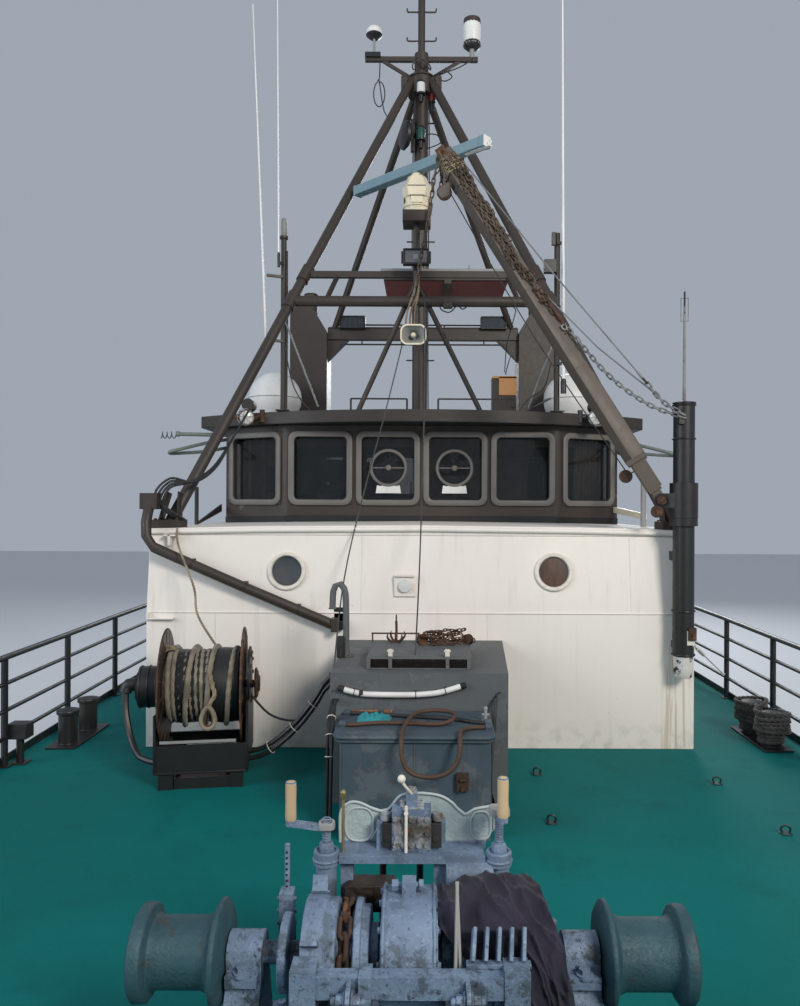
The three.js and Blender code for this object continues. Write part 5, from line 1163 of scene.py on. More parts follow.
Shape().tube(curved([(2.47, -2.30, 4.72), (2.47, -1.6, 4.83), (2.46, -1.15, 4.92)], 6), 0.020, 10).piece(
    "house_top_rail", "root", paints["lightGrey"])
Shape().bar((2.38, -1.36, 4.20), (2.50, -2.26, 4.13), 0.05, 0.07).piece("house_top_board", "root",
    paints["cream"], 0.006)
postStarboard = Shape().rod((-2.50, -2.30, 4.01), (-2.50, -2.30, 4.44), 0.022, 12)
postStarboard.slab([(-2.28, 4.03), (-1.3, 4.16), (-1.3, 4.25), (-2.28, 4.06)], (-2.49, 0, 0), (0, 1, 0),
    (0, 0, 1), 0.02)
postStarboard.piece("house_top_fender", "root", paints["black"], 0.002)
print("wheelhouse fittings done")

# Two hoses lying on the trunk lid, on their solids' routes: x, y and height over the lid, in mm
lidTop = 2.735
hoseRoutes = {"black_hose": ((-496, -5440, 14.3), (-430, -5440, 14.3), (-340, -5450, 14.3),
    (-240, -5474, 14.3), (-140, -5500, 14.3), (-40, -5522, 14.3), (60, -5542, 14.3), (160, -5562, 14.3),
    (250, -5590, 14.3), (330, -5628, 14.3), (380, -5660, 14.3), (420, -5675, 14.3), (455, -5675, 14.3)),
    "brown_hose": ((-496, -5742, 15.3), (-440, -5742, 15.3), (-380, -5722, 15.3), (-280, -5698, 15.3),
    (-160, -5696, 15.3), (-40, -5706, 15.3), (70, -5724, 15.3), (150, -5720, 17), (218, -5688, 28),
    (250, -5630, 44), (240, -5566, 50), (196, -5510, 50), (120, -5490, 50), (46, -5508, 50), (-8, -5556, 50),
    (-42, -5630, 50), (-64, -5712, 50), (-86, -5806, 40), (-102, -5880, 28), (-110, -5960, 22),
    (-110, -6042, -16), (-105, -6074, -100), (-70, -6080, -180), (0, -6083, -218), (90, -6084, -225),
    (175, -6083, -205), (235, -6080, -155), (262, -6072, -92), (270, -6040, -16), (272, -5960, 22),
    (285, -5895, 19), (322, -5830, 15.6), (385, -5800, 15.3), (450, -5800, 15.3)),}


def measured(points):
    return sum((b - a).length for a, b in zip(points, points[1:]))


for name, finish, radius in (("black_hose", hoseBlack, 0.014), ("brown_hose", brownHose, 0.015)):
    route = curved([Vector((x / 1000, y / 1000, lidTop + up / 1000)) for x, y, up in hoseRoutes[name]], 6)
    hose = Shape().tube(route, radius, 16).piece(name + "_laid", "trunk_lid", finish, swap=(name,))
    measured(route)
    2 * radius

# Rope reel: its own axis runs a little aft towards port
reel = {"centre": Vector((-1.781, -4.55, 2.748)), "along": Vector((0.987688, 0.156434, 0)), "rope": 0.2785,
    "hawser": 0.0215, "turns": 13}
reelSide = Vector((-reel["along"].y, reel["along"].x, 0))


def onReel(along, back, z):
    return reel["centre"] + reel["along"] * along + reelSide * back + Vector((0, 0, z - reel["centre"].z))


def aroundReel(along, radius, angle):
    out = reelSide * math.cos(angle) + Vector((0, 0, 1)) * math.sin(angle)
    return reel["centre"] + reel["along"] * along + out * radius


core = Shape()
core.turned([(0, -0.338), (0.03, -0.338), (0.03, -0.322), (0.44, -0.322), (0.465, -0.319), (0.465, -0.309),
    (0.44, -0.306), (0.256, -0.303), (0.256, 0.303), (0.44, 0.306), (0.465, 0.309), (0.465, 0.319),
    (0.44, 0.322), (0.03, 0.322), (0.03, 0.396), (0.078, 0.400), (0.084, 0.405), (0.084, 0.424),
    (0.078, 0.430), (0.06, 0.446), (0, 0.448)], reel["centre"], reel["along"], 64)
core.piece("reel_core", "reel_drum", flangeFinish, swap=("reel_drum",))
ribs = Shape()
for side in (-1, 1):
    for k in range(16):
        angle = k * math.pi / 8 + 0.1
        for face in (0.3235, 0.3045):
            ribs.bar(aroundReel(side * face, 0.27, angle), aroundReel(side * face, 0.452, angle), 0.012,
                0.005, reel["along"])
    ribs.ringTube(aroundReel(side * 0.314, 0, 0), reel["along"], 0.464, 0.0085, 72, 8)
ribs.piece("reel_flange_ribs", "reel_drum", paints["rusty"], 0.001)
hawser = []
winding = [(-0.283, 0.283, reel["turns"], 0), (0.283, -0.24, 3.2, 0.034)]
angle = 0.4
for start, end, turns, lift in winding:
    steps = int(turns * 28)
    for k in range(steps + 1):
        t = k / steps
        rise = reel["rope"] + lift * min(1.0, t * turns * 3) + 0.004 * math.sin(5 * angle) * bool(lift)
        hawser.append(aroundReel(start + (end - start) * t, rise, angle + t * turns * 2 * math.pi))
    angle += turns * 2 * math.pi
ropes("reel_hawser", [hawser], reel["hawser"], "reel_drum", hawserFinish, 0.24, 0.022, Groove=0.90)
# Eye and thimble of the rope's end, hanging at the front
eyeAt = onReel(0.06, -0.335, 2.56)
for name, wide, high, thick, sides, finish in (
    ("reel_eye", 0.052, 0.085, 0.017, 10, hawserFinish),
    ("reel_thimble", 0.034, 0.064, 0.008, 8, paints["rusty"])):
    loop = [eyeAt + reel["along"] * wide * math.sin(t) * (1 - 0.25 * math.cos(t))
        + Vector((0, -0.012, high * math.cos(t))) for t in (k * math.pi / 15 for k in range(30))]
    Shape().tube(loop, thick, sides, closed=True).piece(name, "reel_drum", finish)
splice = [aroundReel(0.06 + 0.01 * k, reel["rope"] + 0.052, 2.62 + 0.11 * k) for k in range(6)]
ropes("reel_splice", [splice + [eyeAt + Vector((0, -0.01, 0.09))]], 0.019, "reel_drum", tanRope)
# Frayed end on the top turns
fray = []
for k in range(18):
    at = aroundReel(-0.255 + 0.004 * (k % 5), 0.318, 1.75 + 0.02 * (k % 4))
    tip = at + Vector((-0.05 - 0.012 * (k % 3), -0.03 + 0.02 * math.sin(3 * k),
        0.03 * math.cos(2 * k) + 0.01))
    fray.append([at, at.lerp(tip, 0.5) + Vector((0, 0, 0.012)), tip])
pipes("reel_frayed_end", fray, 0.0035, "reel_drum", tanRope, 6)
ropes("reel_tail", [[aroundReel(-0.26, 0.318, 1.75 + 0.14 * k) for k in range(-9, 1)]], 0.016, "reel_drum",
    tanRope)

# Frame dressing: light strip, front panel edges, bolts, hub cap and motor bands
frame = Shape()
frame.bar(onReel(-0.30, -0.407, 2.395), onReel(0.28, -0.407, 2.395), 0.010, 0.022)
frame.piece("reel_light_strip", "root", paints["lightGrey"], 0.002)
stiff = Shape()
stiff.bar(onReel(-0.345, -0.41, 2.155), onReel(0.365, -0.41, 2.155), 0.012, 0.016)
for along in (-0.338, 0.358):
    stiff.bar(onReel(along, -0.41, 2.15), onReel(along, -0.41, 2.365), 0.014, 0.012, (1, 0, 0))
for along in (-0.12, 0.14):
    stiff.bar(onReel(along, -0.375, 2.16), onReel(along, -0.375, 2.35), 0.02, 0.03, (1, 0, 0))
stiff.piece("reel_panel_edges", "root", paints["black"], 0.003)
bolts("reel_cheek_bolts", [(aroundReel(0.3725, 0.2, k * math.pi / 5) + Vector((0, 0, 0.06)), reel["along"])
    for k in range(10)], "root", paints["rusty"], 0.014, 0.012)
bolts("reel_base_bolts", [(onReel(x, y, 2.109), Vector((0, 0, 1)))
    for x in (-0.17, 0.21) for y in (-0.33, 0.33)], "root", paints["rusty"], 0.014, 0.012)
Shape().turned([(0, -0.012), (0.12, -0.012), (0.135, 0.0), (0.10, 0.018), (0.05, 0.022), (0, 0.022)],
    onReel(0.448, 0, 2.748) - reel["along"] * 0.034, reel["along"], 32).piece("reel_hub_cap", "reel_drum",
    paints["rusty"])
motor = Shape()
for along in (-0.505, -0.44, -0.375):
    motor.ringTube(onReel(along, 0, 2.748), reel["along"], 0.169, 0.007, 40, 8)
for k in range(6):
    t = k * math.pi / 3 + 0.3
    rim = (reelSide * math.cos(t) + Vector((0, 0, 1)) * math.sin(t)) * 0.13
    motor.rod(onReel(-0.535, 0, 2.748) + rim, onReel(-0.515, 0, 2.748) + rim, 0.014, 6)
motor.piece("reel_motor_bands", "root", paints["black"], 0.001)
# Couplings and ties of the solids' supply hoses, which run over the deck from the reel to the trunk
reelHoseRoute = ((-1.45, -4.70, 2.185), (-1.33, -4.72, 2.20), (-1.20, -4.74, 2.26), (-1.01, -4.74, 2.42),
                 (-0.86, -4.72, 2.60), (-0.76, -4.70, 2.76), (-0.665, -4.69, 2.85))
couplings = Shape()
for lift in (0, 0.058):
    for k in (0, -1):
        end = Vector(reelHoseRoute[k]) + Vector((0, 0, lift))
        nxt = Vector(reelHoseRoute[1 if k == 0 else -2]) + Vector((0, 0, lift))
        d = (nxt - end).normalized()
        couplings.rod(end, end + d * 0.06, 0.0265, 16)
        couplings.rod(end + d * 0.06, end + d * 0.075, 0.031, 6)
couplings.piece("reel_hose_couplings", "root", paints["rusty"], 0.001)
ties = Shape()
for k in (2, 3, 4):
    p = Vector(reelHoseRoute[k]) + Vector((0, 0, 0.029))
    ties.ringTube(p, Vector(reelHoseRoute[k + 1]) - Vector(reelHoseRoute[k - 1]), 0.052, 0.003, 24, 6)
ties.piece("reel_hose_ties", "root", paints["warmWhite"])
# Tan rope led from the house top down on to the reel
tanLead = curved([(-2.30, -3.60, 4.05), (-2.27, -3.74, 4.00), (-2.19, -3.95, 3.86), (-1.98, -4.20, 3.52),
    (-1.90, -4.36, 3.30), onReel(0.10, -0.02, 3.055)], 6)
ropes("reel_tan_lead", [tanLead], 0.011, "root", tanRope)
print("reel dressed")

# Windlass dressing. The shaft's middle and the foredeck's height are its driving sizes
windlass = {"y": -8.40, "z": 2.683, "base": 2.093, "table": 2.904,
    "screws": {"starboard": -0.34, "port": 0.324}}
shaftAt = Vector((0, windlass["y"], windlass["z"]))


def aroundShaft(x, radius, angle):
    return shaftAt + Vector((x, radius * math.cos(angle), radius * math.sin(angle)))


bolts("windlass_cap_bolts", [(Vector((x, windlass["y"] + dy, windlass["z"] - 0.021)),
    Vector((0, 0, 1))) for x in (-0.58, 0.58) for dy in (-0.092, 0.092)], "root", silverFinish, 0.020, 0.022)
bolts("windlass_bed_bolts", [(Vector((x, windlass["y"] + dy, windlass["base"] + 0.161)), Vector((0, 0, 1)))
                             for x in (-0.61, -0.53, 0.53, 0.61) for dy in (-0.39, -0.28, 0.28, 0.39)],
      "root", silverFinish, 0.018, 0.016)
caps = Shape()
for side, x in windlass["screws"].items():
    top = windlass["table"]
    caps.ringTube((x, windlass["y"] + 0.282, top + 0.012), (0, 0, 1), 0.042, 0.007, 32, 8)
    caps.ringTube((x, windlass["y"] + 0.282, top - 0.016), (0, 0, 1), 0.048, 0.006, 32, 8)
    caps.turned([(0.0, 0.012), (0.030, 0.012), (0.030, 0.04), (0.024, 0.048), (0.0, 0.048)],
                (x, windlass["y"] + 0.282, top), (0, 0, 1), 6)
for k in range(9):
    z = windlass["table"] + 0.056 + 0.010 * k
    for x in windlass["screws"].values():
        caps.ringTube((x, windlass["y"] + 0.282, z), (0, 0, 1), 0.0155, 0.0026, 20, 6)
caps.piece("windlass_screw_caps", "root", silverFinish, 0.001)
grips = Shape()
for (x, y, low) in ((-0.478, -8.118, 3.034), (0.330, -8.208, 3.084)):
    grips.turned([(0.0195, 0), (0.0215, 0.008), (0.0213, 0.03), (0.0206, 0.075), (0.0214, 0.118),
        (0.0207, 0.142), (0.012, 0.150), (0, 0.151)], (x, y, low), (0, 0, 1), 24)
grips.piece("windlass_crank_grips", "root", paint("gripWood", (0.56, 0.42, 0.25), (0.38, 0.27, 0.16),
    (0.3, 0.2, 0.12), 0.6, 0.55), 0.0)
collars = Shape()
collars.frame((0.325, -8.118, 3.060), (1, 0, 0), (0, 1, 0), (0.040, 0.034), 0.014, 0.030, 0.02, 4)
collars.frame((-0.34, -8.118, 3.004), (1, 0, 0), (0, 1, 0), (0.032, 0.030), 0.014, 0.026, 0.02, 4)
collars.piece("windlass_crank_collars", "root", paints["lightGrey"], 0.001)

# Brake bands round the two brake drums, with their lugs
for side, (low, high), screw in (("starboard", (-0.372, -0.306), -0.34), ("port", (0.270, 0.326), 0.30)):
    radius = 0.1885 if side == "starboard" else 0.176
    band = Shape()
    arc = [math.radians(a) for a in range(-215, 61, 5)]
    inner = [(radius * math.cos(t), radius * math.sin(t)) for t in arc]
    outer = [((radius + 0.008) * math.cos(t), (radius + 0.008) * math.sin(t)) for t in reversed(arc)]
    rings = [band.ring([(x, windlass["y"] + c, windlass["z"] + s) for c, s in inner + outer])
        for x in (low, high)]
    band.skin(rings)
    for t in (arc[0], arc[-1]):
        at = aroundShaft(screw, radius + 0.004, t)
        out = Vector((0, math.cos(t), math.sin(t)))
        band.bar(at, at + out * 0.055, high - low - 0.01, 0.016, Vector((0, -math.sin(t), math.cos(t))))
    band.piece("windlass_brake_band_" + side, "root", silverFinish, 0.001)

# Chain over the chain wheel, from the chain pipe aft of it and forward along the deck to the stem roller
def foredeck(y):
    return 2.0 + 0.02 * max(0.0, -3.8 - y) + 0.26 * (max(0.0, -8.3 - y) / 4) ** 2


wrap = 0.158
chainX = -0.232
chainRoute = [Vector((chainX, windlass["y"] + wrap, windlass["base"] + 0.05)),
    Vector((chainX, windlass["y"] + wrap, 2.5))]
chainRoute += [aroundShaft(chainX, wrap, math.radians(a)) for a in range(0, 171, 10)]
chainRoute += curved([(chainX, -8.60, 2.62), (chainX + 0.01, -8.78, 2.42), (chainX + 0.03, -9.05, 2.215),
                      (chainX + 0.05, -9.4, foredeck(-9.4) + 0.035), (-0.10, -10.3, foredeck(-10.3) + 0.035),
                      (0.0, -11.2, foredeck(-11.2) + 0.035), (0.0, -11.75, foredeck(-11.75) + 0.05)], 5)
chains("anchor_chain", [chainRoute], "root", paints["rusty"], 0.062, 0.0085, 0.036, 0.078)
bolts("chain_pipe_rim", [(Vector((chainX, windlass["y"] + wrap, windlass["base"] + 0.012)),
    Vector((0, 0, 1)))], "root", paints["rusty"], 0.055, 0.02, 24)

# Gearbox: lug bolt, cover bolts and flanges, then the lugs, levers and fins beside it
lug = Shape()
lug.rod((-0.068, -8.41, 2.925), (0.034, -8.41, 2.925), 0.011, 16)
lug.rod((-0.076, -8.41, 2.925), (-0.054, -8.41, 2.925), 0.020, 6)
lug.rod((0.018, -8.41, 2.925), (0.034, -8.41, 2.925), 0.020, 6)
lug.piece("windlass_lug_bolt", "root", silverFinish, 0.001)
bolts("windlass_gearbox_bolts", [(aroundShaft(x, 0.196, t), Vector((s, 0, 0)))
    for x, s in ((-0.1083, -1), (0.0823, 1)) for t in (k * math.pi / 6 + 0.2 for k in range(12))],
    "root", silverFinish, 0.011, 0.010)
cover = Shape()
for x in (-0.10, 0.072):
    cover.ringTube((x, windlass["y"], windlass["z"]), (1, 0, 0), 0.2185, 0.006, 64, 8)
cover.block((-0.098, -8.62, 2.30), (0.072, -8.612, 2.60))
cover.piece("windlass_gearbox_flanges", "root", silverFinish, 0.001)
ribLugs = Shape()
for x in (-0.195, 0.172):
    ribLugs.slab([(-0.05, -0.07), (0.05, -0.07), (0.05, 0.02), (0.03, 0.045), (-0.03, 0.045), (-0.05, 0.02)],
        (x - 0.007, -8.755, 2.735), (0, 1, 0), (0, 0, 1), 0.014)
    for s in (-1, 1):
        at, out = Vector((x + s * 0.008, -8.765, 2.737)), Vector((s, 0, 0))
        ribLugs.turned([(0, 0), (0.030, 0), (0.031, 0.005), (0.026, 0.008), (0, 0.008)], at, out, 28)
        ribLugs.turned([(0, 0.008), (0.0225, 0.008), (0.0225, 0.026), (0.019, 0.030), (0, 0.030)], at, out, 6)
        ribLugs.turned([(0, 0.030), (0.013, 0.030), (0.012, 0.042), (0.008, 0.046), (0, 0.046)], at, out, 16)
ribLugs.piece("windlass_rib_lugs", "root", silverFinish, 0.001)
levers = Shape()
for x, tilt in ((0.135, 0.012), (0.155, -0.01)):
    levers.bar((x, -8.66, 2.70), (x + tilt, -8.52, 2.99), 0.010, 0.042, (0, 1, 0))
levers.piece("windlass_lever_plates", "root", paints["lightGrey"], 0.002)
fins = Shape()
for k in range(5):
    fins.bar((0.19 + 0.040 * k, -8.665, 2.80), (0.20 + 0.040 * k, -8.60, 2.875), 0.012, 0.05, (0, 1, 0))
fins.bar((0.17, -8.668, 2.797), (0.375, -8.668, 2.797), 0.03, 0.014)
fins.piece("windlass_fins", "root", silverFinish, 0.002)

# Starboard brake linkage: perforated rod, clamp and strap up from the bed
linkage = Shape()
linkage.rod((-0.474, -8.215, 2.80), (-0.474, -8.215, 2.985), 0.010, 12)
linkage.block((-0.500, -8.245, 2.655), (-0.448, -8.185, 2.812))
linkage.bar((-0.474, -8.09, 2.20), (-0.474, -8.205, 2.68), 0.036, 0.012, (0, 1, 0))
linkage.block((-0.510, -8.128, 2.232), (-0.438, -8.06, 2.256))
for z in (2.69, 2.735, 2.78):
    linkage.rod((-0.512, -8.215, z), (-0.438, -8.215, z), 0.009, 6)
linkage.piece("windlass_brake_linkage", "root", silverFinish, 0.002)
# Black discs on the rod's front: painted shade in its holes
dots = Shape()
for k in range(7):
    dots.rod((-0.4745, -8.2265, 2.83 + 0.021 * k), (-0.4745, -8.2240, 2.83 + 0.021 * k), 0.0045, 10)
dots.piece("windlass_rod_holes", "root", paints["black"])

# Valve block: bodies, caps, ports and levers on the table
valve = Shape()
for x in (-0.075, -0.044, -0.014, 0.016, 0.046):
    valve.rod((x, -8.10, 2.93), (x, -8.082, 2.93), 0.012, 12)
    valve.rod((x, -8.10, 2.975), (x, -8.082, 2.975), 0.009, 6)
    valve.rod((x, -8.10, 3.028), (x, -8.084, 3.028), 0.011, 6)
for x in (-0.045, 0.018):
    valve.rod((x, -8.046, 3.05), (x, -8.046, 3.085), 0.016, 6)
valve.rod((-0.014, -8.04, 3.11), (-0.014, -8.04, 3.135), 0.020, 6)
for x in (-0.115, 0.088):
    valve.turned([(0, 0), (0.022, 0), (0.024, 0.01), (0.020, 0.03), (0.008, 0.034), (0, 0.034)],
        (x, -8.04, 3.005), (0, 0, 1), 20)
    valve.rod((x, -8.078, 2.95), (x, -8.066, 2.95), 0.016, 16)
valve.piece("windlass_valve_details", "root", crustFinish, 0.001)
brass = Shape()
brass.rod((-0.2785, -8.095, 2.90), (-0.2785, -8.095, 3.11), 0.006, 12)
brass.turned([(0, 0), (0.010, 0), (0.0125, 0.006), (0.0125, 0.024), (0.006, 0.032), (0, 0.033)],
    (-0.2785, -8.095, 3.11), (0, 0, 1), 16)
brass.piece("windlass_brass_rod", "root", bronzeFinish)
lever = Shape()
lever.ball((-0.052, -8.12, 3.195), 0.016, sides=20)
lever.tube(curved([(-0.052, -8.12, 3.19), (-0.04, -8.11, 3.165), (-0.022, -8.085, 3.135),
    (-0.014, -8.06, 3.115)], 3), 0.006, 10)
lever.rod((-0.034, -8.105, 2.905), (-0.034, -8.105, 3.085), 0.006, 10)
lever.rod((-0.042, -8.105, 3.055), (-0.026, -8.105, 3.055), 0.006, 8)
lever.piece("windlass_ball_lever", "root", paints["warmWhite"])
# Below the table: relief block, hoses, pale curved panel
below = Shape()
below.block((-0.258, -8.16, 2.70), (-0.075, -8.06, 2.80))
below.rod((-0.20, -8.162, 2.75), (-0.20, -8.18, 2.75), 0.026, 6)
below.rod((-0.13, -8.162, 2.74), (-0.13, -8.178, 2.74), 0.02, 6)
below.rod((-0.07, -8.11, 2.75), (-0.045, -8.11, 2.75), 0.02, 6)
oilyRust = paint("oilyRust", (0.030, 0.019, 0.014), (0.014, 0.010, 0.008), (0.07, 0.035, 0.02), 0.60, 0.6,
    0.8, 0.4, 3)
below.piece("windlass_relief_block", "root", oilyRust, 0.003)
pipes("windlass_table_hoses", [curved([(-0.045, -8.11, 2.75), (0.0, -8.115, 2.745), (0.05, -8.11, 2.757),
    (0.10, -8.07, 2.772), (0.13, -7.99, 2.74), (0.14, -7.965, 2.55), (0.145, -7.955, 2.30),
    (0.15, -7.95, 2.135)], 6), curved([(-0.10, -7.985, 2.95), (-0.12, -7.955, 2.93), (-0.13, -7.945, 2.80),
    (-0.13, -7.94, 2.5), (-0.12, -7.935, 2.13)], 6),
    curved([(0.0, -7.985, 2.98), (0.02, -7.955, 2.95), (0.02, -7.945, 2.80), (0.02, -7.94, 2.5),
    (0.03, -7.935, 2.13)], 6)], 0.014, "root", hoseBlack, 14)
panel = Shape()
panel.tube([(0.12, -8.125, 2.835), (0.30, -8.125, 2.835)], 0.052, 28)
panel.piece("windlass_pale_cover", "root", silverFinish, 0.004)
brackets = Shape()
brackets.block((0.405, -8.175, 2.70), (0.497, -8.09, 2.715))
brackets.block((0.405, -8.175, 2.70), (0.419, -8.09, 2.80))
brackets.bar((0.41, -8.12, 2.24), (0.41, -8.13, 2.70), 0.04, 0.012, (0, 1, 0))
brackets.block((0.36, -8.13, 2.70), (0.412, -8.105, 2.73))
brackets.piece("windlass_port_bracket", "root", silverFinish, 0.003)
Shape().rod((0.51, -8.245, 2.60), (0.51, -8.245, 2.72), 0.018, 6).rod((0.51, -8.245, 2.57),
    (0.51, -8.245, 2.60), 0.028, 20).piece("windlass_port_bolt", "root", silverFinish, 0.001)


# Block grown over with paint and scale: a fine box whose points wander
def crusted(name, low, high, amount, finish, cuts=12, body="root"):
    work = bmesh.new()
    bmesh.ops.create_cube(work, size=1)
    low, high = Vector(low), Vector(high)
    for point in work.verts:
        point.co = Vector([low[k] + (high[k] - low[k]) * (point.co[k] + 0.5) for k in range(3)])
    bmesh.ops.subdivide_edges(work, edges=work.edges, cuts=cuts, use_grid_fill=True)
    middle = (low + high) / 2
    for point in work.verts:
        out = (point.co - middle).normalized()
        point.co += out * amount * (noise.noise(point.co * 40) + 0.8 * noise.noise(point.co * 95) + 0.25)
    data = bpy.data.meshes.new(name)
    work.to_mesh(data)
    work.free()
    return settle(name, data, body, finish, smoothAngle=50)


crusted("windlass_valve_crust", (-0.082, -8.092, 2.914), (0.056, -8.04, 3.035), 0.011, crustFinish, 16)
crusted("windlass_valve_head", (-0.05, -8.075, 3.03), (0.03, -8.03, 3.066), 0.008, crustFinish, 10)
crusted("windlass_valve_knob", (-0.032, -8.065, 3.062), (0.004, -8.025, 3.10), 0.006, paints["rusty"], 8)
crusted("windlass_motor_scale", (-0.262, -8.166, 2.70), (-0.16, -8.06, 2.796), 0.008, oilyRust, 10)
sideBoxes = Shape()
for low, high in ((-0.128, -0.086), (0.060, 0.104)):
    sideBoxes.block((low, -8.085, 2.915), (high, -8.045, 3.008))
    sideBoxes.turned([(0, 0), (0.014, 0), (0.014, 0.004), (0, 0.006)], ((low + high) / 2, -8.085, 2.95),
        (0, -1, 0), 20)
sideBoxes.piece("windlass_valve_sides", "root", rubberFinish, 0.006)

# Cloth thrown over the port brake: a profile from behind the drum down to the deck side, narrowing to a tail
# Each row: y, z, starboard edge, port edge
clothRows = [
    (-8.17, 2.775, 0.17, 0.37), (-8.24, 2.850, 0.10, 0.40), (-8.33, 2.902, 0.065, 0.425),
    (-8.43, 2.912, 0.060, 0.445), (-8.52, 2.880, 0.085, 0.465), (-8.59, 2.820, 0.15, 0.485),
    (-8.63, 2.735, 0.235, 0.505), (-8.65, 2.64, 0.315, 0.525), (-8.66, 2.53, 0.385, 0.540),
    (-8.665, 2.42, 0.43, 0.548), (-8.67, 2.33, 0.465, 0.545)]


def drapedCloth(name, rows, body, finish):
    cols, between = 60, 9
    left = curved([(a, y, z) for y, z, a, b in rows], between)
    right = curved([(b, y, z) for y, z, a, b in rows], between)
    work = bmesh.new()
    grid = []
    for j, (a, b) in enumerate(zip(left, right)):
        v = j / (len(left) - 1)
        down = (left[min(j + 1, len(left) - 1)] - left[max(j - 1, 0)]).normalized()
        out = down.cross(Vector((1, 0, 0))).normalized()
        if out.z < 0 and v < 0.5 or out.y > 0 and v >= 0.5:
            out = -out
        for i in range(cols + 1):
            u = i / cols
            p = a.lerp(b, u)
            sway = noise.noise(Vector((v * 3.1, u * 2.0, 4.4)))
            run = u * 3.1 + sway * 2.2 + v * 1.9
            folds = (1 - abs(math.sin(run * math.pi))) ** 2
            ridge = 1 - abs(noise.noise(Vector((u * 2.6 + v * 3.4, v * 5.2 - u * 3.6, 2.2)))) * 3.2
            knot = math.exp(-((u - 0.52) ** 2) * 14 - ((v - 0.38) ** 2) * 26)
            sag = -0.045 * (4 * (u - 0.62) ** 2) * (1 - v)
            lift = (0.018 * folds * (0.3 + 0.7 * v) + 0.022 * max(0.0, ridge) ** 2 * (1 - 0.4 * v)
                + 0.030 * knot)
            crease = 1 - abs(noise.noise(Vector((u * 3.2 - v * 3.6, v * 5.2 + u * 2.6, 6.1)))) * 3.4
            lift += 0.014 * max(0.0, crease) ** 2 + 0.003 * noise.noise(Vector((u * 9, v * 12, 7)))
            p = p + out * lift + Vector((0.014 * noise.noise(Vector((v * 11, u * 3, 1))), 0, sag))
            grid.append(work.verts.new(p))
    for j in range(len(left) - 1):
        for i in range(cols):
            k = j * (cols + 1) + i
            work.faces.new((grid[k], grid[k + 1], grid[k + cols + 2], grid[k + cols + 1]))
    area = sum(face.calc_area() for face in work.faces)
    data = bpy.data.meshes.new(name)
    work.to_mesh(data)
    work.free()
    made = settle(name, data, body, finish)
    wall = made.modifiers.new("wall", "SOLIDIFY")
    wall.thickness = 0.0015
    wall.offset = 1
    length = sum((left[k + 1] - left[k]).length + (right[k + 1] - right[k]).length
        for k in range(len(left) - 1)) / 2
    area / length
    return made


drapedCloth("purple_cloth", clothRows, "root", purpleCloth)
# Rolled rim of the guard, the two pressed pockets and the rib between them
rim = Shape()
rim.tube(curved([(-0.298, -8.008, 2.905), (-0.298, -8.008, 3.02), (-0.265, -8.008, 3.060),
    (-0.224, -8.008, 3.062), (-0.175, -8.008, 3.041), (-0.138, -8.008, 3.029), (-0.105, -8.008, 3.037),
    (-0.064, -8.008, 3.086), (-0.023, -8.008, 3.098), (0.034, -8.008, 3.100), (0.100, -8.008, 3.090),
    (0.145, -8.008, 3.065), (0.169, -8.008, 3.040), (0.202, -8.008, 3.017), (0.235, -8.008, 3.036),
    (0.276, -8.008, 3.045), (0.315, -8.008, 3.043), (0.316, -8.008, 2.96)], 5), 0.0055, 10)
for x, z, wide, high in ((-0.222, 2.975, 0.056, 0.066), (0.262, 2.972, 0.040, 0.056)):
    pocket = []
    for t in (2 * math.pi * k / 36 for k in range(36)):
        c, s = math.cos(t), math.sin(t)
        pocket.append(Vector((x + wide * math.copysign(abs(c) ** 0.75, c), -8.007,
            z + high * math.copysign(abs(s) ** 0.75, s))))
    rim.tube(pocket, 0.0045, 8, True)
rim.tube(curved([(-0.175, -8.007, 2.915), (-0.145, -8.007, 2.965), (-0.105, -8.007, 3.015),
    (-0.085, -8.007, 3.04)], 4), 0.005, 8)
rim.piece("windlass_guard_rim", "root", paint("guardRim", (0.40, 0.46, 0.47), (0.28, 0.33, 0.34),
    (0.12, 0.10, 0.08), 0.7, 0.5))
print("windlass dressed")

# Trunk dressing: vent slot, latches, rail, grapnel, gear, pipes and cables
ventGrille = Shape()
ventGrille.block((-0.372, -5.103, 3.012), (0.362, -5.099, 3.074))
ventGrille.piece("vent_slot", "root", paints["rusty"], 0.001)
slats = Shape()
for z in (3.022, 3.040, 3.058):
    slats.bar((-0.37, -5.112, z), (0.36, -5.112, z), 0.016, 0.004, (0, -0.5, 1))
slats.piece("vent_slats", "root", paints["black"], 0.0)
ventTrim = Shape()
ventTrim.block((-0.402, -5.128, 3.003), (-0.372, -5.098, 3.094))
ventTrim.block((0.362, -5.128, 3.003), (0.392, -5.098, 3.094))
ventTrim.bar((-0.40, -5.113, 3.084), (0.39, -5.113, 3.084), 0.028, 0.012)
ventTrim.bar((-0.40, -5.113, 3.005), (0.39, -5.113, 3.005), 0.028, 0.008)
for x in (-0.222, 0.213):
    ventTrim.block((x - 0.014, -5.131, 3.003), (x + 0.014, -5.12, 3.10))
ventTrim.piece("vent_flanges", "root", trunkFinish, 0.002)
latches = Shape()
for x in (-0.222, 0.213):
    latches.block((x - 0.017, -5.11, 3.085), (x + 0.017, -5.085, 3.150))
    latches.rod((x - 0.026, -5.098, 3.135), (x + 0.026, -5.098, 3.135), 0.008, 12)
latches.piece("vent_latches", "root", paints["warmWhite"], 0.003)
ventLid = Shape()
ventLid.bar((-0.40, -4.72, 3.088), (0.40, -4.72, 3.088), 0.70, 0.006, (0, 0, 1))
ventLid.piece("vent_top_plate", "root", trunkFinish, 0.002)
thinRail = Shape()
thinRail.rod((-0.415, -4.36, 3.152), (-0.004, -4.36, 3.152), 0.007, 12)
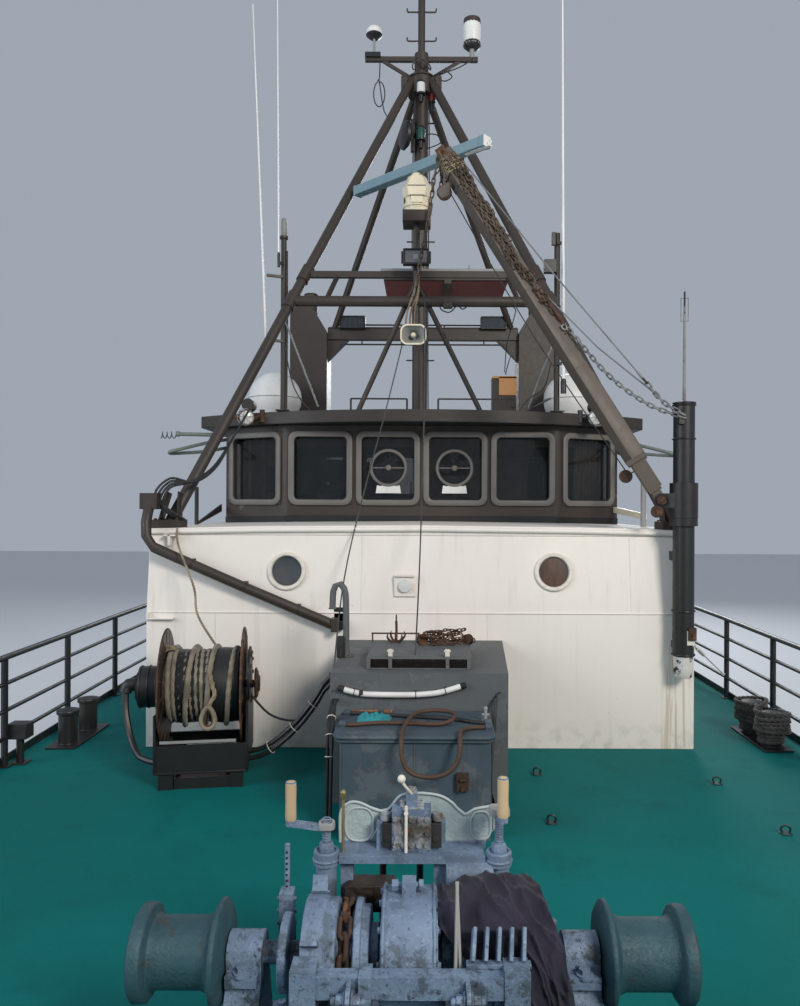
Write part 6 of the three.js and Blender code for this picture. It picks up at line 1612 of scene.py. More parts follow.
for x in (-0.405, -0.21, -0.015):
    thinRail.rod((x, -4.36, 3.08), (x, -4.36, 3.152), 0.007, 12)
thinRail.piece("vent_thin_rail", "root", paints["rusty"])
grapnel = Shape()
grapnel.tube(curved([(-0.20, -4.44, 3.096), (-0.198, -4.44, 3.18), (-0.20, -4.44, 3.27)], 4), 0.011, 12)
grapnel.ringTube((-0.20, -4.44, 3.296), (1, 0, 0), 0.022, 0.006, 24, 8)
for k in range(4):
    t = k * math.pi / 2 + 0.6
    d = Vector((math.cos(t), math.sin(t), 0))
    grapnel.tube(curved([Vector((-0.20, -4.44, 3.10)), Vector((-0.20, -4.44, 3.102)) + d * 0.05,
        Vector((-0.20, -4.44, 3.14)) + d * 0.088, Vector((-0.20, -4.44, 3.178)) + d * 0.078], 4),
        [0.010] * 8 + [0.009, 0.007, 0.005, 0.003, 0.002], 10)
grapnel.piece("grapnel", "root", paints["rusty"])
# Chain and blocks heaped on the vent box
heap = []
for k in range(46):
    t = k * 0.52
    heap.append(Vector((0.20 + (0.13 + 0.05 * math.sin(k * 0.9)) * math.cos(t),
        -4.55 + 0.09 * math.sin(t * 1.07), 3.112 + 0.030 * (k // 12) + 0.006 * math.sin(2.3 * k))))
chains("vent_chain_heap", [curved(heap, 4)], "root", paints["rusty"], 0.034, 0.0048, 0.020, 0.044)
blocks = Shape()
for at, turn in (((0.02, -4.58, 3.135), 0.4), ((0.40, -4.50, 3.125), -0.7)):
    c = Vector(at)
    d = Vector((math.cos(turn), math.sin(turn), 0))
    n = d.cross(Vector((0, 0, 1)))
    for s in (-1, 1):
        blocks.turned([(0, -0.004), (0.044, -0.004), (0.046, 0), (0.044, 0.004), (0, 0.004)],
            c + n * 0.02 * s, n, 24)
    blocks.turned([(0, -0.014), (0.036, -0.014), (0.030, 0), (0.036, 0.014), (0, 0.014)], c, n, 24)
    blocks.ringTube(c + d * 0.058, n, 0.018, 0.006, 20, 8)
blocks.piece("vent_blocks", "root", paints["rusty"], 0.001)

# Gooseneck: flange, the rim of its mouth, black sleeve beside it
neck = Shape()
neck.turned([(0, 0), (0.058, 0), (0.062, 0.004), (0.062, 0.012), (0.034, 0.018), (0.031, 0.060), (0, 0.060)],
    (-0.606, -4.60, 3.0), (0, 0, 1), 32)
neck.ringTube((-0.722, -4.60, 3.395), (0, 0, 1), 0.0275, 0.006, 32, 8)
neck.piece("gooseneck_flange", "root", trunkFinish, 0.001)
bolts("gooseneck_bolts", [(Vector((-0.606 + 0.048 * math.cos(t), -4.60 + 0.048 * math.sin(t), 3.0125)),
    Vector((0, 0, 1))) for t in (k * math.pi / 3 for k in range(6))], "root", paints["rusty"], 0.006, 0.006)
Shape().turned([(0, 0), (0.030, 0), (0.034, 0.008), (0.034, 0.16), (0.026, 0.175), (0, 0.175)],
    (-0.645, -4.66, 3.0), (0, 0, 1), 28).piece("black_sleeve", "root", rubberFinish)

# Bent white pipe clipped along the rear box's face
whiteRoute = curved([(-0.585, -5.283, 2.893), (-0.50, -5.283, 2.868), (-0.40, -5.283, 2.850),
    (-0.25, -5.284, 2.846), (-0.07, -5.284, 2.846), (0.03, -5.283, 2.850), (0.16, -5.283, 2.866),
    (0.335, -5.283, 2.918)], 5)
Shape().tube(whiteRoute, 0.021, 20).piece("white_pipe", "root", pipeWhite)
pipeEnds = Shape()
for a, b in ((whiteRoute[0], whiteRoute[1]), (whiteRoute[-1], whiteRoute[-2])):
    d = (b - a).normalized()
    pipeEnds.rod(a - d * 0.012, a + d * 0.03, 0.0225, 20)
pipeEnds.rod(whiteRoute[8], whiteRoute[8] + Vector((0.03, 0, 0)), 0.0222, 20)
pipeEnds.piece("white_pipe_ends", "root", rubberFinish, 0.001)
clips = Shape()
for k in (6, 22, 31):
    clips.ringTube(whiteRoute[k], whiteRoute[k + 1] - whiteRoute[k - 1], 0.0225, 0.003, 24, 6)
    clips.block((whiteRoute[k].x - 0.008, -5.266, whiteRoute[k].z - 0.03),
        (whiteRoute[k].x + 0.008, -5.259, whiteRoute[k].z + 0.03))
clips.piece("white_pipe_clips", "root", paints["rusty"], 0.001)

# Lid: rolled rim, latch, small sticks and the crumpled sheet between the hoses
lidRim = Shape()
outline = roundedOutline((0.5275, 0.325), 0.06, 6)
lidRim.tube([Vector((-0.0275 + a, -5.635 + b, 2.7225)) for a, b in outline], 0.0135, 10, closed=True)
lidRim.piece("lid_rim", "trunk_lid", trunkFinish)
lidLatch = Shape()
lidLatch.block((0.44, -5.635, 2.733), (0.496, -5.565, 2.745))
lidLatch.block((0.458, -5.612, 2.744), (0.478, -5.588, 2.822))
lidLatch.rod((0.442, -5.60, 2.785), (0.494, -5.60, 2.785), 0.009, 14)
lidLatch.ball((0.468, -5.60, 2.828), 0.015, sides=16)
lidLatch.piece("lid_latch", "trunk_lid", paints["lightGrey"], 0.002)
sticks = Shape()
for k, (x0, y0, x1, y1) in enumerate(((-0.49, -5.382, -0.30, -5.366), (-0.46, -5.404, -0.33, -5.385),
    (-0.26, -5.39, -0.20, -5.36))):
    sticks.bar((x0, y0, 2.7455), (x1, y1, 2.7455), 0.018, 0.020)
sticks.piece("lid_sticks", "trunk_lid", woodFinish, 0.002)


def crumpledSheet(name, at, size, rise, turns, finish, thick=0.0012):
    cols, rows = 44, 34
    work = bmesh.new()
    grid = []
    for i in range(cols + 1):
        for j in range(rows + 1):
            u, v = i / cols - 0.5, j / rows - 0.5
            edge = max(0.0, 1 - (2 * max(abs(u), abs(v))) ** 4)
            swell = (noise.noise(Vector((u * turns, v * turns, 1.3)))
                + 0.5 * noise.noise(Vector((u * turns * 2.3, v * turns * 2.3, 5.1))))
            fold = abs(noise.noise(Vector((u * turns * 1.6, v * turns * 1.1, 9.7))))
            z = 0.004 + rise * edge * (0.35 + 0.5 * abs(swell) + 0.6 * fold)
            out = 1 + 0.06 * noise.noise(Vector((u * 5, v * 5, 3.3)))
            grid.append(work.verts.new((at[0] + u * size[0] * out, at[1] + v * size[1] * out, at[2] + z)))
    for i in range(cols):
        for j in range(rows):
            a = i * (rows + 1) + j
            work.faces.new((grid[a], grid[a + rows + 1], grid[a + rows + 2], grid[a + 1]))
    area = sum(face.calc_area() for face in work.faces)
    data = bpy.data.meshes.new(name)
    work.to_mesh(data)
    work.free()
    made = settle(name, data, "trunk_lid", finish)
    wall = made.modifiers.new("wall", "SOLIDIFY")
    wall.thickness = thick
    wall.offset = 1
    spread = math.sqrt(area / (size[0] * size[1]))
    return made


crumpledSheet("teal_sheet", (-0.315, -5.580, lidTop), (0.24, 0.15), 0.055, 5.0, tealSheet)

# Fixed hoses up the trunk's starboard side with white ties, and cables down its port side
sideHoses = [curved([(-0.596 - s * 0.03, -5.80 + s * 0.05, 2.035),
    (-0.592 - s * 0.03, -5.79 + s * 0.05, 2.40), (-0.594 - s * 0.03, -5.72, 2.64),
    (-0.600 - s * 0.028, -5.55, 2.78), (-0.606 - s * 0.026, -5.40, 2.82), (-0.608 - s * 0.024, -5.258, 2.80)],
    8) for s in (0, 1)]
pipes("trunk_side_hoses", sideHoses, 0.0125, "root", hoseBlack, 14)
hoseTies = Shape()
for k in (12, 17, 22):
    hoseTies.ringTube((sideHoses[0][k] + sideHoses[1][k]) / 2, sideHoses[0][k + 1] - sideHoses[0][k - 1],
        0.030, 0.0035, 24, 6)
hoseTies.piece("trunk_hose_ties", "root", paints["warmWhite"])
cables = [curved([(0.60 - 0.03 * k, -5.262, 2.86 - 0.03 * k), (0.575 - 0.02 * k, -5.30, 2.84 - 0.03 * k),
    (0.555 - 0.012 * k, -5.42, 2.66), (0.525 - 0.008 * k, -5.52 - 0.05 * k, 2.45),
    (0.505, -5.56 - 0.05 * k, 2.25), (0.503, -5.58 - 0.05 * k, 2.035)], 7) for k in range(3)]
pipes("trunk_port_cables", cables, 0.006, "root", hoseBlack, 10)
front = Shape()
front.block((0.25, -5.978, 2.38), (0.33, -5.958, 2.50))
front.rod((0.27, -5.985, 2.455), (0.31, -5.985, 2.455), 0.012, 12)
front.rod((0.29, -5.98, 2.40), (0.29, -6.0, 2.40), 0.016, 6)
front.piece("trunk_front_catch", "root", paints["rusty"], 0.002)
ribs = Shape()
ribs.block((-0.032, -5.946, 2.05), (-0.022, -5.938, 2.68))
ribs.block((-0.518, -5.946, 2.05), (-0.506, -5.938, 2.68))
ribs.piece("trunk_front_seam", "root", trunkFinish, 0.001)

# Foredeck rails: round posts and rails in place of the plain ones, at the same stations
deckEdge, deckHeight = {}, {}
for v in nodes["deck"].data.vertices:
    y = round(v.co.y, 4)
    deckEdge[y] = max(deckEdge.get(y, 0.0), abs(v.co.x))
    deckHeight[y] = max(deckHeight.get(y, -9.0), v.co.z)
stations = sorted(deckEdge)


def betweenStations(table, y):
    for a, b in zip(stations, stations[1:]):
        if a <= y <= b:
            return table[a] + (table[b] - table[a]) * (y - a) / (b - a)
    return table[stations[-1]]


def edgeAt(y):
    return betweenStations(deckEdge, y)


def deckTop(y):
    return betweenStations(deckHeight, y)


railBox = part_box("bow_rails")
railSet = {"inset": 0.07, "stem": -11.75, "heights": (0.925, 0.70, 0.47, 0.24),
    "posts": (-11.75, -11.0, -10.0, -8.7, -7.2, -5.7, -4.4, -3.1, -1.8, -0.5, 0.9, 2.4,
    railBox[1][1] - 0.029)}
posts, topRails, midRails, feet = [], [], [], Shape()
for side in (-1, 1):
    at = [Vector((side * (edgeAt(y) - railSet["inset"]), y, deckTop(y))) for y in railSet["posts"]]
    for p in at:
        posts.append([p + Vector((0, 0, 0.002)), p + Vector((0, 0, railSet["heights"][0]))])
        feet.block((p.x - 0.055, p.y - 0.055, p.z - 0.004), (p.x + 0.055, p.y + 0.055, p.z + 0.014))
    for height in railSet["heights"]:
        (topRails if height > 0.9 else midRails).append([p + Vector((0, 0, height)) for p in at])
stem = railSet["stem"]
bowPair = [Vector((s * (edgeAt(stem) - railSet["inset"]), stem, deckTop(stem))) for s in (-1, 1)]
for height in railSet["heights"]:
    (topRails if height > 0.9 else midRails).append([p + Vector((0, 0, height)) for p in bowPair])
pipes("bow_rail_posts", posts, 0.029, "root", paints["rail"], 20, swap=("bow_rails",))
pipes("bow_rail_tops", topRails, 0.026, "root", paints["rail"], 16)
pipes("bow_rail_bars", midRails, 0.018, "root", paints["rail"], 12)
feet.piece("bow_rail_feet", "root", paints["rail"], 0.003)
toe = Shape()
for side in (-1, 1):
    for a, b in zip(stations, stations[1:]):
        if b > railSet["posts"][-1] or a < -11.8:
            continue
        ends = [Vector((side * (deckEdge[y] - 0.030), y, deckHeight[y] + 0.032)) for y in (a, b)]
        toe.bar(ends[0], ends[1], 0.014, 0.075)
toe.piece("deck_toe_strip", "root", paints["rail"], 0.003)

# Bitts: weld rings and caps, rope turns on the port pair. Lashing eyes and fairleads on the deck
bitts = {"x": 3.285, "y": (-3.73, -3.28)}
bittCaps = Shape()
for side in (-1, 1):
    for y in bitts["y"]:
        z = deckTop(y)
        bittCaps.ringTube((side * bitts["x"], y, z + 0.024), (0, 0, 1), 0.087, 0.007, 40, 8)
        bittCaps.turned([(0, 0.0), (0.100, 0.0), (0.104, 0.006), (0.098, 0.018), (0.05, 0.026), (0, 0.028)],
                        (side * bitts["x"], y, 2.309), (0, 0, 1), 40)
bittCaps.piece("bitt_caps", "root", paints["black"], 0.001)
turnsOfRope = []
for y, count, low in zip(bitts["y"], (6, 4), (0.05, 0.05)):
    z = deckTop(y)
    spiral = []
    for k in range(count * 26 + 1):
        t = k / 26
        r = 0.105 + 0.005 * math.sin(3.1 * t)
        spiral.append(Vector((bitts["x"] + r * math.cos(2 * math.pi * t), y + r * math.sin(2 * math.pi * t),
            z + low + 0.030 * t)))
    turnsOfRope.append(spiral)
# Figures of eight over both posts, climbing past the caps
for k in range(7):
    lift, wide, long = 0.17 + 0.027 * k, 0.150 - 0.007 * (k % 3), 0.352 - 0.010 * (k % 2)
    turnsOfRope.append([Vector((bitts["x"] + wide * math.sin(2 * t) + 0.006 * math.sin(5 * t + k),
        -3.505 + long * math.cos(t), deckTop(-3.5) + lift + 0.014 * math.sin(t + k)))
        for t in [2 * math.pi * i / 64 for i in range(65)]])
ropes("bitt_rope_turns", turnsOfRope, 0.019, "root", darkRope, 0.14, 0.02)
eyes = Shape()
for x, y in ((538, 771), (553, 822), (718, 780), (787, 832)):
    # The picture's ray down to the deck
    depth = (4.25 - 2.04) * 800 / (y - 505)
    at = seen(x, y, depth)
    z = deckTop(at.y)
    eyes.turned([(0, 0), (0.042, 0), (0.045, 0.004), (0.040, 0.009), (0, 0.010)], (at.x, at.y, z), (0, 0, 1),
        24)
    eyes.ringTube((at.x, at.y, z + 0.030), (0.25, 1, 0.25), 0.030, 0.0075, 24, 8)
# Lashing eyes: teal paint darkened as painted shade round the arches
eyes.piece("deck_lashing_eyes", "root", paint("eyePaint", (0.004, 0.040, 0.040), (0.006, 0.018, 0.018),
    (0.05, 0.03, 0.02), 0.62, 0.5))
fairleads = Shape()
for side in (-1, 1):
    y = -4.30
    x = side * (edgeAt(y) - 0.16)
    z = deckTop(y)
    fairleads.rod((x, y, z), (x, y, z + 0.25), 0.032, 20)
    fairleads.block((x - 0.085, y - 0.07, z + 0.22), (x + 0.085, y + 0.07, z + 0.35))
    fairleads.block((x - 0.07, y - 0.07, z), (x + 0.07, y + 0.07, z + 0.014))
fairleads.piece("deck_fairleads", "root", paints["black"], 0.012)
print("trunk, rails and bitts dressed")

# Derrick. The post, and the boom's own line: turned about the post, then raised about its heel pin
post = {"x": 2.39, "y": -3.93, "radius": 0.095}
boom = {"yaw": math.radians(162.4), "rise": math.radians(58.6), "out": 0.19, "heel": 4.30, "length": 3.97,
    "turn": math.radians(30)}
boomFlat = Vector((math.cos(boom["yaw"]), math.sin(boom["yaw"]), 0))
boomSide = Vector((-boomFlat.y, boomFlat.x, 0))
boomAxis = boomFlat * math.cos(boom["rise"]) + Vector((0, 0, math.sin(boom["rise"])))
boomUp = Vector((0, 0, math.cos(boom["rise"]))) - boomFlat * math.sin(boom["rise"])
boomOut = boomSide * math.cos(boom["turn"]) + boomUp * math.sin(boom["turn"])
boomAcross = boomUp * math.cos(boom["turn"]) - boomSide * math.sin(boom["turn"])


def onBoom(along, side=0.0, up=0.0):
    start = Vector((post["x"], post["y"], boom["heel"])) + boomFlat * boom["out"]
    return start + boomAxis * along + boomSide * side + boomUp * up


# On the turned box above the heel: across its lit face and out from it
def onFaceOfBoom(along, across=0.0, out=0.0):
    return onBoom(along) + boomAcross * across + boomOut * out


# Above the heel fitting the box is turned 30 degrees round its own line, one edge up
boomMesh = bpy.data.objects["derrick_boom_worked"].data
work = bmesh.new()
work.from_mesh(boomMesh)
for along in (0.43, 0.45):
    bmesh.ops.bisect_plane(work, geom=work.verts[:] + work.edges[:] + work.faces[:], dist=0.0001,
        plane_co=onBoom(along), plane_no=boomAxis)
spin = Matrix.Rotation(boom["turn"], 3, boomAxis)
for point in work.verts:
    along = (point.co - onBoom(0)).dot(boomAxis)
    off = point.co - onBoom(along)
    if along > 0.44 and off.length < 0.13:
        point.co = onBoom(along) + spin @ off
bmesh.ops.triangulate(work, faces=[face for face in work.faces if len(face.verts) > 4])
work.to_mesh(boomMesh)
work.free()


def shackle(shape, at, pull, size=0.03, across=None):
    pull = Vector(pull).normalized()
    across = (Vector(across) if across else pull.orthogonal()).normalized()
    bow = [Vector(at) + pull * size * (0.9 * math.cos(t)) + across * size * 0.62 * math.sin(t)
           for t in (math.radians(a) for a in range(-125, 126, 25))]
    shape.tube(bow, size * 0.21, 10)
    shape.rod(bow[0] - across * size * 0.25, bow[-1] + across * size * 0.25, size * 0.19, 10)


def blockSheave(shape, at, axis, radius):
    at, axis = Vector(at), Vector(axis).normalized()
    for s in (-1, 1):
        shape.turned([(0, -0.003), (radius * 1.05, -0.003), (radius * 1.12, 0), (radius * 1.05, 0.003),
            (0, 0.003)], at + axis * s * radius * 0.36, axis, 28)
    shape.turned([(0, -radius * 0.26), (radius * 0.98, -radius * 0.26), (radius * 0.8, 0),
        (radius * 0.98, radius * 0.26), (0, radius * 0.26)], at, axis, 28)
    shape.rod(at - axis * radius * 0.5, at + axis * radius * 0.5, radius * 0.2, 8)


stub = Shape()
stub.turned([(0, 0), (0.072, 0), (0.080, 0.01), (0.086, 0.10), (0.090, 0.18), (0.093, 0.195), (0, 0.195)],
            (post["x"], post["y"], 2.698), (0, 0, 1), 40)
stub.piece("post_stub", "root", paint("stubPaint", (0.70, 0.68, 0.63), (0.5, 0.49, 0.46),
    (0.012, 0.012, 0.013), 0.56, 0.5, 0.5, 0.3, 2.2))
bands = Shape()
for z in (2.905, 3.30, 4.86, 5.165):
    bands.ringTube((post["x"], post["y"], z), (0, 0, 1), post["radius"] + 0.003, 0.009, 48, 8)
bands.turned([(0, 0), (0.104, 0), (0.104, 0.012), (0.05, 0.022), (0, 0.024)], (post["x"], post["y"], 5.178),
    (0, 0, 1), 48)
bands.bar((2.33, -3.995, 5.03), (2.33, -4.06, 5.03), 0.05, 0.09)
bands.piece("post_bands", "root", paints["black"], 0.001)
turnbuckle = Shape()
high, low = Vector((2.455, -4.035, 3.00)), Vector((3.46, -2.07, 2.33))
turnbuckle.bar((2.43, -4.0, 3.00), (2.43, -4.0, 3.13), 0.07, 0.05)
turnbuckle.rod(high, low, 0.007, 10).rod(high.lerp(low, 0.08), high.lerp(low, 0.26), 0.018, 12)
shackle(turnbuckle, high, high - low, 0.024)
shackle(turnbuckle, low, low - high, 0.026)
turnbuckle.piece("post_turnbuckle", "root", paints["warmWhite"], 0.001)
Shape().block((2.405, -4.045, 3.045), (2.475, -4.0, 3.16)).rod((2.44, -4.05, 3.10), (2.44, -4.065, 3.10),
    0.018, 6).piece("post_eye_plate", "root", paints["rusty"], 0.003)
aerial = Shape()
aerial.tube([(post["x"], post["y"], 5.17), (post["x"], post["y"], 5.95), (post["x"], post["y"], 6.19)],
    [0.0155, 0.0110, 0.0055], 14)
for dx in (-0.022, 0.022):
    aerial.rod((post["x"] + dx * 1.5, post["y"], 5.93), (post["x"] + dx * 1.5, post["y"], 6.14), 0.0035, 8)
for z in (5.93, 6.14):
    aerial.rod((post["x"] - 0.033, post["y"], z), (post["x"] + 0.033, post["y"], z), 0.0035, 8)
aerial.piece("post_aerial", "root", paints["zinc"])

# Boom: edge plates, head fittings, chain lashed along its lit face
boomPlates = Shape()
boomPlates.bar(onBoom(0.415), onBoom(0.465), 0.19, 0.19, boomUp)
for s in (1.45, 2.35, 3.3):
    boomPlates.bar(onBoom(s), onBoom(s + 0.012), 0.155, 0.155, boomAcross)
boomPlates.bar(onBoom(0.10, 0.079), onBoom(0.42, 0.079), 0.006, 0.12, boomUp)
boomPlates.bar(onBoom(0.10, -0.079), onBoom(0.42, -0.079), 0.006, 0.12, boomUp)
boomPlates.bar(onBoom(3.62), onBoom(3.965), 0.162, 0.162, boomAcross)
for s in (0.62, 1.75, 2.8, 3.55):
    boomPlates.bar(onFaceOfBoom(s, 0.079, -0.03), onFaceOfBoom(s, 0.118, -0.03), 0.012, 0.07, boomAxis)
boomPlates.piece("boom_bands", "derrick_boom", paints["boom"], 0.002)
headIron = Shape()
headIron.bar(onBoom(3.82, 0, 0.06), onBoom(3.82, 0, 0.135), 0.03, 0.10, boomAxis)
headIron.rod(onBoom(4.0, -0.095), onBoom(4.0, 0.095), 0.024, 14)
for s in (-0.088, 0.088):
    headIron.bar(onBoom(3.88, s), onBoom(4.07, s), 0.014, 0.10, boomUp)
headAt = onBoom(boom["length"]) + boomFlat * 0.02
shackle(headIron, headAt + Vector((0, 0, -0.13)), (0, 0, 1), 0.045, boomSide)
shackle(headIron, headAt + Vector((0, 0, -0.235)), (0, 0, -1), 0.035, boomFlat)
blockSheave(headIron, headAt + Vector((0, 0, -0.33)), boomSide, 0.066)
headIron.piece("boom_head_iron", "derrick_boom", paints["rusty"], 0.001)
chainRuns = []
for shift, low in ((-0.046, 2.62), (-0.012, 2.50), (0.022, 2.05), (0.054, 2.9)):
    count = int((3.93 - low) / 0.11)
    chainRuns.append(curved([onFaceOfBoom(3.93 - (3.93 - low) * k / count,
        shift + 0.014 * math.sin(k * 1.9 + shift * 60),
        0.093 + 0.006 * math.sin(k * 1.3 + shift * 90)) for k in range(count + 1)], 3))
chains("boom_chain", chainRuns, "derrick_boom", paints["chain"], 0.050, 0.0075, 0.028, 0.066)
hooks = Shape()
for s, turn in ((2.46, 0.3), (2.33, -0.4), (2.20, 0.2)):
    hooks.tube(curved([onFaceOfBoom(s + 0.06, 0.03, 0.095), onFaceOfBoom(s + 0.02, 0.06 + 0.02 * turn, 0.12),
        onFaceOfBoom(s - 0.03, 0.05, 0.13), onFaceOfBoom(s - 0.04, 0.01, 0.12), onFaceOfBoom(s, -0.01, 0.10)],
        4), 0.0105, 10)
    shackle(hooks, onFaceOfBoom(s + 0.07, 0.02, 0.095), boomAxis, 0.032, boomAcross)
hooks.rod(onFaceOfBoom(2.16, 0.05, 0.10), onFaceOfBoom(1.93, 0.06, 0.10), 0.017, 8)
hooks.rod(onFaceOfBoom(2.24, 0.045, 0.10), onFaceOfBoom(1.86, 0.065, 0.10), 0.008, 10)
hooks.piece("boom_hooks", "derrick_boom", paints["rusty"], 0.001)
pale = Shape()
shackle(pale, onFaceOfBoom(1.86, 0.05, 0.098), -boomAxis, 0.036, boomAcross)
pale.piece("boom_pale_shackle", "derrick_boom", paints["lightGrey"])
headRope = []
for k in range(96):
    t = k * 0.5
    edge = max(abs(math.cos(t)), abs(math.sin(t)))
    headRope.append(onFaceOfBoom(3.78 + 0.0018 * k, 0.096 * math.cos(t) / edge * 0.95,
        0.096 * math.sin(t) / edge * 0.95))
ropes("boom_head_lashing", [headRope], 0.010, "derrick_boom", tanRope)
# Fall of chain from the head beside the scanner's pedestal, and what is left of it down the mast
fall = curved([headAt + Vector((-0.03, -0.02, -0.06)), seen(433, 176, 7.96), seen(431, 192, 7.97),
    seen(429, 207, 8.0)], 6)
fallTwo = curved([headAt + Vector((-0.02, 0.03, -0.06)), headAt + Vector((-0.03, 0.03, -0.22)),
    headAt + Vector((-0.035, 0.02, -0.30))], 6)
chains("boom_chain_fall", [fall, fallTwo], "derrick_boom", paints["chain"], 0.058, 0.008, 0.032, 0.074)
mastFall = curved([seen(429, 207, 8.72), seen(428, 216, 8.72), seen(423, 240, 8.72), seen(419, 262, 8.74),
    seen(416, 283, 8.80)], 6)
chains("mast_chain_fall", [mastFall], "root", paints["chain"], 0.058, 0.008, 0.032, 0.074)
mastCoils = [curved([seen(416, 279, 8.85), seen(413, 292, 8.85), seen(407, 310, 8.83), seen(405, 326, 8.80),
    seen(408, 342, 8.84), seen(413, 330, 8.85), seen(414, 310, 8.85), seen(417, 296, 8.86),
    seen(418, 284, 8.86)], 6), curved([seen(418, 281, 8.87), seen(416, 296, 8.87), seen(411, 308, 8.86),
    seen(409, 322, 8.86), seen(411, 335, 8.86)], 6)]
ropes("mast_rope_coils", mastCoils, 0.012, "root", tanRope)
runnerLow = onBoom(0.36, -0.02, -0.16)
runner = curved([headAt + Vector((0.06, -0.01, -0.34)),
    (headAt + Vector((0.06, -0.01, -0.34))).lerp(runnerLow, 0.5) + Vector((-0.03, 0, -0.03)),
    runnerLow + Vector((0, 0, 0.05))], 10)
pipes("boom_runner", [runner], 0.0055, "derrick_boom", paints["black"], 8)
runnerBlock = Shape()
blockSheave(runnerBlock, runnerLow, boomSide, 0.055)
shackle(runnerBlock, runnerLow + boomUp * 0.075, boomUp, 0.026, boomSide)
runnerBlock.piece("boom_heel_block", "derrick_boom", paints["rusty"], 0.001)
# Topping wire with its chain, from the head and from the middle of the boom to the post's top
postTop = Vector((2.33, -4.05, 5.03))
joinAt = postTop + Vector((-0.30, 0.12, 0.36))
wireHead, wireWaist, slackEnd = onBoom(3.85, 0.03, 0.12), onBoom(2.25, 0.05, 0.10), onBoom(1.80, 0.05, 0.12)
headWire = [wireHead, joinAt.lerp(wireHead, 0.5) - Vector((0, 0, 0.03)), joinAt]
waistWire = [wireWaist, joinAt.lerp(wireWaist, 0.45) - Vector((0, 0, 0.07)),
    postTop.lerp(joinAt, 0.62) + Vector((0, 0, -0.012))]
pipes("topping_wire", [headWire, waistWire], 0.0070, "derrick_boom", paints["zinc"], 8)
sleeve = Shape()
span = joinAt - wireHead
sleeve.rod(joinAt - span * 0.035, joinAt - span * 0.005, 0.013, 12)
sleeve.piece("topping_sleeve", "derrick_boom", paints["lightGrey"])
topping = Shape()
shackle(topping, joinAt, joinAt - onBoom(3.85), 0.040, boomSide)
shackle(topping, onBoom(3.85, 0.03, 0.115), boomUp, 0.032, boomSide)
shackle(topping, onBoom(1.80, 0.05, 0.100), boomUp, 0.032, boomSide)
topping.piece("topping_shackles", "derrick_boom", paints["rusty"])
slack = curved([slackEnd, slackEnd.lerp(postTop, 0.35) + Vector((0, 0, -0.13)),
    slackEnd.lerp(postTop, 0.7) + Vector((0, 0, -0.11)), postTop + Vector((0, 0, 0.02))], 7)
upper = curved([joinAt, joinAt.lerp(postTop, 0.5) + Vector((0, 0, -0.02)), postTop + Vector((0, 0, 0.05))], 4)
chains("topping_chains", [upper, slack], "derrick_boom", paints["zinc"], 0.056, 0.0078, 0.032, 0.072)
heelIron = Shape()
for s in (-1, 1):
    heelIron.turned([(0, 0), (0.046, 0), (0.046, 0.012), (0.03, 0.020), (0, 0.020)],
        onBoom(0) + boomSide * s * 0.116, boomSide * s, 6)
blockSheave(heelIron, Vector((2.39, -3.93, 4.20)) + boomFlat * 0.27 + Vector((0, -0.13, 0)), boomSide, 0.05)
heelIron.piece("derrick_heel_iron", "derrick_collar", paints["rusty"], 0.001)
print("derrick dressed")

# Mast head: lanterns, domes over their solids, rungs with turned ends, horn and floodlight
mast = {"x": -0.03, "y": -0.40}
domes = Shape()
domes.turned([(0, -0.030), (0.075, -0.034), (0.104, -0.020), (0.1085, 0.006), (0.100, 0.036), (0.078, 0.064),
    (0.045, 0.081), (0, 0.087)], (mast["x"] - 0.64, mast["y"], 10.62), (0, 0, 1), 36)
domes.turned([(0, 0), (0.100, 0), (0.1175, 0.03), (0.1185, 0.24), (0.108, 0.30), (0.075, 0.335), (0, 0.345)],
    (mast["x"] + 0.68, mast["y"], 10.465), (0, 0, 1), 40)
domes.piece("mast_domes", "root", domeFinish, slotName="dome_plastic")
domeParts = Shape()
domeParts.turned([(0, 0), (0.055, 0), (0.100, 0.035), (0.112, 0.05), (0, 0.05)],
    (mast["x"] - 0.64, mast["y"], 10.537), (0, 0, 1), 32)
domeParts.block((mast["x"] - 0.76, mast["y"] - 0.06, 10.27), (mast["x"] - 0.55, mast["y"] + 0.06, 10.335))
domeParts.turned([(0, 0), (0.075, 0), (0.110, 0.03), (0.117, 0.06), (0, 0.06)],
    (mast["x"] + 0.68, mast["y"], 10.40), (0, 0, 1), 36)
domeParts.piece("mast_dome_bases", "root", paints["black"], 0.002)
domeBand = Shape()
for k in range(16):
    t = k * math.pi / 8
    domeBand.ball((mast["x"] + 0.68 + 0.116 * math.cos(t), mast["y"] + 0.116 * math.sin(t), 10.452), 0.011,
        sides=10)
domeBand.piece("mast_dome_bolts", "root", paints["lightGrey"])
stalks = Shape()
stalks.rod((mast["x"] + 0.68, mast["y"], 10.28), (mast["x"] + 0.68, mast["y"], 10.43), 0.0335, 20)
stalks.rod((mast["x"] - 0.64, mast["y"], 10.33), (mast["x"] - 0.64, mast["y"], 10.54), 0.0165, 16)
stalks.piece("mast_dome_stalks", "root", paints["lightGrey"])
lanterns = Shape()
lenses = {"clear": Shape(), "red": Shape(), "green": Shape()}
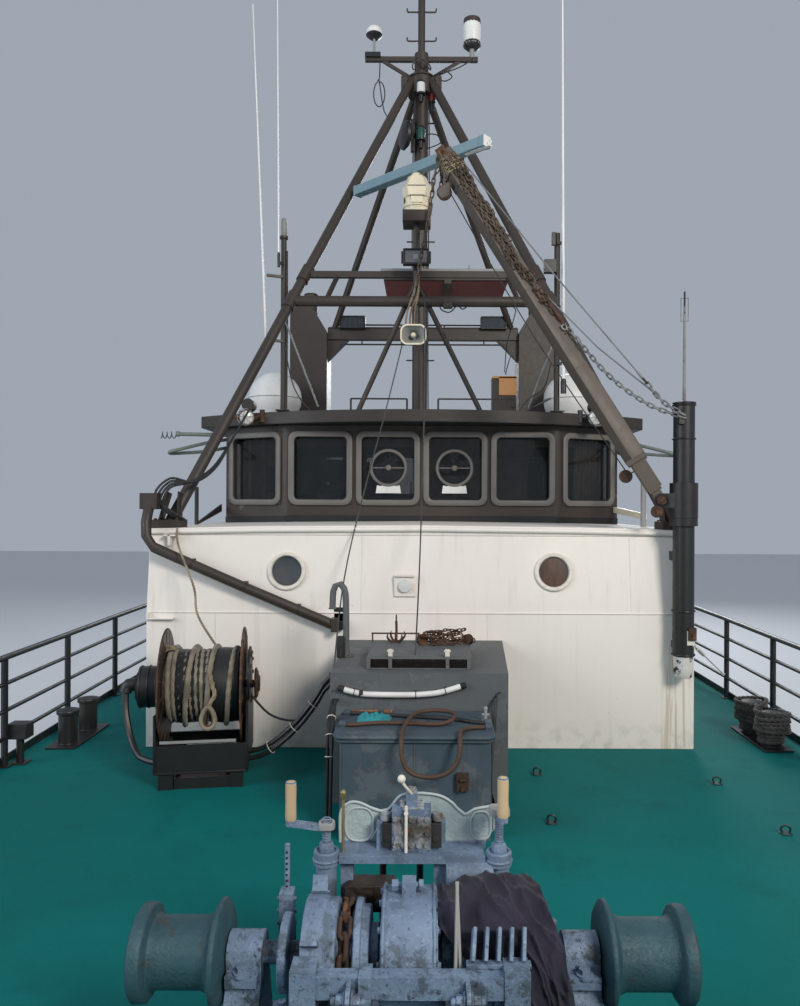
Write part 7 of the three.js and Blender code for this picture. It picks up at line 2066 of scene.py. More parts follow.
for kind, x, y, z, radius, height in (("clear", -0.035, -0.575, 9.72, 0.055, 0.13),
    ("red", 0.115, -0.47, 9.66, 0.040, 0.10), ("green", -0.035, -0.585, 9.10, 0.058, 0.14)):
    lenses[kind].turned([(0, 0), (radius, 0), (radius * 1.05, height * 0.5), (radius, height), (0, height)],
        (x, y, z), (0, 0, 1), 28)
    lanterns.turned([(0, 0), (radius * 1.12, 0), (radius * 1.12, 0.02), (0, 0.02)], (x, y, z - 0.02),
        (0, 0, 1), 28)
    lanterns.turned([(0, 0), (radius * 1.12, 0), (radius * 0.9, 0.03), (0.02, 0.045), (0, 0.045)],
        (x, y, z + height), (0, 0, 1), 28)
    lanterns.block((x - 0.035, y, z - 0.05), (x + 0.035, mast["y"] - 0.05, z - 0.02))
    lanterns.rod((x, y, z - 0.12), (x, y, z - 0.02), 0.03, 16)
lanterns.piece("mast_lanterns", "root", paints["black"], 0.002)
for kind, shape in lenses.items():
    shape.piece("mast_lens_" + kind, "root", {"clear": clearLens, "red": redLens, "green": greenLens}[kind])
gong = Shape()
gong.turned([(0, 0), (0.175, 0), (0.19, 0.02), (0.18, 0.06), (0.10, 0.085), (0, 0.09)], (-0.215, -0.47, 9.20),
    (-0.93, -0.37, 0), 36)
gong.bar((-0.22, -0.46, 9.22), (-0.10, -0.42, 9.22), 0.05, 0.05)
gong.block((-0.17, -0.50, 8.98), (-0.125, -0.44, 9.42))
gong.piece("mast_horn_disc", "root", paints["black"], 0.004)
rungs = Shape()
for z in (10.51, 10.90, 11.25, 11.60):
    for s in (-1, 1):
        rungs.tube(curved([(mast["x"] + s * 0.04, mast["y"], z), (mast["x"] + s * 0.15, mast["y"], z),
            (mast["x"] + s * 0.19, mast["y"], z + 0.008), (mast["x"] + s * 0.197, mast["y"], z + 0.05)], 4),
            0.0105, 10)
rungs.piece("mast_step_ends", "root", paints["brown"])
apex = Shape()
apex.ringTube((mast["x"], mast["y"], 10.0), (0, 0, 1), 0.17, 0.014, 40, 8)
apex.ringTube((mast["x"], mast["y"], 9.77), (0, 0, 1), 0.17, 0.014, 40, 8)
for k in range(5):
    t = k * 1.3
    apex.ringTube((mast["x"] + 0.10 * math.cos(t), mast["y"] - 0.10 - 0.03 * k,
        10.12 + 0.03 * math.sin(2 * t)), (math.cos(t), math.sin(t), 0.6), 0.05, 0.009, 24, 8)
apex.block((-0.30, -0.56, 9.70), (-0.22, -0.44, 9.96)).block((0.16, -0.56, 9.70), (0.24, -0.44, 9.96))
apex.piece("mast_apex_iron", "root", paints["brown"], 0.003)
bigLoop = [Vector((mast["x"] - 0.57 + 0.075 * math.sin(t), mast["y"] + 0.01, 9.80 + 0.17 * math.cos(t)))
    for t in (k * math.pi / 10 for k in range(21))]
mastCables = [curved([(mast["x"] - 0.56, mast["y"], 10.25),
    (mast["x"] - 0.565, mast["y"], 10.05)] + [tuple(p) for p in bigLoop] + [(mast["x"] - 0.50,
    mast["y"] - 0.02, 9.55), (mast["x"] - 0.38, mast["y"] - 0.10, 9.38)], 3),
    curved([(0.655, -0.43, 10.28), (0.62, -0.44, 10.22), (0.45, -0.45, 10.12), (0.30, -0.46, 10.06),
    (0.20, -0.46, 10.00), (0.28, -0.46, 9.94), (0.38, -0.46, 10.00), (0.28, -0.46, 10.08),
    (0.14, -0.46, 10.02)], 6), curved([(0.06, -0.48, 9.22), (0.18, -0.50, 9.20), (0.23, -0.50, 9.10),
    (0.12, -0.50, 9.04), (0.05, -0.48, 9.03)], 6), curved([(0.06, -0.48, 6.98), (0.20, -0.50, 7.06),
    (0.24, -0.50, 7.14), (0.10, -0.48, 7.16)], 6), curved([(-0.13, -0.47, 9.6), (-0.14, -0.48, 8.6),
    (-0.145, -0.48, 7.5), (-0.13, -0.48, 6.4), (-0.13, -0.47, 5.36)], 5),
    curved([(0.075, -0.47, 9.6), (0.08, -0.48, 8.4), (0.07, -0.48, 7.0), (0.08, -0.47, 5.36)], 5),]
pipes("mast_cables", mastCables, 0.008, "root", hoseBlack, 8)
horn = Shape()
hornZ = 6.11
horn.frame((-0.095, -2.478, hornZ), (1, 0, 0), (0, 0, 1), (0.135, 0.105), 0.014, -0.022, 0.07, 6)
rings = []
for half, corner, y in (((0.128, 0.098), 0.066, -2.475), ((0.09, 0.07), 0.055, -2.43),
    ((0.045, 0.04), 0.035, -2.38), ((0.03, 0.03), 0.029, -2.34)):
    rings.append(horn.ring([(-0.095 + a, y, hornZ + b) for a, b in roundedOutline(half, corner, 6)]))
for half, corner, y in (((0.036, 0.036), 0.034, -2.335), ((0.052, 0.046), 0.042, -2.385),
    ((0.097, 0.077), 0.06, -2.436), ((0.135, 0.105), 0.07, -2.478)):
    rings.append(horn.ring([(-0.095 + a, y, hornZ + b) for a, b in roundedOutline(half, corner, 6)]))
horn.skin(rings, closed=True)
horn.turned([(0, 0), (0.030, 0), (0.034, 0.03), (0.018, 0.05), (0, 0.055)], (-0.095, -2.40, hornZ),
    (0, -1, 0), 24)
horn.rod((-0.095, -2.34, hornZ), (-0.095, -2.26, hornZ), 0.045, 24)
horn.piece("loudhailer", "root", paints["lightGrey"], 0.001)
Shape().frame((-0.095, -2.484, hornZ), (1, 0, 0), (0, 0, 1), (0.142, 0.112), 0.016, -0.012, 0.075,
    6).piece("loudhailer_rim", "root", paints["cream"])
Shape().ball((-0.095, -2.452, hornZ), 0.026).piece("loudhailer_cone", "root", paints["cream"])
flood = Shape()
flood.block((-0.215, -2.36, 6.905), (0.075, -2.30, 7.085))
flood.block((-0.235, -2.345, 6.93), (-0.213, -2.31, 7.06))
flood.block((0.073, -2.345, 6.93), (0.095, -2.31, 7.06))
flood.block((-0.10, -2.31, 6.87), (-0.04, -2.26, 6.93))
flood.frame((-0.07, -2.36, 6.995), (1, 0, 0), (0, 0, 1), (0.145, 0.09), 0.018, 0.014, 0.012, 3)
flood.piece("mast_floodlight", "root", paints["black"], 0.003)
Shape().block((-0.19, -2.364, 6.93), (0.05, -2.358, 7.06)).piece("mast_floodlight_glass", "root", lampGlass)
Shape().block((-0.10, -2.3655, 6.97), (-0.045, -2.3635, 7.02)).piece("mast_floodlight_cell", "root",
    paints["lightGrey"])
legSleeves = Shape()
for side in (-1, 1):
    for z in (6.522, 6.87):
        legSleeves.rod(legLine(side, z - 0.09), legLine(side, z + 0.09), 0.0715, 24)
legSleeves.piece("tripod_leg_sleeves", "root", paints["brown"], 0.003)
platform = Shape()
platform.block((-0.475, -2.122, 6.905), (1.0, -2.04, 6.934))
for x in (0.02, 0.52):
    platform.block((x, -2.13, 6.934), (x + 0.02, -2.11, 6.975))
platform.piece("platform_strip", "root", paints["lightGrey"], 0.002)
Shape().block((-0.43, -2.05, 6.804), (0.97, -1.40, 6.812)).piece("platform_underside", "root", redPrimer)

# Scanner: end caps, lower strip, end bracket with its knob; pedestal seams and vents
scan = {"x": -0.065, "y": -2.25, "low": 7.96, "yaw": math.radians(-43)}
scanAlong = Vector((math.cos(scan["yaw"]), math.sin(scan["yaw"]), 0))
scanSide = Vector((-scanAlong.y, scanAlong.x, 0))
scanEnd = max((v.co for v in nodes["radar_scanner"].data.vertices), key=lambda c: c.dot(scanAlong))
reach = (scanEnd - Vector((scan["x"], scan["y"], scanEnd.z))).dot(scanAlong)
barMiddle = Vector((scan["x"], scan["y"], scan["low"] + 0.0525))
stripMiddle = Vector((scan["x"], scan["y"], scan["low"] + 0.014))
trim = Shape()
for s in (-1, 1):
    mid = barMiddle + scanAlong * s * (reach - 0.012)
    trim.bar(mid - scanAlong * 0.012, mid + scanAlong * 0.012, 0.119, 0.116)
    for side in (-1, 1):
        ends = [stripMiddle + scanAlong * s * far + scanSide * side * 0.0555 for far in (0.15, reach - 0.08)]
        trim.bar(ends[0], ends[1], 0.004, 0.014)
trim.piece("scanner_trim", "radar_scanner", scannerFinish, 0.002)
capEnd = Shape()
mid = barMiddle + scanAlong * (reach + 0.004)
capEnd.bar(mid - scanAlong * 0.010, mid + scanAlong * 0.004, 0.112, 0.112)
capEnd.bar(mid + Vector((0, 0, -0.045)) - scanAlong * 0.30, mid + Vector((0, 0, -0.058)) + scanAlong * 0.05,
    0.05, 0.016)
capEnd.ringTube(mid + Vector((0, 0, -0.022)) + scanAlong * 0.035, scanSide, 0.020, 0.006, 24, 8)
capEnd.piece("scanner_end_bracket", "radar_scanner", domeFinish, 0.001)
pedestal = Shape()
for z in (7.56, 7.70):
    pedestal.ringTube((scan["x"], scan["y"], z), (0, 0, 1), 0.1545, 0.004, 48, 8)
pedestal.block((-0.185, -2.405, 7.50), (0.055, -2.385, 7.52))
pedestal.block((-0.13, -2.408, 7.58), (0.0, -2.396, 7.68))
pedestal.piece("pedestal_seams", "root", paints["cream"], 0.002)
# Housing of the scanner's motor: six flats in plan, wide at the seam and drawn in above and below
housing = Shape()
rings = []
for z, wide, deep in ((7.505, 0.118, 0.125), (7.60, 0.122, 0.132), (7.655, 0.128, 0.140),
    (7.66, 0.150, 0.160), (7.74, 0.162, 0.172), (7.765, 0.162, 0.172), (7.772, 0.156, 0.166),
    (7.86, 0.118, 0.126), (7.905, 0.090, 0.095), (7.915, 0.07, 0.075)):
    outline = [(wide, -0.35 * deep), (wide * 0.62, -deep), (-wide * 0.62, -deep), (-wide, -0.35 * deep),
        (-wide, 0.5 * deep), (-wide * 0.6, deep), (wide * 0.6, deep), (wide, 0.5 * deep)]
    rings.append(housing.ring([(scan["x"] + a, scan["y"] + b, z) for a, b in outline]))
housing.skin(rings)
housing.piece("scanner_housing", "root", paints["cream"], 0.006, smoothAngle=25)
seams = Shape()
seams.block((scan["x"] - 0.10, scan["y"] - 0.176, 7.755), (scan["x"] + 0.10, scan["y"] - 0.168, 7.763))
seams.block((scan["x"] - 0.075, scan["y"] - 0.166, 7.652), (scan["x"] + 0.075, scan["y"] - 0.138, 7.658))
for x in (-0.145, 0.137):
    seams.block((scan["x"] + x, scan["y"] - 0.09, 7.60), (scan["x"] + x + 0.008, scan["y"] - 0.05, 7.65))
seams.piece("scanner_housing_seams", "root", paints["black"])
print("mast dressed")

# Wheelhouse top: antenna whips, cabinet front, lamp fronts on the beam, casing details, dome seams
whips = Shape()
ferrules = Shape()
for base, tip, low, high in (((-1.80, -1.95, 6.0), (-1.98, -1.92, 10.05), 0.013, 0.006),
    ((-1.665, -1.93, 7.0), (-1.70, -1.9, 10.30), 0.011, 0.005),
    ((1.64, -1.93, 5.55), (1.605, -1.93, 10.95), 0.022, 0.007)):
    whips.tube([Vector(base), Vector(base).lerp(Vector(tip), 0.5), Vector(tip)],
        [low, (low + high) / 2, high], 12)
    ferrules.turned([(0, 0), (low * 1.5, 0), (low * 1.5, 0.14), (low * 1.1, 0.17), (0, 0.17)], base,
        Vector(tip) - Vector(base), 20)
whips.piece("whip_antennas", "root", domeFinish)
ferrules.piece("whip_ferrules", "root", paints["black"], 0.001)
clamps = Shape()
for z in (6.15, 6.9):
    clamps.bar((-1.62, -1.88, z), (-1.80, -1.95, z), 0.03, 0.03)
clamps.bar((-1.62, -1.88, 7.05), (-1.665, -1.93, 7.05), 0.03, 0.03)
for z in (5.9, 7.30):
    clamps.bar((1.573, -1.88, z), (1.64, -1.93, z), 0.04, 0.03)
clamps.turned([(0, 0), (0.05, 0), (0.05, 0.03), (0, 0.03)], (-1.62, -1.85, 7.35), (0, 0, 1), 24)
clamps.block((-1.70, -1.93, 5.34), (-1.54, -1.77, 5.352)).block((1.493, -1.93, 5.34), (1.653, -1.77, 5.352))
clamps.piece("antenna_clamps", "root", paints["brown"], 0.002)
gps = Shape()
gps.turned([(0, 0), (0.030, 0), (0.036, 0.01), (0.036, 0.16), (0.030, 0.20), (0.015, 0.215), (0, 0.218)],
    (-1.62, -1.85, 7.38), (0, 0, 1), 28)
gps.piece("satellite_receiver", "root", paints["lightGrey"])
cabinetFront = Shape()
cabinetFront.block((0.955, -1.256, 5.62), (1.175, -1.246, 5.852))
cabinetFront.block((0.875, -1.256, 5.83), (1.175, -1.0, 5.858))
cabinetFront.piece("cabinet_orange_cap", "root", paints["orange"], 0.003)
cabinetRest = Shape()
cabinetRest.frame((1.025, -1.2485, 5.47), (1, 0, 0), (0, 0, 1), (0.13, 0.11), 0.010, 0.006, 0.02, 3)
cabinetRest.rod((1.13, -1.27, 5.48), (1.13, -1.25, 5.48), 0.012, 12)
cabinetRest.piece("cabinet_frame", "root", paints["brown"], 0.001)

beamLamps = Shape()
beamGlass = Shape()
for x in (-1.15, 1.15):
    beamLamps.frame((x, 1.838, 7.225), (1, 0, 0), (0, 0, 1), (0.212, 0.105), 0.018, 0.02, 0.02, 3)
    for k in range(5):
        beamLamps.bar((x - 0.17 + 0.085 * k, 1.836, 7.14), (x - 0.17 + 0.085 * k, 1.836, 7.31), 0.006, 0.008,
            (0, 1, 0))
    beamGlass.block((x - 0.19, 1.833, 7.14), (x + 0.19, 1.838, 7.31))
    for k in range(6):
        beamLamps.block((x - 0.20 + 0.075 * k, 1.98, 7.325), (x - 0.185 + 0.075 * k, 2.07, 7.345))
beamLamps.piece("beam_lamp_frames", "root", paints["black"], 0.001)
beamGlass.piece("beam_lamp_glass", "root", warmPane)
beamEdges = Shape()
for z in (6.962, 7.148):
    beamEdges.bar((-1.54, 1.892, z), (1.54, 1.892, z), 0.016, 0.02)
beamEdges.piece("lamp_beam_edges", "root", paints["brown"], 0.002)
casings = Shape()
for s in (-1, 1):
    for z in (4.6, 5.9):
        casings.bar((s * 1.575, 1.797, z), (s * 2.145, 1.797, z), 0.01, 0.012)
    casings.turned([(0.085, 0), (0.113, 0), (0.118, 0.01), (0.113, 0.02), (0.085, 0.02)],
        (s * 1.86, 2.10, 7.72), (0, 0, 1), 32)
    for k in range(6):
        casings.bar((s * 2.163, 1.86 + 0.1 * k, 5.2), (s * 2.163, 1.86 + 0.1 * k, 6.1), 0.02, 0.01, (1, 0, 0))
casings.piece("casing_details", "root", paints["brown"], 0.002)
pipeEnds = Shape()
for s in (-1, 1):
    pipeEnds.turned([(0, 0), (0.100, 0), (0.1105, 0.004), (0.112, 0.02), (0.100, 0.03), (0, 0.028)],
        (s * 1.86, 2.10, 7.715), (0, 0, 1), 32)
pipeEnds.piece("exhaust_ends", "root", paints["black"], 0.001)
seamsOfDomes = Shape()
for s in (-1, 1):
    seamsOfDomes.ringTube((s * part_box("satellite_dome_port")[1][0] - s * 0.41, 1.25, 5.89), (0, 0, 1), 0.4115,
        0.0045, 64, 8)
seamsOfDomes.piece("dome_seams", "root", paints["lightGrey"])

# Foot of each tripod leg: gusset plates, bolts, and the bundle of cables looping out of the starboard one
feetIron = Shape()
footBolts = []
for s in (-1, 1):
    for dx in (-0.09, 0.09):
        feetIron.bar((s * 2.40 + dx, -3.56, 4.06), (s * 2.36 + dx * 0.6, -3.52, 4.36), 0.012, 0.16, (0, 1, 0))
    for dx in (-0.10, 0.10):
        for dy in (-0.10, 0.10):
            footBolts.append((Vector((s * 2.40 + dx, -3.56 + dy, 4.101)), Vector((0, 0, 1))))
feetIron.piece("tripod_foot_plates", "root", paints["brown"], 0.003)
bolts("tripod_foot_bolts", footBolts, "root", paints["rusty"], 0.015, 0.014)
bundle = [curved([(-2.30 + 0.02 * k, -3.60, 4.10), (-2.42 - 0.02 * k, -3.70 - 0.01 * k, 4.22 + 0.03 * k),
    (-2.36, -3.68, 4.40 + 0.03 * k), (-2.20 + 0.015 * k, -3.58, 4.46), (-2.05 + 0.01 * k, -3.30, 4.62),
    (-1.92, -3.0, 4.95), (-1.80, -2.82, 5.25)], 6) for k in range(4)]
pipes("tripod_cable_bundle", bundle, 0.011, "root", hoseBlack, 10)
gooseBracket = Shape()
gooseBracket.block((-0.80, -3.80, 3.11), (-0.70, -3.765, 3.30))
gooseBracket.bar((-0.76, -3.86, 3.14), (-0.76, -3.78, 3.14), 0.10, 0.08)
gooseBracket.piece("vent_pipe_end", "root", paints["black"], 0.003)
pipeBands = Shape()
for t in (0.2, 0.5, 0.8):
    at = Vector((-2.42, -3.87, 3.84)).lerp(Vector((-0.80, -3.87, 3.15)), t)
    pipeBands.ringTube(at, (1.62, 0, -0.69), 0.0495, 0.005, 36, 8)
    pipeBands.block((at.x - 0.02, -3.83, at.z - 0.045), (at.x + 0.02, -3.795, at.z + 0.045))
pipeBands.piece("vent_pipe_bands", "root", paints["brown"], 0.001)

# Halyards, and the shackle at the foot of the port one
lines = {
    "halyard_starboard": ((405, 330, 9.0), (388, 400, 8.6), (348, 560, 7.2), (333, 692, 5.93)),
    "halyard_port": ((424, 300, 8.9), (424, 400, 8.2), (420, 560, 6.9), (414, 694, 5.93)),
}
for name, points in lines.items():
    route = curved([seen(*p) for p in points], 8)
    ropes(name, [route], 0.007, "root", darkRope)
tie = Shape()
tieAt = seen(414, 699, 5.926)
shackle(tie, tieAt + Vector((0, 0, 0.016)), (0, 0, 1), 0.017, (1, 0, 0))
tie.piece("halyard_shackle", "root", paints["rusty"])
print("wheelhouse top and lines dressed")

# Hanging cables, the light and struts of the antenna posts, cables on the roof
underBar = [curved([seen(438, 304, 9.05), seen(441, 310, 9.05), seen(449, 312, 9.05), seen(456, 305, 9.05)],
    6), curved([seen(457, 305, 9.05), seen(462, 309, 9.05), seen(468, 304, 9.05)], 6),
    curved([seen(488, 303, 9.05), seen(492, 306, 9.05), seen(497, 303, 9.05)], 5),
    curved([seen(502, 303, 9.1), seen(514, 308, 9.6), seen(513, 318, 11.0), seen(506, 345, 12.6),
    seen(504, 372, 12.9)], 6)]
pipes("bar_cables", underBar, 0.007, "root", hoseBlack, 8)
crates = Shape()
crates.block((0.03 + 18 * 9.05 / 800, -2.33, 6.44), (0.03 + 27 * 9.05 / 800, -2.26, 6.50))
crates.piece("bar_junction_box", "root", paints["brown"], 0.003)
postLights = Shape()
postLights.block((1.40, -2.02, 6.93), (1.54, -1.93, 7.08)).block((1.44, -1.95, 6.98), (1.56, -1.86, 7.02))
postLights.bar((1.525, -1.885, 7.28), (1.525, -1.885, 7.43), 0.045, 0.04)
postLights.bar((1.50, -1.88, 5.50), (1.22, -1.72, 5.36), 0.02, 0.02)
postLights.piece("antenna_post_light", "root", paints["black"], 0.003)
bright = Shape()
bright.rod((1.53, -1.90, 6.16), (1.25, -1.80, 5.40), 0.012, 12)
bright.rod((-1.60, -1.90, 6.40), (-1.22, -1.80, 5.40), 0.012, 12)
bright.piece("antenna_struts", "root", paints["zinc"])
wires = [curved([seen(505, 374, 9.95), seen(507, 365, 10.2), seen(512, 349, 10.8)], 4),
         curved([(1.13, -1.90, 5.345), (1.25, -1.86, 5.50), (1.42, -1.88, 5.62), (1.50, -1.885, 5.9)], 5),
         curved([(-1.30, -1.9, 5.345), (-1.42, -1.86, 5.48), (-1.52, -1.88, 5.7), (-1.60, -1.885, 6.1)], 5)]
wires += [curved([(-1.585 + 0.012 * k, -1.885, 7.2), (-1.58 + 0.012 * k, -1.89, 6.3),
    (-1.585 + 0.012 * k, -1.89, 5.36)], 5) for k in range(2)]
pipes("roof_cables", wires, 0.007, "root", hoseBlack, 8)

# Trawl winch: warp wound on both drums and led to the gantry's blocks, bed bolts
winch = {"y": 5.5, "z": 2.82, "coil": 0.364}
for side in (-1, 1):
    coil = []
    turns, steps = 25, 34
    for k in range(turns * steps + 1):
        t = k / steps
        x = 0.365 + t * (1.07 / turns)
        coil.append(Vector((side * x, winch["y"] + winch["coil"] * math.cos(t * 2 * math.pi),
            winch["z"] + winch["coil"] * math.sin(t * 2 * math.pi))))
    pipes("winch_warp_" + sideName(side), [coil], 0.0205, "trawl_winch_drums", paints["zinc"], 7)
warps = []
for side in (-1, 1):
    warps.append([Vector((side * 0.9, winch["y"] + 0.10, winch["z"] + 0.392)),
        Vector((side * 1.14, 8.4, 4.44)), Vector((side * 1.40, 11.18, 5.80))])
pipes("trawl_warps", warps, 0.011, "root", paints["zinc"], 10)
gallows = Shape()
for side in (-1, 1):
    blockSheave(gallows, (side * 1.40, 11.30, 5.70), (1, 0, 0), 0.14)
    shackle(gallows, (side * 1.40, 11.30, 5.885), (0, 0, 1), 0.045, (1, 0, 0))
gallows.piece("gantry_blocks", "root", paints["rusty"], 0.001)
bolts("winch_bed_bolts", [(Vector((x, winch["y"] + dy, 2.105)), Vector((0, 0, 1)))
    for x in (-1.6, -0.2, 0.2, 1.6) for dy in (-0.35, 0.35)], "root", paints["rusty"], 0.022, 0.02)

# Net on its drum: a heaped roll, with the headline and its floats showing
netDrum = {"y": 10.4, "z": 2.9, "half": 1.56}
work = bmesh.new()
rows = []
for i in range(73):
    x = -netDrum["half"] + 2 * netDrum["half"] * i / 72
    ends = 1 - 0.10 * (abs(x) / netDrum["half"]) ** 8
    row = []
    for j in range(72):
        t = j * math.pi / 36
        place = Vector((x * 2.2, math.cos(t) * 1.6, math.sin(t) * 1.6))
        radius = (0.515 + 0.040 * noise.noise(place * 1.7) + 0.022 * noise.noise(place * 6)
            + 0.008 * math.sin(x * 70 + t * 3)) * ends
        row.append(work.verts.new((x, netDrum["y"] + radius * math.cos(t),
            netDrum["z"] + radius * math.sin(t))))
    rows.append(row)
for a, b in zip(rows, rows[1:]):
    for j in range(72):
        work.faces.new((a[j], a[(j + 1) % 72], b[(j + 1) % 72], b[j]))
work.faces.new(list(reversed(rows[0])))
work.faces.new(rows[-1])
bmesh.ops.recalc_face_normals(work, faces=work.faces)
netData = bpy.data.meshes.new("net_roll")
work.to_mesh(netData)
work.free()
settle("net_roll", netData, "net_drum", netFinish, smoothAngle=70)
floats = Shape()
for k in range(11):
    t = 0.9 + 0.55 * math.sin(k * 1.7)
    floats.ball((-1.35 + 0.27 * k, netDrum["y"] + 0.53 * math.cos(t), netDrum["z"] + 0.53 * math.sin(t)),
        0.078, sides=20)
floats.piece("net_floats", "net_drum", paints["orange"])
headline = []
for k in range(260):
    t = k * 0.31
    headline.append(Vector((-1.45 + 2.9 * k / 259, netDrum["y"] + 0.555 * math.cos(t),
        netDrum["z"] + 0.555 * math.sin(t))))
ropes("net_headline", [curved(headline, 2)], 0.014, "net_drum", tanRope)

# Hull: anodes, and discharges with their lips. On the house side the life ring
shell = nodes["hull"].data
hullTree = BVHTree.FromPolygons([v.co.copy() for v in shell.vertices],
    [tuple(face.vertices) for face in shell.polygons])


def onHull(side, y, z):
    return hullTree.ray_cast(Vector((side * 6, y, z)), Vector((-side, 0, 0)))[:2]


anodes = Shape()
for side in (-1, 1):
    for y, z in ((7.6, -0.75), (8.9, -0.70), (2.0, -0.85), (-3.0, -0.85)):
        place, normal = onHull(side, y, z)
        if place:
            along = normal.cross(Vector((0, 0, 1))).normalized()
            anodes.bar(place + normal * 0.012 - along * 0.20, place + normal * 0.012 + along * 0.20, 0.085,
                0.05, normal)
            anodes.bar(place + normal * 0.006 - along * 0.26, place + normal * 0.006 + along * 0.26, 0.03,
                0.012, normal)
anodes.piece("hull_anodes", "root", paints["zinc"], 0.006)
discharge = Shape()
for side, y, z, radius in ((1, 3.2, 0.55, 0.055), (1, 4.4, 0.48, 0.035), (1, -1.2, 0.62, 0.035),
    (-1, 2.2, 0.52, 0.05), (-1, -0.6, 0.60, 0.035), (-1, 5.2, 0.5, 0.035)):
    place, normal = onHull(side, y, z)
    if place:
        discharge.turned([(radius, -0.01), (radius, 0.03), (radius + 0.014, 0.03), (radius + 0.014, 0.006),
            (radius + 0.03, 0.004), (radius + 0.03, -0.01)], place, normal, 28)
discharge.piece("hull_discharges", "root", paints["rusty"], 0.001)
lifeRing = Shape()
lifeRing.ringTube((-2.62, -3.15, 2.80), (-1, -0.15, 0), 0.235, 0.052, 48, 16)
lifeRing.piece("life_ring", "root", ringFinish)
cradle = Shape()
cradle.bar((-2.56, -3.15, 2.50), (-2.68, -3.15, 2.50), 0.12, 0.012)
cradle.bar((-2.56, -3.15, 3.10), (-2.60, -3.15, 3.10), 0.08, 0.012)
cradle.piece("life_ring_cradle", "root", paints["zinc"], 0.002)
print("aft gear and hull details done")

# House sides and back: rims and panes in the openings, door frames with dogs, rails and a ladder
sidePane = glass("sideGlass", (0.03, 0.04, 0.045), 0.6)
for side in (-1, 1):
    name = sideName(side)
    rims, panes, dogs = Shape(), Shape(), Shape()
    for y in (-2.70, -1.20, 0.40):
        centre = (side * 2.535, y, 3.63)
        rims.turned([(0.138, -0.045), (0.138, 0.006), (0.146, 0.018), (0.168, 0.020), (0.178, 0.013),
            (0.180, 0.0), (0.16, -0.001), (0.16, -0.045)], centre, (side, 0, 0), 36)
        panes.turned([(0, -0.034), (0.137, -0.034), (0.137, -0.024), (0, -0.020)], centre, (side, 0, 0), 36)
        rims.bar((side * 2.54, y - 0.20, 3.82), (side * 2.54, y + 0.20, 3.82), 0.03, 0.012, (side, 0, 0))
    rims.piece("side_porthole_rims_" + name, "root", paints["warmWhite"], 0.0015)
    panes.piece("side_porthole_panes_" + name, "root", sidePane)
    for z in (2.30, 2.95, 3.60):
        for y in (2.585, 3.395):
            dogs.rod((side * 2.533, y, z), (side * 2.565, y, z), 0.018, 16)
            dogs.bar((side * 2.560, y, z), (side * 2.560, y + (0.11 if y < 3 else -0.11), z + 0.03), 0.020,
                0.012, (side, 0, 0))
    dogs.piece("door_dogs_" + name, "root", paints["zinc"], 0.002)
    frameBars = Shape()
    frameBars.frame((side * 2.538, 2.99, 2.98), (0, side, 0), (0, 0, 1), (0.385, 0.865), 0.028, 0.012, 0.06,
        4)
    frameBars.piece("door_coaming_" + name, "root", whiteFinish, 0.003)
    grab = Shape()
    for y in (2.30, 3.62):
        grab.tube(curved([(side * 2.534, y, 2.75), (side * 2.60, y, 2.77), (side * 2.61, y, 2.95),
            (side * 2.61, y, 3.35), (side * 2.60, y, 3.53), (side * 2.534, y, 3.55)], 5), 0.014, 12)
    grab.tube(curved([(side * 2.534, -3.2, 3.36), (side * 2.585, -3.18, 3.36), (side * 2.59, -3.0, 3.36),
        (side * 2.59, 1.6, 3.36), (side * 2.585, 1.78, 3.36), (side * 2.534, 1.8, 3.36)], 5), 0.014, 12)
    for y in (-2.1, -1.0, 0.1, 1.0):
        grab.rod((side * 2.533, y, 3.36), (side * 2.59, y, 3.36), 0.008, 8)
    grab.piece("side_grab_rails_" + name, "root", paints["black"])
backFrames, backPanes = Shape(), Shape()
for x in (-1.3, 1.3):
    backFrames.frame((x, 4.203, 3.45), (-1, 0, 0), (0, 0, 1), (0.285, 0.235), 0.04, 0.014, 0.05, 5)
    pane(backPanes, (0.252, 0.202), (x, 4.18, 3.45), (-1, 0, 0))
backFrames.piece("house_back_frames", "root", frameLit)
backPanes.piece("house_back_panes", "root", sidePane)
ladder = Shape()
for x in (-0.22, 0.22):
    ladder.tube(curved([(x, 4.30, 2.02), (x, 4.30, 3.2), (x, 4.30, 4.4), (x, 4.27, 4.62), (x, 4.12, 4.70),
        (x, 3.98, 4.62), (x, 3.95, 4.06)], 5), 0.017, 12)
for k in range(7):
    ladder.rod((-0.22, 4.30, 2.30 + 0.27 * k), (0.22, 4.30, 2.30 + 0.27 * k), 0.012, 10)
for z in (2.5, 3.7):
    for x in (-0.22, 0.22):
        ladder.rod((x, 4.20, z), (x, 4.30, z), 0.012, 10)
ladder.piece("house_back_ladder", "root", paints["zinc"])
deckLights = Shape()
lightGlass = Shape()
for x in (-1.3, 1.3):
    deckLights.block((x - 0.14, 4.21, 3.80), (x + 0.14, 4.30, 3.93))
    deckLights.bar((x, 4.20, 3.92), (x, 4.25, 3.90), 0.06, 0.03)
    lightGlass.block((x - 0.12, 4.296, 3.815), (x + 0.12, 4.304, 3.915))
deckLights.piece("work_lights", "root", paints["black"], 0.004)
lightGlass.piece("work_light_glass", "root", lampGlass)

# Bulwark: stays inside
stays = Shape()
for side in (-1, 1):
    for k in range(8):
        y = 4.9 + 0.93 * k
        place = onHull(side, y, 1.7)[0]
        half = abs(place.x) - 0.09 if place else 3.5
        stays.slab([(0, 2.02), (-0.34, 2.02), (-0.02, 2.86), (0, 2.86)], (half * side, y, 0), (side, 0, 0),
            (0, 0, 1), 0.012)
stays.piece("bulwark_stays", "root", hullFinish, 0.003)

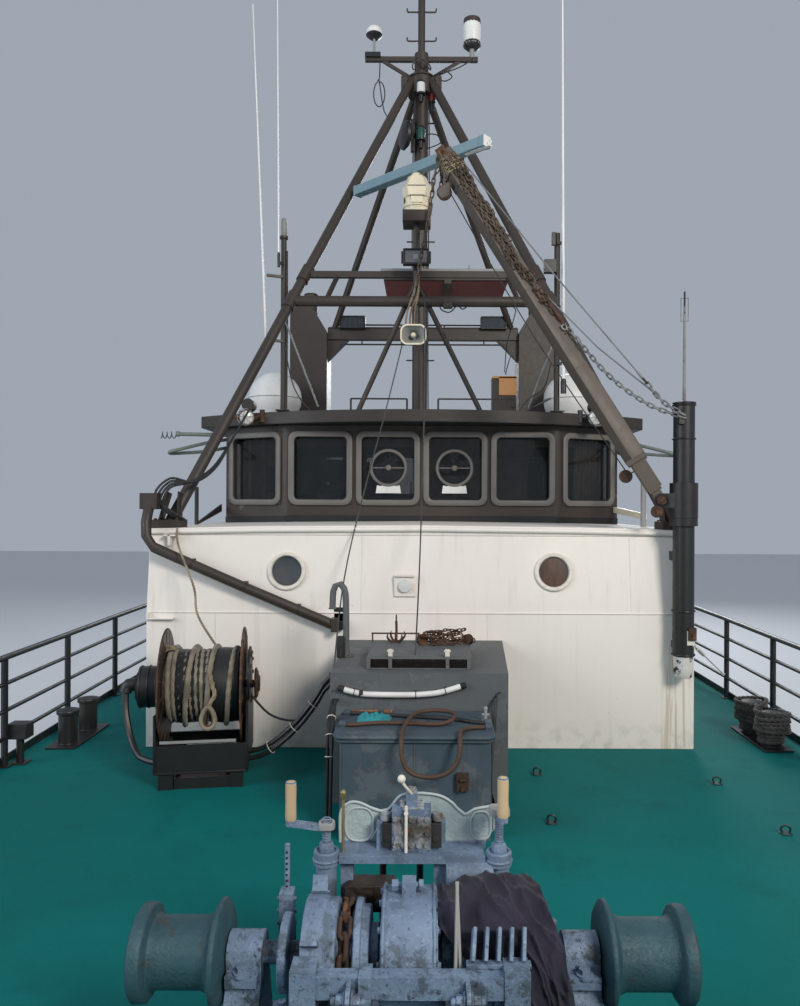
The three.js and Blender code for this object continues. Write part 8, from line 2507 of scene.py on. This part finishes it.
# Hatch cover clips and handle, gantry steps and lamp, bolts of the gantry's feet
clips = Shape()
for x in (-0.6, 0.0, 0.6):
    clips.rod((x, 8.392, 2.33), (x, 8.392, 2.49), 0.011, 10)
    clips.rod((x, 8.392, 2.49), (x, 8.392, 2.535), 0.020, 6)
clips.tube(curved([(-0.22, 7.70, 2.503), (-0.22, 7.70, 2.56), (-0.18, 7.70, 2.585), (0.18, 7.70, 2.585),
    (0.22, 7.70, 2.56), (0.22, 7.70, 2.503)], 5), 0.011, 12)
clips.piece("hatch_lid_clips", "hatch_lid", paints["zinc"], 0.001)
steps = Shape()
for k in range(9):
    t = (0.35 + 0.42 * k) / 4.2
    x, y, z = 2.30 - 0.20 * t, 11.50 - 0.20 * t, 2.0 + 4.2 * t
    steps.tube([(x - 0.16, y - 0.11, z), (x - 0.16, y - 0.22, z), (x + 0.16, y - 0.22, z),
        (x + 0.16, y - 0.11, z)], 0.011, 8)
steps.piece("gantry_steps", "root", paints["brown"])
sternLamp = Shape()
sternLamp.block((-0.16, 11.16, 5.92), (0.16, 11.24, 6.08))
sternLamp.bar((0, 11.22, 6.06), (0, 11.28, 6.18), 0.05, 0.03)
sternLamp.piece("gantry_lamp", "root", paints["black"], 0.004)
Shape().block((-0.14, 11.152, 5.94), (0.14, 11.16, 6.06)).piece("gantry_lamp_glass", "root", lampGlass)
feet = [(Vector((side * 2.30 + dx, 11.5 + dy, 2.03)), Vector((0, 0, 1)))
    for side in (-1, 1) for dx in (-0.13, 0.13) for dy in (-0.13, 0.13)]
bolts("gantry_foot_bolts", feet, "root", paints["rusty"], 0.020, 0.018)
print("house sides, back and stern done")

# Floor at the height of the water, and soft studio light
floorMesh = bpy.data.meshes.new("studioFloor")
floorMesh.from_pydata([(-60, -60, 0), (60, -60, 0), (60, 60, 0), (-60, 60, 0)], [], [(0, 1, 2, 3)])
studioFloor = bpy.data.objects.new("studioFloor", floorMesh)
bpy.context.scene.collection.objects.link(studioFloor)
floorFinish = Finish("paleFloor")
floorMesh.materials.append(floorFinish.shell((0.62, 0.64, 0.66), 0.6))

lightSet = {"key": ((9, -20, 13), 900, 5, (1.0, 0.93, 0.84)),
    "fill": ((-16, -14, 10), 500, 10, (0.85, 0.92, 1.0)), "back": ((4, 20, 14), 900, 10, (0.95, 0.97, 1.0))}
for name, (place, power, size, tint) in lightSet.items():
    lampData = bpy.data.lights.new(name, "AREA")
    lampData.energy = power * 3
    lampData.size = size
    lampData.color = tint
    lamp = bpy.data.objects.new(name, lampData)
    lamp.location = place
    lamp.rotation_euler = (Vector((0, -3, 3.5)) - Vector(place)).to_track_quat("-Z", "Y").to_euler()
    bpy.context.scene.collection.objects.link(lamp)
world = bpy.data.worlds.new("studio")
bpy.context.scene.world = world
world.use_nodes = True
world.node_tree.nodes["Background"].inputs[0].default_value = (0.72, 0.80, 0.92, 1)
world.node_tree.nodes["Background"].inputs[1].default_value = 0.48
bpy.context.scene.view_settings.view_transform = "Standard"
